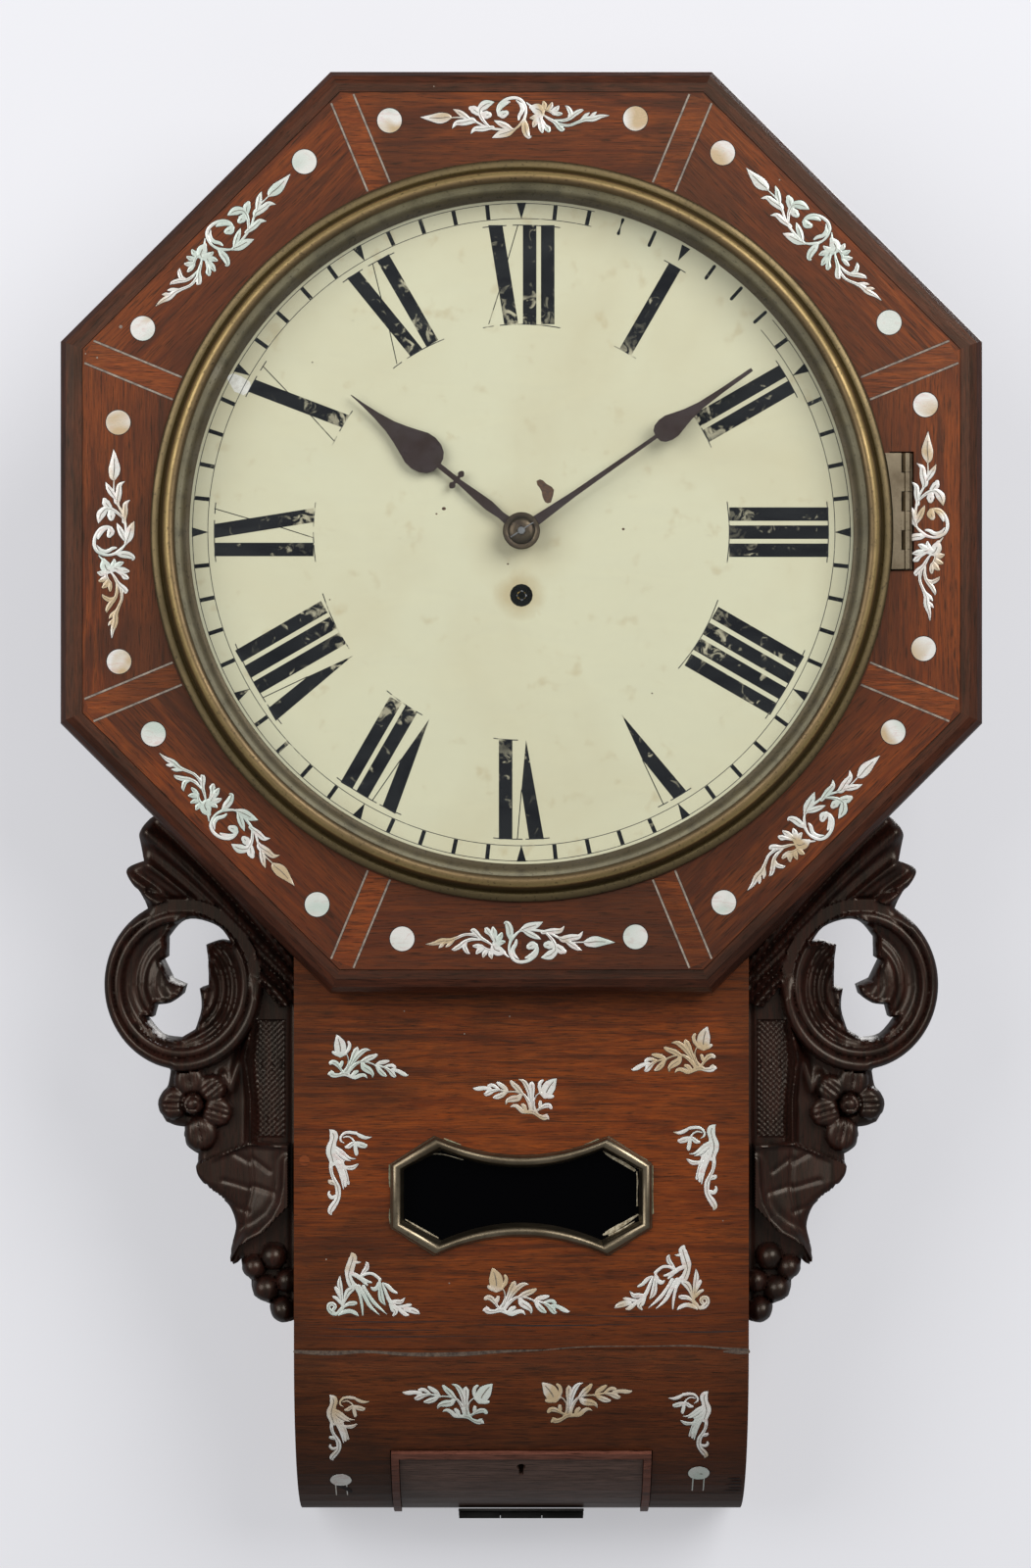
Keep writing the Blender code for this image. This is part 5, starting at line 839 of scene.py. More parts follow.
BIRD_IN_LEAVES = in_millimetres((
    ((-17, 147, 6), (-9, 128, 34), (-14, 106, 38), (-22, 81, 41), (-28, 59, 41), (-31, 41, 28),
     (-25, 19, 31), (-16, -3, 31)),
    ((3, 103, 13), (16, 102, 9), (27, 103, 2)),
    ((-25, 53, 19), (6, 41, 19), (41, 19, 19), (78, 8, 6)),
    ((13, 34, 9), (38, 13, 13), (56, -3, 8)),
    ((-28, 38, 16), (-13, 9, 19), (6, -6, 13)),
    ((25, 41, 6), (38, 56, 16), (53, 75, 22), (56, 94, 16), (49, 105, 2)),
    ((28, 38, 13), (56, 50, 13), (81, 49, 13), (103, 34, 13), (116, 22, 13)),
    ((106, 6, 8), (103, -13, 19), (88, -22, 19), (72, -13, 6)),
    ((113, 16, 11), (116, -13, 16), (119, -44, 25), (125, -72, 25), (141, -97, 3)),
    ((125, 6, 6), (138, -25, 13), (153, -63, 16), (166, -85, 19)),
    ((127, 9, 3), (150, -6, 16), (172, -28, 16), (194, -40, 8)),
    ((169, -85, 19), (191, -81, 22), (213, -81, 19), (228, -66, 6), (231, -61, 2)),
    ((166, -94, 19), (178, -113, 31), (188, -128, 22), (175, -147, 6)),
    ((182, -97, 9), (213, -122, 19), (232, -138, 19), (246, -142, 9)),
    ((197, -103, 9), (222, -103, 16), (247, -97, 16), (258, -95, 9)),
    ((232, -116, 19), (260, -119, 28), (285, -128, 22), (300, -138, 2)),
    ((0, -9, 16), (19, -44, 13), (31, -91, 13), (36, -144, 5)),
    ((16, -9, 19), (41, -50, 19), (69, -100, 16), (113, -142, 2)),
    ((38, -9, 16), (63, -50, 14), (94, -91, 16), (147, -138, 2)),
    ((-59, -106, 8), (-63, -75, 16), (-66, -28, 19), (-72, 6, 22), (-69, 41, 2)),
    ((-88, -9, 5), (-88, -19, 16), (-75, -44, 16), (-69, -63, 9)),
    ((-99, -58, 13), (-85, -66, 16), (-69, -85, 13)),
    ((-55, -100, 5), (-45, -63, 19), (-31, -34, 31), (-13, -22, 22)),
    ((-53, -106, 8), (-31, -91, 19), (-9, -88, 22), (2, -87, 16)),
    ((-85, -135, 8), (-72, -125, 19), (-56, -106, 16)),
    ((-78, -144, 6), (-50, -128, 19), (-22, -124, 19), (3, -135, 16), (16, -147, 2)),
    ((-88, -138, 16), (-106, -131, 22), (-122, -113, 19), (-119, -94, 19), (-103, -91, 19),
     (-92, -103, 16), (-100, -116, 16)),
))


@dataclass(frozen=True)
class FlatFace:
    """A flat front at one depth."""

    level: float

    def at(self, x: float, z: float, lift: float) -> Vector:
        """Return the point over (x, z) that is lifted off the front.

        Args:
            x: place across, in metres.
            z: height, in metres.
            lift: distance off the surface, in metres.

        Returns:
            The point in metres.
        """
        return Vector((x, self.level - lift, z))


@dataclass(frozen=True)
class RolledFace(FlatFace):
    """A front that is flat down to a height, and then rolls back round the foot."""

    top: float
    radius: float

    def at(self, x: float, z: float, lift: float) -> Vector:
        """Return the point over (x, z) that is lifted off the front, round the foot too.

        Args:
            x: place across, in metres.
            z: height, in metres, which below the top counts along the curve.
            lift: distance off the surface, in metres.

        Returns:
            The point in metres.
        """
        if z >= self.top:
            return super().at(x, z, lift)
        angle = (self.top - z) / self.radius
        reach = self.radius + lift
        return Vector((x, self.level + self.radius - reach * math.cos(angle),
                       self.top - reach * math.sin(angle)))


@dataclass(frozen=True)
class Place:
    """Where an ornament goes: millimetres, degrees clockwise, its size, whether it is mirrored."""

    x: float = 0.0
    z: float = 0.0
    turn: float = 0.0
    size: float = 1.0
    mirrored: bool = False

    def put(self, x: float, z: float) -> Point:
        """Return a point of the ornament in the plane of the face.

        Args:
            x: place across the ornament, in millimetres.
            z: place up the ornament, in millimetres.

        Returns:
            The place across and the height, in metres.
        """
        if self.mirrored:
            x = -x
        angle = math.radians(-self.turn)
        across = x * math.cos(angle) - z * math.sin(angle)
        up = x * math.sin(angle) + z * math.cos(angle)
        return (self.x + self.size * across) * MM, (self.z + self.size * up) * MM


@dataclass(frozen=True)
class Section:
    """The section of a raised stroke: shares of its half width, and heights in millimetres."""

    shares: tuple[float, ...]
    heights: tuple[float, ...]


# How far the edge of a raised piece reaches under its face, in millimetres.
SUNK = 0.01
DOMED = Section((-1.0, -0.8, 0.0, 0.8, 1.0), (-SUNK, 0.07, 0.12, 0.07, -SUNK))
FLAT = Section((-1.0, 1.0), (0.02, 0.02))
INKED = Section((-1.0, -0.97, 0.97, 1.0), (-SUNK, 0.04, 0.04, -SUNK))
HERE = Place()
# The half round at a broad end of a stroke: how far out, and the share of the width there.
ROUND_END = ((0.25, 0.86), (0.42, 0.5), (0.5, 0.1))


def curved(row: Sequence[Vector], share: float) -> Vector:
    """Return a point of the smooth curve between the middle two of four points.

    Args:
        row: the four points.
        share: how far between the middle two it lies, from 0 to 1.

    Returns:
        The point.
    """
    before, first, second, after = row
    return 0.5 * (2 * first + (second - before) * share
                  + (2 * before - 5 * first + 4 * second - after) * share ** 2
                  + (3 * first - before - 3 * second + after) * share ** 3)


def through(spots: Sequence[Spot], steps: int = 5) -> list[Vector]:
    """Return a smooth row of (x, z, width) through the given ones.

    Args:
        spots: the rows to pass through.
        steps: how many parts each gap is cut into.

    Returns:
        The smooth row.
    """
    rows = [Vector(spot) for spot in spots]
    if len(rows) < 3:
        return rows
    result = []
    for k in range(len(rows) - 1):
        near = (rows[max(k - 1, 0)], rows[k], rows[k + 1], rows[min(k + 2, len(rows) - 1)])
        result += [curved(near, step / steps) for step in range(steps)]
    return [*result, rows[-1]]


def rounded_ends(row: list[Vector], least: float = 0.7) -> list[Vector]:
    """Return a row of (x, z, width) with half rounds added where it ends broad.

    Args:
        row: the centre line with its widths.
        least: the width from which an end is rounded.

    Returns:
        The longer row.
    """
    result = list(row)
    for end, inner in ((0, 1), (-1, -2)):
        spot, next_spot = row[end], row[inner]
        out = (spot - next_spot).to_2d()
        if spot.z < least or out.length == 0.0:
            continue
        out.normalize()
        extra = [Vector((spot.x + out.x * reach * spot.z, spot.y + out.y * reach * spot.z,
                         spot.z * share)) for reach, share in ROUND_END]
        result = extra[::-1] + result if end == 0 else result + extra
    return result


def add_rings(work: Mesh, rings: Sequence[Sequence[Vector | Spot]], closed: bool = True,
              looped: bool = False) -> list[list[bmesh.types.BMVert]]:
    """Add the faces between rows of points.

    Args:
        work: the mesh to add to.
        rings: the rows, with the same number of points in each.
        closed: whether each row's last point joins its first.
        looped: whether the last row joins the first.

    Returns:
        The corners of each row.
    """
    rows = [[work.verts.new(point) for point in ring] for ring in rings]
    for first, second in zip(rows, rows[1:] + rows[:1] if looped else rows[1:]):
        for k in range(0 if closed else 1, len(first)):
            work.faces.new((first[k - 1], first[k], second[k], second[k - 1]))
    return rows


def add_stroke(work: Mesh, spots: Sequence[Spot], face: FlatFace, place: Place = HERE,
               section: Section = DOMED, grow: float = 0.0, lift: float = 0.0,
               square: bool = False, steps: int = 5) -> None:
    """Add one raised stroke that lies on a face.

    Args:
        work: the mesh to add to.
        spots: rows of (x, z, width) in millimetres.
        face: what it lies on.
        place: where its origin goes.
        section: its cross-section.
        grow: millimetres added to the width.
        lift: millimetres added to the height.
        square: whether its ends stay square.
        steps: how many parts each gap is cut into.
    """
    row = through(spots, steps)
    row = row if square else rounded_ends(row)
    rings = []
    for k, spot in enumerate(row):
        run = (row[min(k + 1, len(row) - 1)] - row[max(k - 1, 0)]).to_2d()
        run = run.normalized() if run.length else Vector((1.0, 0.0))
        half = max(spot.z, 0.05) / 2 + grow / 2
        ring = []
        for share, height in zip(section.shares, section.heights):
            x, z = place.put(spot.x - run.y * share * half, spot.y + run.x * share * half)
            ring.append(face.at(x, z, (height + lift) * MM))
        rings.append(ring)
    add_rings(work, rings, closed=False)


def add_plate(work: Mesh, outline: Outline, face: FlatFace, height: float,
              place: Place = HERE) -> None:
    """Add one flat raised piece with upright edges.

    Args:
        work: the mesh to add to.
        outline: its corners in millimetres.
        face: what it lies on.
        height: its height in millimetres.
        place: where its origin goes.
    """
    spots = [place.put(x, z) for x, z in outline]
    low = [work.verts.new(face.at(x, z, -SUNK * MM)) for x, z in spots]
    high = [work.verts.new(face.at(x, z, height * MM)) for x, z in spots]
    work.faces.new(high)
    for k in range(len(spots)):
        work.faces.new((low[k - 1], low[k], high[k], high[k - 1]))


def ring_outline(radius: float, count: int, x: float = 0.0, z: float = 0.0,
                 squash: float = 1.0) -> Outline:
    """Return the corners of a round or an ellipse.

    Args:
        radius: its half width.
        count: how many corners it has.
        x: its centre's place across.
        z: its centre's height.
        squash: its height as a share of its width.

    Returns:
        The corners, in the units of the radius.
    """
    return [(x + radius * math.cos(math.tau * k / count),
             z + squash * radius * math.sin(math.tau * k / count)) for k in range(count)]


def arc_spots(radius: float, start: float, end: float, width: float, count: int) -> list[Spot]:
    """Return a stroke along an arc about the dial's centre.

    Args:
        radius: the arc's radius.
        start: where it starts, in degrees clockwise from the top.
        end: where it ends.
        width: the stroke's width.
        count: how many parts the arc is cut into.

    Returns:
        Rows of (x, z, width).
    """
    spots = []
    for k in range(count + 1):
        angle = math.radians(start + (end - start) * k / count)
        spots.append((radius * math.sin(angle), radius * math.cos(angle), width))
    return spots


def make_piece(name: str, work: Mesh, finish: Finish, slot: Slot, body: Body = Body.CASE,
               smooth: bool = False, sharp: float = 38.0) -> bpy.types.Object:
    """Turn a mesh into a named piece that rides on a body.

    Args:
        name: the piece's name.
        work: its mesh, which is used up.
        finish: its finish.
        slot: the record's material slot that it belongs to; it is not used.
        body: the CAD body that it rides on.
        smooth: whether it is shaded smooth, with its sharp edges kept.
        sharp: the angle in degrees from which an edge is sharp.

    Returns:
        The new object.
    """
    bmesh.ops.recalc_face_normals(work, faces=work.faces)
    mesh = bpy.data.meshes.new(name)
    work.to_mesh(mesh)
    work.free()
    if smooth:
        mesh.shade_smooth()
        mesh.set_sharp_from_angle(angle=math.radians(sharp))
    mesh.materials.append(finish.material())
    piece = bpy.data.objects.new(name, mesh)
    bpy.context.collection.objects.link(piece)
    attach(piece, body.value)
    LOG.info("%s rides on %s, with the finish %s", name, body.value, finish.name)
    return piece


@dataclass(frozen=True)
class Assembly:
    """A sub-assembly, with the clock's finishes and its CAD nodes by name."""

    finishes: Finishes
    nodes: Nodes

    def dress(self, finish: Finish, *names: str) -> None:
        """Give CAD nodes a finish.

        Args:
            finish: the finish.
            *names: which nodes get it.
        """
        for name in names:
            for slot in self.nodes[name].material_slots:
                slot.material = finish.material()
            LOG.info("%s has the finish %s", name, finish.name)


@dataclass(frozen=True)
class Inlay:
    """Mother-of-pearl ornament let into one face, with the dark filler round it.

    Sizes are in millimetres. Each stroke lies a little above the one before it, and that starts
    again after nine, so that no two that cross are level.
    """

    name: str
    face: FlatFace
    ornaments: tuple[tuple[Strokes, Place], ...]
    discs: tuple[Spot, ...]
    edge: float = 0.42
    disc_edge: float = 0.35
    engraved: float = 2.1
    levels: int = 9
    pearl_step: float = 0.006
    filler_step: float = 0.0015

    def build(self, finishes: Finishes) -> None:
        """Make the pearl, the engraved lines on its broad strokes, and the filler.

        Args:
            finishes: the clock's finishes.
        """
        pearl, filler, cuts = bmesh.new(), bmesh.new(), bmesh.new()
        strokes = [(stroke, place) for ornament, place in self.ornaments for stroke in ornament]
        for count, (stroke, place) in enumerate(strokes):
            level = count % self.levels
            lift = self.pearl_step * level
            add_stroke(pearl, stroke, self.face, place, lift=lift)
            add_stroke(filler, stroke, self.face, place, FLAT, self.edge, self.filler_step * level)
            if max(width for _, _, width in stroke) >= self.engraved:
                cut = [(x, z, 0.05 + 0.07 * width) for x, z, width in stroke[1:]]
                add_stroke(cuts, cut, self.face, place, INKED, lift=lift + 0.16)
        for x, z, radius in self.discs:
            add_plate(pearl, ring_outline(radius, 28, x, z), self.face, 0.10)
            add_plate(filler, ring_outline(radius + self.disc_edge, 28, x, z), self.face, 0.03)
        for part, work, finish, slot in (("pearl", pearl, finishes.pearl, Slot.ROSEWOOD),
                                         ("engraving", cuts, finishes.engraved, Slot.DARK_WOOD),
                                         ("filler", filler, finishes.line, Slot.DARK_WOOD)):
            make_piece(f"{self.name}_{part}", work, finish, slot, smooth=True)


@dataclass(frozen=True)
class Glyph:
    """One letter of a numeral: x in millimetres from its left edge, z as a share of its height.

    thick is the broad stroke, and hairs are the thin ones, from their lower to their upper end.
    stops says where the serif lines of the letter before it end, at the head and at the foot, and
    is left out where they run on. serifs are its own, as (from, to, whether at the head), and
    opens says where the lines to the next letter start.
    """

    width: float
    thick: tuple[Point, ...]
    hairs: tuple[tuple[Point, Point], ...] = ()
    stops: Point | None = None
    serifs: tuple[tuple[float, float, bool], ...] = ()
    opens: tuple[float | None, float | None] = (None, None)


GLYPHS = {
    "I": Glyph(6.2, ((0.0, 0.0), (6.2, 0.0), (6.2, 1.0), (0.0, 1.0))),
    "V": Glyph(12.4, ((0.0, 1.0), (8.2, 0.0), (10.3, 0.5), (6.8, 1.0)),
               (((10.3, 0.5), (12.19, 1.0)),), (-2.1, -0.7), ((-2.6, 8.4, True),), (9.8, None)),
    "X": Glyph(13.8, ((0.0, 1.0), (7.3, 0.0), (13.8, 0.0), (6.5, 1.0)),
               (((0.2, 0.0), (5.1, 0.34)), ((8.8, 0.64), (13.59, 1.0))), (-0.8, -3.0),
               ((-2.6, 8.3, True), (-2.4, 2.6, False)), (11.2, 5.3)),
}


@dataclass(frozen=True)
class Numeral:
    """A Roman numeral, read clockwise, with its feet to the centre. Sizes in millimetres."""

    text: str
    height: float = 45.5
    gap: float = 2.1
    hair: float = 0.42
    serif: float = 2.6

    def starts(self) -> list[tuple[Glyph, float]]:
        """Lay the letters side by side.

        Returns:
            Each letter with its left edge, the whole numeral centred on 0.
        """
        glyphs = [GLYPHS[letter] for letter in self.text]
        left = -(sum(glyph.width for glyph in glyphs) + self.gap * (len(glyphs) - 1)) / 2
        result = []
        for glyph in glyphs:
            result.append((glyph, left))
            left += glyph.width + self.gap
        return result

    def plates(self) -> list[Outline]:
        """Draw the letters.

        Returns:
            The thick strokes and the hairlines, with z from the foot.
        """
        half = self.hair / 2
        result = []
        for glyph, left in self.starts():
            shapes = [glyph.thick]
            shapes += [((x0 - half, z0), (x0 + half, z0), (x1 + half, z1), (x1 - half, z1))
                       for (x0, z0), (x1, z1) in glyph.hairs]
            result += [[(left + x, z * self.height) for x, z in shape] for shape in shapes]
        return result

    def serifs(self) -> list[tuple[float, float, bool]]:
        """Draw the serif lines, which run on from stroke to stroke.

        Returns:
            The lines, as (from, to, whether at the head).
        """
        result = []
        head, foot, end = None, None, 0.0
        for glyph, left in self.starts():
            end = left + glyph.width + self.serif
            if glyph.stops is None:
                head = left - self.serif if head is None else head
                foot = left - self.serif if foot is None else foot
                continue
            if head is not None:
                result += [(head, left + glyph.stops[0], True),
                           (foot, left + glyph.stops[1], False)]
            result += [(left + start, left + stop, at_head)
                       for start, stop, at_head in glyph.serifs]
            head, foot = (None if start is None else left + start for start in glyph.opens)
        for start, at_head in ((head, True), (foot, False)):
            if start is not None:
                result.append((start, end, at_head))
        return result


@dataclass(frozen=True)
class Dial(Assembly):
    """The painted dial: numerals, minute ring, winding hole, wear and stains.

    Sizes are in millimetres, but for the level of its front. The minutes from worn_from to worn_to
    have lost the lines of the minute ring.
    """

    front: float
    foot: float = 95.5
    ring_inner: float = 144.0
    ring_outer: float = 151.0
    line: float = 0.32
    serif_line: float = 0.45
    tick: float = 1.9
    worn_share: float = 0.82
    thinnest: tuple[int, float] = (3, 0.45)
    five_minute_mark: float = 2.2
    worn_from: float = 2.15
    worn_to: float = 8.3
    winding_height: float = -29.0
    winding_hole: float = 5.25
    hole_depth: float = 1.8
    arbor_radius: float = 2.1
    square_radius: float = 2.5
    numerals: tuple[str, ...] = ("XII", "I", "II", "III", "IIII", "V", "VI", "VII", "VIII", "IX",
                                 "X", "XI")
    chip: tuple[Point, ...] = (
        (6.9, 23.5), (8.5, 24.3), (9.9, 23.8), (11.5, 22.2), (14.0, 20.8), (15.0, 19.4),
        (14.6, 16.9), (14.0, 15.0), (13.6, 13.7), (12.2, 13.2), (11.0, 13.7), (10.2, 15.0),
        (9.6, 16.6), (9.3, 18.7), (8.3, 20.5), (7.3, 21.7))
    marks: tuple[Spot, ...] = (
        (-35.6, 10.8, 1.0), (-39.0, 8.4, 0.5), (46.8, 1.4, 0.7), (-6.2, -14.6, 0.5),
        (-88.0, -31.0, 0.4), (60.0, -74.0, 0.4), (-96.0, 78.0, 0.4))
    patch: tuple[Point, ...] = (
        (-135.6, 71.4), (-131.8, 64.6), (-127.6, 62.9), (-124.0, 65.2), (-124.6, 69.0),
        (-128.6, 71.6), (-132.4, 73.0))

    def build(self) -> None:
        """Paint the dial and lay everything that is drawn on it."""
        self.dress(self.finishes.dial, "dial")
        self.build_numerals()
        self.build_ring()
        self.build_wear()
        self.build_winding_hole()

    @property
    def face(self) -> FlatFace:
        """Return the dial's front."""
        return FlatFace(self.front)

    def build_numerals(self) -> None:
        """Lay the twelve numerals."""
        thick, thin = bmesh.new(), bmesh.new()
        for hour, text in enumerate(self.numerals):
            numeral = Numeral(text)
            place = Place(turn=30.0 * hour)
            for outline in numeral.plates():
                add_plate(thick, [(x, z + self.foot) for x, z in outline], self.face, 0.05, place)
            for start, end, at_head in numeral.serifs():
                radius = self.foot + (numeral.height if at_head else 0.0)
                across = [start + (end - start) * k / 4 for k in range(5)]
                spots = [(x, math.sqrt(radius ** 2 - x ** 2), self.serif_line) for x in across]
                add_stroke(thin, spots, self.face, place, INKED, lift=0.012, steps=2)
        make_piece("dial_numerals", thick, self.finishes.ink, Slot.DIAL_PAINT)
        make_piece("dial_serifs", thin, self.finishes.thin_ink, Slot.DIAL_PAINT)

    def build_ring(self) -> None:
        """Lay the minute ring."""
        lines, ticks = bmesh.new(), bmesh.new()
        for radius in (self.ring_inner, self.ring_outer):
            spots = arc_spots(radius, 6 * self.worn_to, 360 + 6 * self.worn_from, self.line, 180)
            add_stroke(lines, spots, self.face, HERE, INKED, steps=1)
        half, reach = self.five_minute_mark, 0.3
        mark = [(-half, self.ring_outer + reach), (0.0, self.ring_inner - reach),
                (half, self.ring_outer + reach)]
        middle = (self.ring_inner + self.ring_outer) / 2
        radii = (self.ring_inner + 0.2, middle, self.ring_outer - 0.2)
        for minute in range(60):
            place = Place(turn=6.0 * minute)
            if minute % 5 == 0:
                add_plate(ticks, mark, self.face, 0.045, place)
                continue
            worn = self.worn_from < minute < self.worn_to
            width = self.tick * (self.worn_share if worn else 1.0)
            waist = self.thinnest[1] if minute == self.thinnest[0] else width
            spots = [(0.0, radius, share) for radius, share in zip(radii, (width, waist, width))]
            add_stroke(ticks, spots, self.face, place, INKED, square=not worn, steps=3)
        make_piece("dial_minute_lines", lines, self.finishes.thin_ink, Slot.DIAL_PAINT)
        make_piece("dial_minute_ticks", ticks, self.finishes.ink, Slot.DIAL_PAINT)

    def build_wear(self) -> None:
        """Add the chip, the small marks and the repainted patch."""
        chips, patch = bmesh.new(), bmesh.new()
        add_plate(chips, list(self.chip), self.face, 0.02)
        for x, z, radius in self.marks:
            add_plate(chips, ring_outline(radius, 9, x, z, 0.8), self.face, 0.02)
        add_plate(patch, list(self.patch), self.face, 0.03)
        make_piece("dial_chips", chips, self.finishes.chip, Slot.DIAL_PAINT)
        make_piece("dial_repainted_patch", patch, self.finishes.repaint, Slot.DIAL_PAINT)

    def build_winding_hole(self) -> None:
        """Line the winding hole with shade and add the end of the winding square."""
        shade, square = bmesh.new(), bmesh.new()
        # The near-black lining of the hole is painted shade.
        depth = self.front + self.hole_depth * MM
        wall = [(self.winding_hole, self.front), (self.winding_hole, depth),
                (self.arbor_radius, depth)]
        add_lathe(shade, wall, 40, self.winding_height)
        corners = ring_outline(self.square_radius, 4, 0.2, self.winding_height)
        add_plate(square, corners, FlatFace(depth - 0.2 * MM), 0.5)
        make_piece("winding_square", square, self.finishes.steel, Slot.POLISHED_STEEL,
                   Body.WINDING_FUSEE)
        make_piece("winding_hole_shade", shade, self.finishes.hollow, Slot.DARK_WOOD, smooth=True)


def add_lathe(work: Mesh, profile: Sequence[Point], count: int, height: float = 0.0,
              looped: bool = False) -> None:
    """Add a surface turned about an axis that runs straight back.

    Args:
        work: the mesh to add to.
        profile: rows of (radius in millimetres, y in metres).
        count: how many parts the round has.
        height: the axis's height, in millimetres over the dial's centre.
        looped: whether the profile is a closed loop.
    """
    turns = [math.tau * k / count for k in range(count)]
    rings = [[(radius * math.sin(turn) * MM, level, (height + radius * math.cos(turn)) * MM)
              for turn in turns] for radius, level in profile]
    add_rings(work, rings, looped=looped)


def away(line: Sequence[Point], across: Grid, up: Grid) -> Grid:
    """Return the distance of each place to a line of several points.

    Args:
        line: the line's points.
        across: the places' first coordinates.
        up: the places' second coordinates.

    Returns:
        The distances.
    """
    least = np.full(across.shape, 1e9)
    for (x0, z0), (x1, z1) in zip(line, line[1:]):
        dx, dz = x1 - x0, z1 - z0
        share = ((across - x0) * dx + (up - z0) * dz) / (dx * dx + dz * dz)
        share = np.clip(share, 0.0, 1.0)
        least = np.minimum(least, np.hypot(across - x0 - share * dx, up - z0 - share * dz))
    return least


def within(loop: Sequence[Point], across: Grid, up: Grid) -> Grid:
    """Return which places lie inside a closed line.

    Args:
        loop: the corners of the closed line.
        across: the places' first coordinates.
        up: the places' second coordinates.

    Returns:
        True for each place inside.
    """
    odd = np.zeros(across.shape, dtype=bool)
    for k, (x1, z1) in enumerate(loop):
        x0, z0 = loop[k - 1]
        if z0 == z1:
            continue
        crosses = ((z0 > up) != (z1 > up)) & (across < x0 + (x1 - x0) * (up - z0) / (z1 - z0))
        odd ^= crosses
    return odd


def hump(distance: Grid, width: float) -> Grid:
    """Return 1 at no distance, falling softly to 0 past a width."""
    return np.exp(-(distance / width) ** 2)


def dome(share: Grid) -> Grid:
    """Return the height of a half round over each share of its radius, and 0 past it."""
    return np.sqrt(np.maximum(1.0 - share ** 2, 0.0))


@dataclass(frozen=True)
class Bezel(Assembly):
    """The bezel in fine turned sections: ring, glass, sight ring and hinge.

    The levels are in metres and the rest in millimetres. The flange is rows of radius and distance
    in front of the back, and the bead is its radius and its half width.
    """

    back: float
    front: float
    dial_level: float
    count: int = 240
    flange: tuple[Point, ...] = (
        (169.5, 0.0), (169.5, 1.3), (169.2, 1.9), (168.4, 2.3), (166.2, 2.7), (165.7, 2.5),
        (165.2, 2.1), (164.6, 2.6), (164.0, 5.0), (163.3, 9.0))
    bead: Point = (160.1, 2.7)
    bead_parts: int = 14
    inner_radius: float = 157.7
    rebate_radius: float = 160.5
    rebate_depth: float = 0.6
    sight_radii: Point = (160.1, 152.8)
    sight_parts: int = 8
    sight_hollow: float = 1.7
    sight_back: tuple[Point, ...] = ((152.4, 0.6), (152.4, 0.0), (153.6, 0.0))
    sight_shoulder: Point = (159.9, 2.2)
    dial_gap: float = 0.3

    def ring_profile(self) -> Outline:
        """Draw the section of the ring, from its outer edge round to its inner side.

        Returns:
            Rows of (radius in millimetres, y in metres).
        """
        radius, half = self.bead
        level = self.front + half * MM
        turns = [math.pi * k / self.bead_parts for k in range(self.bead_parts + 1)]
        inner = level + self.rebate_depth * MM
        return [*((row, self.back - rise * MM) for row, rise in self.flange),
                *((radius + half * math.cos(turn), level - half * MM * math.sin(turn))
                  for turn in turns),
                (self.inner_radius, inner), (self.rebate_radius, inner),
                (self.rebate_radius, self.back)]

    def sight_profile(self, front: float) -> Outline:
        """Return the section of the sight ring, hollow towards the dial.

        Args:
            front: the level of its edge behind the glass, in metres.

        Returns:
            Rows of (radius in millimetres, y in metres).
        """
        foot = self.dial_level - self.dial_gap * MM
        lip = foot - MM
        outer, inner = self.sight_radii
        shares = [k / self.sight_parts for k in range(self.sight_parts + 1)]
        return [*((outer + (inner - outer) * share,
                   lip + (front + MM - foot) * (1.0 - share) ** self.sight_hollow)
                  for share in shares),
                *((radius, foot - rise * MM) for radius, rise in self.sight_back),
                (self.sight_shoulder[0], front + self.sight_shoulder[1] * MM)]

    def build(self) -> None:
        """Replace the two rings by fine ones and dress the glass and the hinge."""
        sight = self.sight_profile(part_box("sight_ring")[0].y)
        for name, node, profile, finish in (
                ("turned_bezel_ring", "bezel_ring", self.ring_profile(), self.finishes.bezel),
                ("turned_sight_ring", "sight_ring", sight, self.finishes.sight)):
            work = bmesh.new()
            add_lathe(work, profile, self.count, looped=True)
            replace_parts(make_piece(name, work, finish, Slot.AGED_BRASS, Body.BEZEL, True), node)
        self.dress(self.finishes.glass, "dial_glass")
        self.dress(self.finishes.window, "bezel_hinge_case_leaf", "bezel_hinge_leaf")


@dataclass(frozen=True)
class Hands(Assembly):
    """The blued hands, with their collet and its cross pin.

    The level of the collet's front is in metres. The profiles are rows of radius and distance
    behind that front, in millimetres, and the pin is rows of (x, z, width).
    """

    level: float
    collet: tuple[Point, ...] = (
        (8.5, 2.4), (8.5, 2.0), (8.1, 1.6), (6.4, 1.5), (6.1, 1.7), (5.9, 1.4), (5.6, 0.8),
        (4.8, 0.3), (3.4, 0.1), (1.5, 0.0))
    arbor_end: tuple[Point, ...] = ((1.9, 0.0), (1.9, -0.5), (1.6, -0.9), (0.9, -0.9), (0.8, -0.2))
    pin: tuple[Spot, ...] = ((-4.9, -3.1, 0.7), (0.0, 0.1, 0.6), (5.4, 3.6, 0.4))
    pin_lift: float = 0.6

    def build(self) -> None:
        """Dress the hands and make the collet, the arbor's end and the pin."""
        self.dress(self.finishes.blued, "hour_hand", "minute_hand")
        work = bmesh.new()
        add_lathe(work, [(radius, self.level + back * MM) for radius, back in self.collet], 64)
        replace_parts(make_piece("domed_collet", work, self.finishes.collet, Slot.BLUED_STEEL,
                               Body.CENTRE, True), "hand_collet")
        work = bmesh.new()
        add_stroke(work, self.pin, FlatFace(self.level - self.pin_lift * MM))
        add_lathe(work, [(radius, self.level + back * MM) for radius, back in self.arbor_end], 32)
        make_piece("cross_pin", work, self.finishes.steel, Slot.POLISHED_STEEL, Body.CENTRE, True)


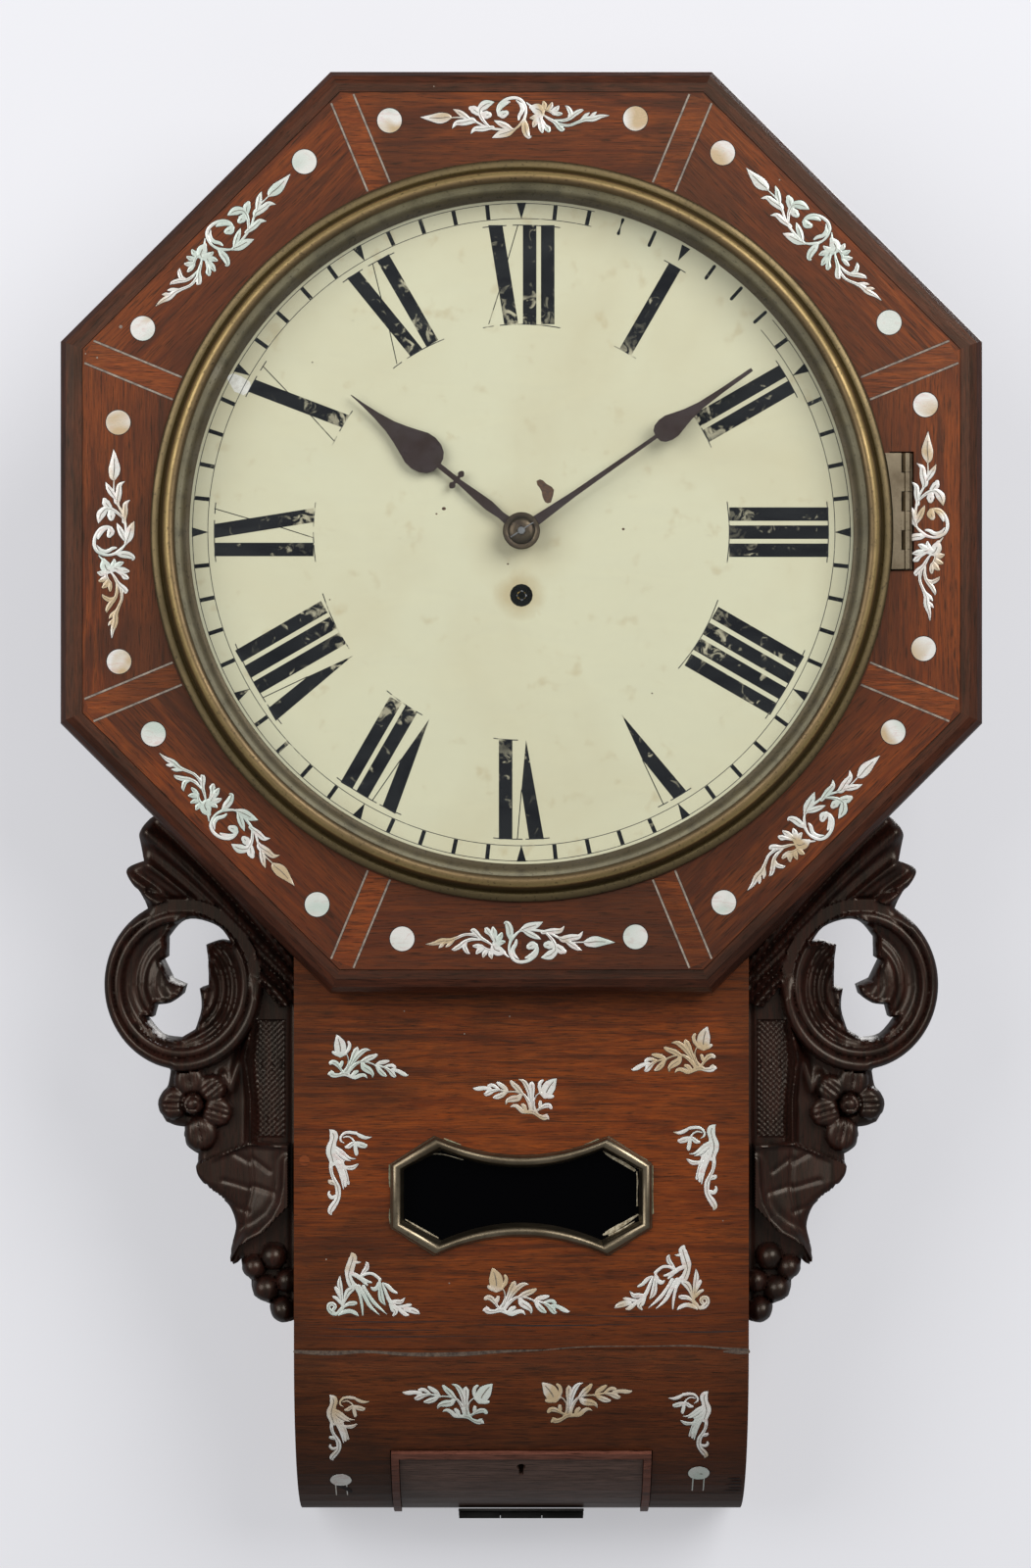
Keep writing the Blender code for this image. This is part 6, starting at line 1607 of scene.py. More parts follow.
@dataclass(frozen=True)
class Window(Assembly):
    """The pendulum window: a brass bead, a near-black pane as painted shade, old putty.

    The level of the trunk's front is in metres, and the rest in millimetres. The bead's foot and
    back are rows of inset from its outer edge and distance behind the front.
    """

    level: float
    height: float = -306.6
    half_width: float = 60.8
    corner: float = 40.5
    half_height: float = 28.0
    shoulder: float = 14.9
    waist: float = 19.1
    arch_parts: int = 28
    bead_parts: int = 10
    bead_middle: float = 2.9
    bead_half: float = 2.4
    bead_rise: float = 3.1
    foot: tuple[Point, ...] = ((0.0, 0.3), (0.1, -0.5), (0.4, -0.8))
    back: tuple[Point, ...] = ((5.6, 0.0), (6.2, 1.2), (6.2, 3.9), (4.0, 3.9), (4.0, 0.3))
    pane_inset: float = 4.1
    pane_depth: float = 2.0
    inner_putty: Strokes = (
        ((38.0, 20.6, 0.6), (40.5, 19.2, 2.4), (46.0, 15.6, 1.9), (52.6, 11.4, 1.3)),
        ((53.6, 11.0, 0.4), (54.0, 6.0, 0.7), (53.8, 1.0, 0.4), (53.9, -5.0, 0.8)),
        ((54.2, -9.3, 0.8), (48.0, -13.2, 1.7), (42.0, -16.6, 2.2), (38.2, -18.6, 0.8)),
        ((52.6, -12.4, 0.5), (46.0, -16.4, 0.8), (40.6, -18.9, 0.6)),
        ((-13.9, -14.8, 0.3), (0.0, -14.0, 0.8), (13.0, -15.0, 0.9), (27.0, -17.6, 0.5)),
        ((-54.0, -11.4, 0.4), (-46.0, -16.1, 0.9), (-38.4, -20.2, 0.5)),
        ((-43.5, 18.6, 0.3), (-37.0, 18.9, 0.5), (-27.0, 16.2, 0.3)))
    outer_putty: Strokes = (
        ((-61.2, 14.5, 0.5), (-61.0, 9.0, 1.1), (-61.0, 4.0, 0.5)),
        ((60.9, 14.0, 0.5), (60.8, 6.0, 0.8), (60.9, 0.0, 0.4), (61.0, -8.0, 0.9)),
        ((-36.0, 26.6, 0.3), (-33.5, 25.6, 0.7), (-28.0, 23.6, 0.3)),
        ((-13.0, 19.7, 0.2), (-7.0, 18.9, 0.5), (-2.0, 18.5, 0.2)),
        ((18.0, 20.2, 0.2), (27.0, 22.6, 0.6), (36.0, 26.4, 0.5)),
        ((45.0, 24.9, 0.3), (52.0, 20.2, 0.6), (58.5, 16.4, 0.3)),
        ((-55.0, -18.4, 0.2), (-51.0, -21.0, 0.5), (-46.0, -24.0, 0.2)),
        ((-61.0, -6.0, 0.3), (-61.0, -11.0, 0.7), (-59.8, -15.6, 0.3)))

    def outline(self, inset: float) -> Outline:
        """Return the window's shape, drawn in from its outer edge.

        Args:
            inset: how far it is drawn in.

        Returns:
            The corners, about the window's centre.
        """
        side = self.half_width - inset
        corner = self.corner - inset * 0.55
        high = self.half_height - inset * 1.12
        shoulder = self.shoulder - inset * 0.45
        waist = self.waist - inset
        across = [-corner + 2 * corner * k / self.arch_parts for k in range(self.arch_parts + 1)]
        arch = [(x, waist + (high - waist) * (x / corner) ** 2) for x in across]
        top = [(-side, shoulder), *arch, (side, shoulder)]
        return [*top, *((-x, -z) for x, z in top)]

    def loop(self, inset: float, level: float) -> list[Spot]:
        """Return the window's shape as points in metres, at an inset and a level in metres."""
        return [(x * MM, level, (z + self.height) * MM) for x, z in self.outline(inset)]

    def build(self) -> None:
        """Replace the window frame by a fine bead, make the pane near-black as painted shade and lay
        the putty.
        """
        turns = [math.pi * k / self.bead_parts for k in range(self.bead_parts + 1)]
        bead = [(self.bead_middle - self.bead_half * math.cos(turn),
                 self.foot[-1][1] - self.bead_rise * math.sin(turn)) for turn in turns]
        work = bmesh.new()
        loops = [self.loop(inset, self.level + back * MM)
                 for inset, back in (*self.foot, *bead, *self.back)]
        add_rings(work, loops, looped=True)
        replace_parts(make_piece("window_bead", work, self.finishes.window, Slot.AGED_BRASS,
                               smooth=True, sharp=40.0), "window_bezel")
        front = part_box("window_glass")[0].y
        # The pane is near-black: painted shade for the dark inside of the case.
        work = bmesh.new()
        for row in add_rings(work, [self.loop(self.pane_inset, level)
                                    for level in (front, front + self.pane_depth * MM)]):
            work.faces.new(row)
        pane = make_piece("painted_shade_pane", work, self.finishes.shade, Slot.GLASS, smooth=True)
        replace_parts(pane, "window_glass")
        for name, strokes, level, finish in (
                ("window_putty", self.inner_putty, front, self.finishes.putty),
                ("window_edge_dirt", self.outer_putty, self.level, self.finishes.verdigris)):
            work = bmesh.new()
            for stroke in strokes:
                add_stroke(work, stroke, FlatFace(level), Place(0.0, self.height))
            make_piece(name, work, finish, Slot.DIAL_PAINT, smooth=True)


@dataclass(frozen=True)
class Works(Assembly):
    """The movement, the pendulum and the fittings behind the dial."""

    brass: tuple[str, ...] = (
        "front_plate", "back_plate", "back_cock", "barrel", "great_wheel", "fusee", "centre_wheel",
        "third_wheel", "escape_wheel", "cannon_wheel", "minute_wheel", "hour_wheel", "rating_nut")
    steel: tuple[str, ...] = (
        "barrel_arbor", "setup_ratchet", "setup_click", "mainspring", "centre_arbor", "third_arbor",
        "escape_arbor", "pallets", "pallet_arbor_and_crutch", "suspension_spring", "pendulum_rod")

    def build(self) -> None:
        """Dress the movement."""
        self.dress(self.finishes.brass, *self.brass)
        self.dress(self.finishes.steel, *self.steel)
        self.dress(self.finishes.lead_and_hinge_shade, "pendulum_bob")
        self.dress(self.finishes.gut, "fusee_line")


def softened(loop: Outline, steps: int = 4, corner: float = 38.0) -> Outline:
    """Return a closed line with more points, curved except at its sharp corners.

    Args:
        loop: the closed line.
        steps: how many parts each side is cut into.
        corner: the turn in degrees from which a corner stays sharp.

    Returns:
        The finer line.
    """
    rows = [Vector(p) for p in loop]
    count = len(rows)
    sharp = [(rows[k] - rows[k - 1]).angle(rows[(k + 1) % count] - rows[k]) > math.radians(corner)
             for k in range(count)]
    result = []
    for k in range(count):
        first, second = rows[k], rows[(k + 1) % count]
        before = first if sharp[k] else rows[k - 1]
        after = second if sharp[(k + 1) % count] else rows[(k + 2) % count]
        for step in range(steps):
            result.append(curved((before, first, second, after), step / steps).to_tuple())
    return result


@dataclass(frozen=True)
class Bracket(Assembly):
    """A carved bracket: the CAD outline, filled with relief of scroll, flower, leaf and grapes.

    Places are (a, z) in millimetres, with a counted outwards from the case side, rounds are
    (a, z, radius), and thicknesses are counted from the back.
    """

    side: int
    inner_edge: float = 105.8
    back: float = -0.081
    depth: float = 26.9
    thinnest: float = 2.0
    ground: float = 17.0
    spacing: float = 0.8
    field: tuple[float, float, float, float] = (4.5, 19.5, -281.0, -226.0)
    punch: float = 2.7
    stem: tuple[Point, ...] = ((20.0, -228.0), (22.6, -244.0), (20.4, -262.0), (20.6, -284.0))
    tendril: tuple[Point, ...] = ((33.0, -252.0), (30.0, -258.0), (26.0, -246.0), (22.0, -238.0))
    lobe: Point = (67.9, -134.2)
    lobe_notch: tuple[Point, ...] = ((68.0, -165.5), (58.0, -169.5), (46.0, -170.5))
    scroll: Point = (52.7, -209.4)
    scroll_radii: Point = (37.6, 40.4)
    flower: Spot = (47.2, -265.0, 4.8)
    petals: tuple[Spot, ...] = (
        (57.0, -264.5, 7.6), (48.8, -254.0, 7.4), (36.0, -268.5, 7.2), (43.8, -279.0, 8.0),
        (38.6, -257.8, 6.6))
    leaf: tuple[Point, ...] = (
        (47.0, -293.0), (21.5, -282.5), (2.4, -283.5), (2.6, -312.0), (14.0, -324.0),
        (26.0, -331.0), (30.8, -341.0), (28.0, -322.0), (33.0, -309.0), (43.0, -301.0))
    midrib: tuple[Point, ...] = ((20.8, -282.5), (19.5, -303.0), (24.0, -322.0), (30.0, -338.0))
    veins: tuple[tuple[Point, Point], ...] = (
        ((20.8, -292.0), (29.0, -287.0)), ((20.6, -304.0), (33.0, -300.0)),
        ((19.8, -290.0), (11.5, -296.0)), ((19.6, -303.0), (9.5, -306.0)),
        ((21.5, -315.0), (29.0, -312.0)))
    leaf_lip: tuple[Point, ...] = (
        (2.0, -292.0), (2.6, -303.0), (4.6, -312.0), (9.0, -319.0), (15.5, -324.0),
        (22.0, -327.5), (27.0, -333.0), (30.0, -341.0))
    leaf_head: tuple[Point, ...] = ((46.0, -292.5), (33.0, -288.0), (21.5, -283.5), (3.0, -284.5))
    grapes: tuple[Spot, ...] = (
        (10.0, -336.1, 6.4), (19.1, -341.1, 5.8), (13.7, -351.1, 6.3), (3.6, -347.5, 5.6),
        (5.9, -361.2, 6.3))

    def relief(self, a: Grid, z: Grid, outer: Outline, eye: Outline) -> Grid:
        """Return the thickness at each place.

        Args:
            a: distances from the case side.
            z: heights.
            outer: the outline.
            eye: the loop round the open eye of the scroll.

        Returns:
            The thicknesses in millimetres.
        """
        thick = self.ground_relief(a, z)
        thick = self.lobe_relief(a, z, thick)
        thick = self.leaf_relief(a, z, thick)
        thick = self.flower_relief(a, z, thick)
        thick = self.scroll_relief(a, z, thick, eye)
        for centre_a, centre_z, radius in self.grapes:
            share = np.hypot(a - centre_a, z - centre_z) / radius
            grape = self.ground + 2.0 + 1.15 * radius * dome(share)
            thick = np.where(share < 1.0, grape, thick)
        rim = np.minimum(away([*outer, outer[0]], a, z), 4.0)
        from_wall = np.clip(a / 3.0, 0.0, 1.0)
        thick = thick - from_wall * 3.6 * (1.0 - rim / 4.0) ** 2.2
        return np.clip(thick, self.thinnest, self.depth)

    def ground_relief(self, a: Grid, z: Grid) -> Grid:
        """Return the sunk ground, with its punched field, the stem and the tendril.

        Args:
            a: distances from the case side.
            z: heights.

        Returns:
            The thicknesses.
        """
        inner, outer, low, high = self.field
        field = (a > inner) & (a < outer) & (z < high) & (z > low)
        punched = 0.6 * np.cos(math.tau * a / self.punch) * np.cos(math.tau * z / self.punch)
        ground = np.where(field, self.ground - 1.4 + punched, self.ground)
        return (ground + 6.5 * hump(away(self.stem, a, z), 1.9)
                + 3.0 * hump(away(self.tendril, a, z), 2.6))

    def lobe_relief(self, a: Grid, z: Grid, thick: Grid) -> Grid:
        """Add the two lobes whose ridges stream down beside the octagon.

        Args:
            a: distances from the case side.
            z: heights.
            thick: the thicknesses so far.

        Returns:
            The thicknesses.
        """
        along = ((self.lobe[0] - a) + (self.lobe[1] - z)) * 0.707
        aside = ((a - self.lobe[0]) - (z - self.lobe[1])) * 0.707
        spread = 1.0 - 0.60 * np.clip(along / 92.0, 0.0, 1.0)
        flow = aside / spread - 0.0016 * (along - 35.0) ** 2
        ridge = (22.2 + 1.9 * np.cos(math.tau * (flow - 2.0) / 12.5)
                 + 1.3 * np.cos(math.tau * flow / 30.0))
        fine = 0.55 * np.cos(math.tau * (flow + 1.2) / 5.1) * np.clip(along / 26.0, 0.0, 1.0)
        share = np.hypot((a - self.scroll[0]) / self.scroll_radii[0],
                         (z - self.scroll[1]) / self.scroll_radii[1])
        here = (z > -218.0 - 0.3 * a) & (share > 0.98) & (flow < 36.0) & (flow > -14.0)
        notch = 3.0 * hump(away(self.lobe_notch, a, z), 1.3)
        return np.where(here, ridge + fine - notch, thick)

    def leaf_relief(self, a: Grid, z: Grid, thick: Grid) -> Grid:
        """Add the pointed leaf with its veins and its turned-over edge.

        Args:
            a: distances from the case side.
            z: heights.
            thick: the thicknesses so far.

        Returns:
            The thicknesses.
        """
        middle = away(self.midrib, a, z)
        surface = 21.6 + 0.14 * middle ** 1.25 - 0.7 * hump(middle, 1.2)
        for vein in self.veins:
            surface = surface - 0.55 * hump(away(vein, a, z), 1.1)
        lip = away(self.leaf_lip, a, z)
        surface = surface + 3.4 * hump(lip, 2.4) - 0.7 * hump(np.abs(lip - 5.4), 2.2)
        surface = surface + 1.6 * hump(away(self.leaf_head, a, z), 0.9)
        return np.where(within(self.leaf, a, z), surface, thick)

    def flower_relief(self, a: Grid, z: Grid, thick: Grid) -> Grid:
        """Add the flower: creased petals round a boss.

        Args:
            a: distances from the case side.
            z: heights.
            thick: the thicknesses so far.

        Returns:
            The thicknesses.
        """
        middle_a, middle_z, boss_radius = self.flower
        for centre_a, centre_z, radius in self.petals:
            reach = np.hypot(a - centre_a, z - centre_z) / radius
            inward = (middle_a - centre_a, middle_z - centre_z)
            aside = ((a - centre_a) * inward[1] - (z - centre_z) * inward[0]) / math.hypot(*inward)
            dished = 20.2 + 5.0 * dome(reach) - 1.5 * hump(reach, 0.55)
            creased = dished - 0.9 * hump(aside, 0.55) - 0.5 * hump(np.abs(aside) - 2.6, 0.5)
            thick = np.where(reach < 1.0, np.maximum(creased, thick), thick)
        reach = np.hypot(a - middle_a, z - middle_z)
        turn = np.arctan2(z - middle_z, a - middle_a)
        boss = 21.8 + 4.4 * dome(reach / boss_radius)
        boss = boss - 1.2 * hump(np.abs(reach - 2.9 - 0.35 * turn), 0.5)
        thick = thick - 1.8 * hump(np.abs(reach - 5.3), 0.8) * (reach < 7.0)
        return np.where(reach < boss_radius, boss, thick)

    def scroll_relief(self, a: Grid, z: Grid, thick: Grid, eye: Outline) -> Grid:
        """Add the big scroll: rolled bead, groove, hollow and furrowed hooks.

        Args:
            a: distances from the case side.
            z: heights.
            thick: the thicknesses so far.
            eye: the loop round the scroll's open eye.

        Returns:
            The thicknesses.
        """
        across, up = a - self.scroll[0], z - self.scroll[1]
        share = np.hypot(across / self.scroll_radii[0], up / self.scroll_radii[1])
        turn = np.arctan2(up, -across)
        bead = 22.2 + 4.4 * dome((share - 0.925) / 0.080)
        second = 21.2 + 2.6 * dome((share - 0.79) / 0.062)
        hollow = 20.6 - 3.8 * np.sin(math.pi * np.clip((0.80 - share) / 0.42, 0.0, 1.0))
        furrow = 0.95 * np.cos(math.tau * (share + 0.035 * turn) / 0.105)
        right = np.clip((46.0 - a) / 6.0, 0.0, 1.0)
        hollow = hollow + furrow * (0.35 + 0.65 * right) + 2.2 * right
        surface = np.where(share > 0.848, bead, np.where(share > 0.732, second, hollow))
        lip = away([*eye, eye[0]], a, z)
        surface = surface + 1.5 * hump(np.abs(lip - 1.3), 0.8) - 2.6 * hump(lip, 0.9)
        surface = surface - 5.0 * np.clip((share - 0.985) / 0.02, 0.0, 1.0)
        streaming = np.clip((across * -0.5 + up * 0.87 - 12.0) / 9.0, 0.0, 1.0) * (share > 0.85)
        blended = surface * (1.0 - streaming) + np.maximum(thick, 22.0) * streaming
        return np.where(share < 1.004, blended, thick)

    def loops(self, node: bpy.types.Object) -> tuple[Outline, Outline]:
        """Return the outline and the eye of a CAD bracket, smoothed but for their corners.

        Args:
            node: the CAD bracket.

        Returns:
            Two closed lines of places.
        """
        mesh = node.data
        flat = {v.index: v.co for v in mesh.vertices if abs(v.co.y - self.back) < 1e-5}
        places = {index: (round(self.side * co.x / MM - self.inner_edge, 3), round(co.z / MM, 3))
                  for index, co in flat.items()}
        joined: dict[Point, set[Point]] = {}
        for face in mesh.polygons:
            corners = list(face.vertices)
            if all(corner in flat for corner in corners):
                continue
            for start, end in zip(corners, corners[1:] + corners[:1]):
                if start in flat and end in flat and places[start] != places[end]:
                    joined.setdefault(places[start], set()).add(places[end])
                    joined.setdefault(places[end], set()).add(places[start])
        found = []
        left = sorted(joined)
        while left:
            loop = [left[0]]
            while ahead := sorted(p for p in joined[loop[-1]] if p in left and p not in loop):
                loop.append(ahead[0])
            left = [p for p in left if p not in loop]
            found.append(softened(loop))
        found.sort(key=len, reverse=True)
        return found[0], found[1]

    def grid(self, outer: Outline, eye: Outline) -> Outline:
        """Return staggered places inside the outline that keep off its lines.

        Args:
            outer: the outline.
            eye: the loop round the open eye.

        Returns:
            The places.
        """
        low_a, high_a = min(p[0] for p in outer), max(p[0] for p in outer)
        low_z, high_z = min(p[1] for p in outer), max(p[1] for p in outer)
        rows = np.arange(low_z, high_z, self.spacing * 0.866)
        a, z = np.meshgrid(np.arange(low_a, high_a, self.spacing), rows)
        a = a + 0.5 * self.spacing * (np.arange(len(rows)) % 2)[:, None]
        a, z = a.ravel(), z.ravel()
        clear = within(outer, a, z) & ~within(eye, a, z)
        clear &= np.minimum(away([*outer, outer[0]], a, z),
                            away([*eye, eye[0]], a, z)) > 0.45 * self.spacing
        return list(zip(a[clear].tolist(), z[clear].tolist()))

    def build(self) -> None:
        """Replace the CAD bracket by the carved one."""
        name = "bracket_left" if self.side < 0 else "bracket_right"
        outer, eye = self.loops(self.nodes[name])
        rims = (range(len(outer)), range(len(outer), len(outer) + len(eye)))
        edges = [(rim[k - 1], rim[k]) for rim in rims for k in range(len(rim))]
        work = bmesh.new()
        rows = []
        for inner in (self.grid(outer, eye), []):
            points = [Vector(p) for p in (*outer, *eye, *inner)]
            net = delaunay_2d_cdt(points, edges, [], 0, 1e-6)
            spots = np.array([tuple(p) for p in net[0]])
            faces = np.array([tuple(face) for face in net[2]])
            a, z = spots[faces].mean(axis=1).T
            kept = within(outer, a, z) & ~within(eye, a, z)
            thick = self.relief(*spots.T, outer, eye) if inner else np.zeros(len(spots))
            rows.append([work.verts.new((self.side * (self.inner_edge + a) * MM,
                                         self.back - rise * MM, z * MM))
                         for (a, z), rise in zip(spots.tolist(), thick.tolist())])
            for triangle in faces[kept].tolist():
                work.faces.new([rows[-1][k] for k in triangle])
        front, back = rows
        for first, second in edges:
            work.faces.new((front[first], front[second], back[second], back[first]))
        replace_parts(make_piece(f"carved_{name}", work, self.finishes.carved, Slot.DARK_WOOD,
                               smooth=True, sharp=55.0), name)


@dataclass(frozen=True)
class Lamp:
    """One soft lamp: where it stands, where it points, its size and power."""

    name: str
    place: Spot
    aim: Spot
    size: float
    power: float
    colour: Colour = (1.0, 1.0, 1.0)

    def build(self) -> None:
        """Put the lamp in the scene."""
        data = bpy.data.lights.new(self.name, "AREA")
        data.shape = "DISK"
        data.size = self.size
        data.energy = self.power
        data.color = self.colour
        lamp = bpy.data.objects.new(self.name, data)
        lamp.location = self.place
        aim = Vector(self.aim) - Vector(self.place)
        lamp.rotation_euler = aim.to_track_quat("-Z", "Y").to_euler()
        bpy.context.collection.objects.link(lamp)


@dataclass(frozen=True)
class Studio:
    """A pale wall, soft lamps and the camera of the photograph."""

    camera_place: Spot = (-0.0027, -1.930, -0.11565)
    sensor: float = 32.0
    lens: float = 80.0
    wall_level: float = 0.0012
    wall_size: float = 6.0
    wall_colour: Colour = tone(176, 176, 179)
    wall_mottle: float = 0.965
    wall_glow: float = 0.93
    world_colour: Colour = tone(226, 229, 234)
    world_strength: float = 0.28
    lamps: tuple[Lamp, ...] = (
        Lamp("lamp_right", (1.05, -1.70, 0.85), (0.0, 0.0, -0.05), 1.5, 33.0),
        Lamp("lamp_left", (-1.20, -1.60, 0.45), (0.0, 0.0, -0.05), 1.6, 22.0),
        Lamp("lamp_behind", (0.6, 1.9, 0.9), (0.0, 0.0, -0.1), 1.2, 16.0),
    )

    def build(self) -> None:
        """Set up the view, the wall, the world, the lamps and the camera."""
        scene = bpy.context.scene
        scene.view_settings.view_transform = "Standard"
        self.build_wall()
        self.build_world(scene)
        for lamp in self.lamps:
            lamp.build()
        data = bpy.data.cameras.new("photo_camera")
        data.sensor_fit = "VERTICAL"
        data.sensor_height = self.sensor
        data.lens = self.lens
        data.clip_start = 0.05
        camera = bpy.data.objects.new("photo_camera", data)
        camera.location = self.camera_place
        camera.rotation_euler = (math.pi / 2, 0.0, 0.0)
        bpy.context.collection.objects.link(camera)
        scene.camera = camera

    def build_wall(self) -> None:
        """Make the wall, which only the camera sees, and only from the front."""
        graph = Graph("pale_wall")
        mottle = graph.noise(graph.place(), 3.0, 3.0)
        colour = graph.cover(self.wall_colour, dimmed(self.wall_colour, self.wall_mottle), mottle,
                             0.35, 0.65, 0.60)
        diffuse = graph.node("BsdfDiffuse", Color=colour)
        glow = graph.node("Emission", Color=colour, Strength=self.wall_glow)
        paint = graph.node("AddShader")
        graph.feed(paint.inputs[0], diffuse.outputs[0])
        graph.feed(paint.inputs[1], glow.outputs[0])
        clear = graph.node("BsdfTransparent")
        ray = graph.node("LightPath")
        side = graph.node("NewGeometry")
        front = graph.sum(Sum.SUBTRACT, 1.0, side.outputs["Backfacing"])
        seen = graph.sum(Sum.MULTIPLY, ray.outputs["Is Camera Ray"], front)
        mix = graph.node("MixShader")
        graph.feed(mix.inputs[0], seen)
        graph.feed(mix.inputs[1], clear.outputs[0])
        graph.feed(mix.inputs[2], paint.outputs[0])
        graph.feed(graph.node("OutputMaterial").inputs["Surface"], mix.outputs[0])
        half = self.wall_size / 2
        mesh = bpy.data.meshes.new("wall")
        corners = [(x, self.wall_level, z)
                   for x, z in ((-half, -half), (half, -half), (half, half), (-half, half))]
        mesh.from_pydata(corners, [], [(0, 1, 2, 3)])
        mesh.materials.append(graph.material)
        wall = bpy.data.objects.new("wall", mesh)
        bpy.context.collection.objects.link(wall)

    def build_world(self, scene: bpy.types.Scene) -> None:
        """Light the scene evenly, and show a pale background behind it.

        Args:
            scene: the scene to light.
        """
        world = bpy.data.worlds.new("studio")
        world.use_nodes = True
        tree = world.node_tree
        tree.nodes.clear()
        ray = tree.nodes.new("ShaderNodeLightPath")
        strength = tree.nodes.new("ShaderNodeMapRange")
        strength.inputs["To Min"].default_value = self.world_strength
        strength.inputs["To Max"].default_value = 1.0
        tree.links.new(ray.outputs["Is Camera Ray"], strength.inputs["Value"])
        background = tree.nodes.new("ShaderNodeBackground")
        background.inputs["Color"].default_value = (*self.world_colour, 1.0)
        tree.links.new(strength.outputs[0], background.inputs["Strength"])
        output = tree.nodes.new("ShaderNodeOutputWorld")
        tree.links.new(background.outputs[0], output.inputs["Surface"])
        scene.world = world


@dataclass(frozen=True)
class Case(Assembly):
    """The case: wood, inlay and the octagonal surround.

    The levels and the foot's top and radius are in metres, and the rest in millimetres. A dusty
    joint runs over the foot, and rounds are (x, z, radius).
    """

    trunk_front: float
    surround_front: float
    foot_top: float = -0.378
    foot_radius: float = 0.088
    trunk_top: float = -218.0
    crossing_half: float = 5.5
    crossing_ends: Point = (170.2, 213.9)
    string_width: float = 0.85
    string_edge: float = 0.35
    foot_line_tops: tuple[Point, ...] = ((-85.0, -456.0), (83.5, -450.5))
    foot_line_aside: float = 2.6
    foot_line_length: float = 12.0
    dust: Strokes = (
        ((-105.0, -378.9, 1.5), (-88.0, -379.6, 2.1), (-71.7, -378.9, 1.3), (-51.2, -380.2, 1.7),
         (-29.4, -380.1, 2.0), (-10.3, -378.9, 1.4), (10.1, -378.2, 0.5)),
        ((8.0, -378.4, 0.4), (30.6, -376.6, 0.6), (57.8, -376.4, 0.4), (78.3, -376.2, 0.8),
         (92.0, -377.2, 0.9), (105.0, -378.2, 1.5)),
        ((94.0, -378.9, 0.8), (101.0, -379.0, 2.2), (105.2, -378.9, 1.8)))
    cracks: Strokes = (
        ((59.2, -464.3, 0.3), (80.0, -464.9, 0.25), (101.5, -465.0, 0.3)),
        ((-86.4, -457.8, 1.4), (-83.5, -459.4, 2.8), (-81.0, -463.0, 2.0), (-80.4, -465.0, 0.4)),
        ((97.0, -450.5, 0.2), (100.0, -450.7, 0.9), (102.6, -450.6, 0.8)),
        ((98.6, -453.2, 0.2), (101.0, -453.1, 1.0), (103.4, -453.3, 0.8)),
        ((96.2, -456.3, 0.2), (99.6, -456.1, 1.1), (103.4, -456.2, 0.9)),
        ((97.8, -459.4, 0.2), (100.6, -459.6, 1.2), (103.6, -459.4, 1.0)),
        ((95.6, -462.6, 0.2), (99.8, -462.4, 1.1), (103.8, -462.6, 0.9)),
        ((-93.0, -367.8, 0.1), (-70.0, -368.8, 0.6), (-38.0, -369.0, 0.1)),
        ((-88.0, -364.6, 0.1), (-60.0, -365.2, 0.5), (-30.0, -364.9, 0.1)),
        ((26.0, -362.0, 0.1), (55.0, -362.6, 0.5), (88.0, -361.8, 0.1)),
        ((-20.0, -366.4, 0.1), (10.0, -366.9, 0.6), (52.0, -366.2, 0.1)),
        ((60.0, -369.4, 0.1), (84.0, -369.8, 0.6), (104.0, -369.3, 0.3)),
        ((-97.0, -371.4, 0.1), (-60.0, -372.0, 0.5), (-12.0, -371.6, 0.1)))
    specks: tuple[Spot, ...] = (
        (-90.5, -336.1, 0.35), (-33.4, -347.2, 0.35), (-54.3, -221.0, 0.35), (-5.4, -223.4, 0.35),
        (-26.4, -231.5, 0.3), (-183.1, 93.3, 0.8), (-193.9, 79.2, 0.45), (-199.2, 81.0, 0.3),
        (93.5, -318.2, 0.3), (171.0, -96.0, 0.4), (118.0, 160.5, 0.35), (-40.0, 203.2, 0.3))
    plug: Spot = (-100.6, -290.3, 2.4)
    surround_disc: float = 5.6
    foot_discs: tuple[Spot, ...] = ((-85.0, -452.2, 5.0), (83.5, -446.4, 5.0))

    def build(self) -> None:
        """Dress the wood, lay the inlay and the stringing, and add the wear."""
        self.dress(self.finishes.trunk, "trunk_front")
        self.dress(self.finishes.foot, "foot_panel")
        self.dress(self.finishes.door, "foot_door")
        self.dress(self.finishes.door_bead, "foot_door_bead")
        self.dress(self.finishes.side, "case_side_left", "case_side_right", "side_door")
        self.dress(self.finishes.octagon, "dial_surround")
        self.dress(self.finishes.moulding, "surround_moulding")
        self.dress(self.finishes.pine, "back_board", "case_top", "surround_batten_left",
                   "surround_batten_right")
        self.dress(self.finishes.brass, "hanging_plate", "side_hinge_case_leaf",
                   "side_hinge_door_leaf", "foot_door_lock")
        # Painted shade: the foot hinge leaves are darkened to read as the shade under the foot door.
        self.dress(self.finishes.lead_and_hinge_shade, "foot_hinge_case_leaf", "foot_hinge_door_leaf")
        self.dress(self.finishes.aged_brass, "foot_door_bolt", "side_door_button")
        self.surround_inlay().build(self.finishes)
        self.trunk_inlay().build(self.finishes)
        self.build_stringing()
        self.build_wear()

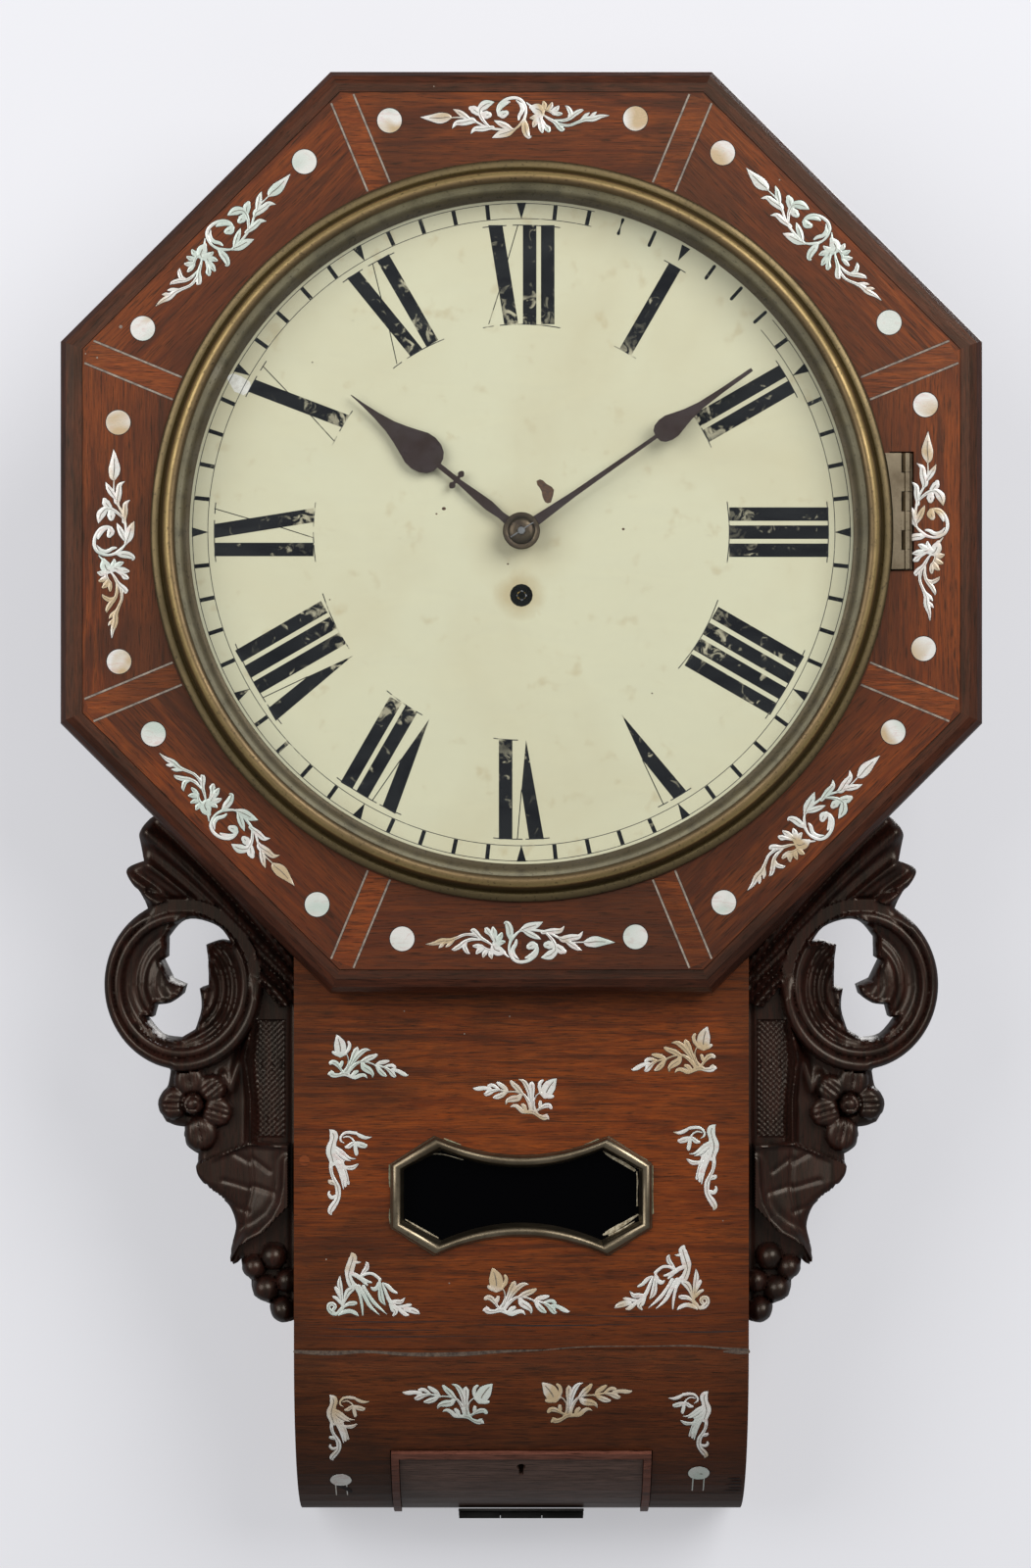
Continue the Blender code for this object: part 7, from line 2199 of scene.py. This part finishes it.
    def surround_inlay(self) -> Inlay:
        """Set out the octagon's inlay.

        Returns:
            Eight sprays and sixteen discs.
        """
        sprays = ((-3.0, 187.9, 0.0, False), (132.5, 134.5, 45.0, False), (184.7, 2.2, 90.0, False),
                  (132.5, -132.4, 135.0, False), (-0.5, -186.9, 180.0, False),
                  (-133.5, -130.7, 225.0, False), (-185.2, -5.9, 270.0, True),
                  (-135.3, 131.8, 315.0, True))
        discs = ((-60.3, 187.6), (52.1, 188.5), (-99.2, 168.8), (92.0, 172.8), (-173.1, 92.6),
                 (168.1, 95.3), (-184.3, 49.6), (184.7, 57.7), (-183.9, -59.7), (183.8, -53.8),
                 (-168.2, -92.8), (169.9, -91.9), (-93.4, -170.7), (92.5, -169.8), (-54.5, -186.4),
                 (52.1, -185.5))
        return Inlay("surround", FlatFace(self.surround_front),
                     tuple((SPRAY, Place(x, z, turn, 1.0, mirrored))
                           for x, z, turn, mirrored in sprays),
                     tuple((x, z, self.surround_disc) for x, z in discs))

    def rolled_front(self) -> RolledFace:
        """Return the front of the trunk and the foot."""
        return RolledFace(self.trunk_front, self.foot_top, self.foot_radius)

    def trunk_inlay(self) -> Inlay:
        """Set out the inlay of the trunk and the foot.

        Returns:
            The sprigs, birds and discs.
        """
        ornaments = (
            (SPRIG, Place(-81.6, -249.5)),
            (SPRIG, Place(82.0, -246.8, 0.0, 1.06, True)),
            (SPRIG, Place(5.5, -267.1, 23.0, 1.02, True)),
            (SPRIG, Place(-9.1, -359.0, 0.0, 1.08)),
            (BIRD, Place(-86.8, -291.4)),
            (BIRD, Place(87.9, -289.1, 0.0, 1.0, True)),
            (BIRD_IN_LEAVES, Place(-77.1, -347.7)),
            (BIRD_IN_LEAVES, Place(73.9, -344.6, 0.0, 1.02, True)),
            (BIRD, Place(-87.0, -414.2, 0.0, 0.94)),
            (BIRD, Place(84.7, -412.4, 0.0, 0.94, True)),
            (SPRIG, Place(-25.3, -410.0, 24.0, 1.1, True)),
            (SPRIG, Place(21.6, -409.4, -24.0, 1.1)),
        )
        return Inlay("trunk", self.rolled_front(), ornaments, self.foot_discs)

    def build_stringing(self) -> None:
        """Lay the string pairs that cross the octagon at its corners, and the foot's lines."""
        dark, string, veneer, pale = bmesh.new(), bmesh.new(), bmesh.new(), bmesh.new()
        face, foot = FlatFace(self.surround_front), self.rolled_front()
        half, (inner, outer) = self.crossing_half, self.crossing_ends
        strip = [(-half, inner), (half, inner), (half, outer), (-half, outer)]
        for k in range(8):
            place = Place(turn=45.0 * k + 22.5)
            add_plate(veneer, strip, face, 0.01, place)
            for aside in (-half, half):
                spots = [(aside, outer, self.string_width), (aside, inner, self.string_width)]
                add_stroke(string, spots, face, place, FLAT, lift=0.04, square=True)
                add_stroke(dark, spots, face, place, FLAT, self.string_edge, 0.02, square=True)
        for x, top in self.foot_line_tops:
            for aside in (-self.foot_line_aside, self.foot_line_aside):
                spots = [(x + aside, top - self.foot_line_length * k / 4, 0.5) for k in range(5)]
                add_stroke(pale, spots, foot, HERE, FLAT, lift=0.02, square=True, steps=2)
        make_piece("surround_stringing", string, self.finishes.string, Slot.AGED_BRASS)
        make_piece("surround_string_edges", dark, self.finishes.line, Slot.DARK_WOOD)
        make_piece("surround_crossings", veneer, self.finishes.veneer, Slot.ROSEWOOD)
        make_piece("foot_stringing", pale, self.finishes.pearl, Slot.ROSEWOOD)

    def build_wear(self) -> None:
        """Add the dusty joint above the foot, cracks, chipped edges, pale specks and a plug."""
        dust, cracks, specks, plug = bmesh.new(), bmesh.new(), bmesh.new(), bmesh.new()
        for work, strokes, lift in ((dust, self.dust, 0.03), (cracks, self.cracks, 0.04)):
            for stroke in strokes:
                add_stroke(work, stroke, self.rolled_front(), HERE, FLAT, lift=lift)
        for x, z, radius in self.specks:
            level = self.trunk_front if z < self.trunk_top else self.surround_front
            add_plate(specks, ring_outline(radius, 8, x, z), FlatFace(level), 0.04)
        x, z, radius = self.plug
        add_plate(plug, ring_outline(radius, 20, x, z), FlatFace(self.trunk_front), 0.02)
        make_piece("wood_plug", plug, self.finishes.veneer, Slot.ROSEWOOD)
        make_piece("joint_dust", dust, self.finishes.dust, Slot.DARK_WOOD)
        make_piece("wood_cracks", cracks, self.finishes.line, Slot.DARK_WOOD)
        make_piece("pale_specks", specks, self.finishes.string, Slot.ROSEWOOD)


def main() -> None:
    """Dress the clock piece by piece and set up the studio."""
    logging.basicConfig(level=logging.INFO, format="%(message)s")
    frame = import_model()
    shared = (Finishes(), frame["nodes"])
    trunk, dial, ring, surround, collet = (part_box(name)[0].y for name in (
        "trunk_front", "dial", "bezel_ring", "dial_surround", "hand_collet"))
    for assembly in (Case(*shared, trunk, surround), Dial(*shared, dial),
                     Bezel(*shared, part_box("bezel_ring")[1].y, ring, dial), Hands(*shared, collet),
                     Window(*shared, trunk), Works(*shared), Bracket(*shared, -1),
                     Bracket(*shared, 1)):
        assembly.build()
    Studio().build()


if __name__ == "__main__":
    main()
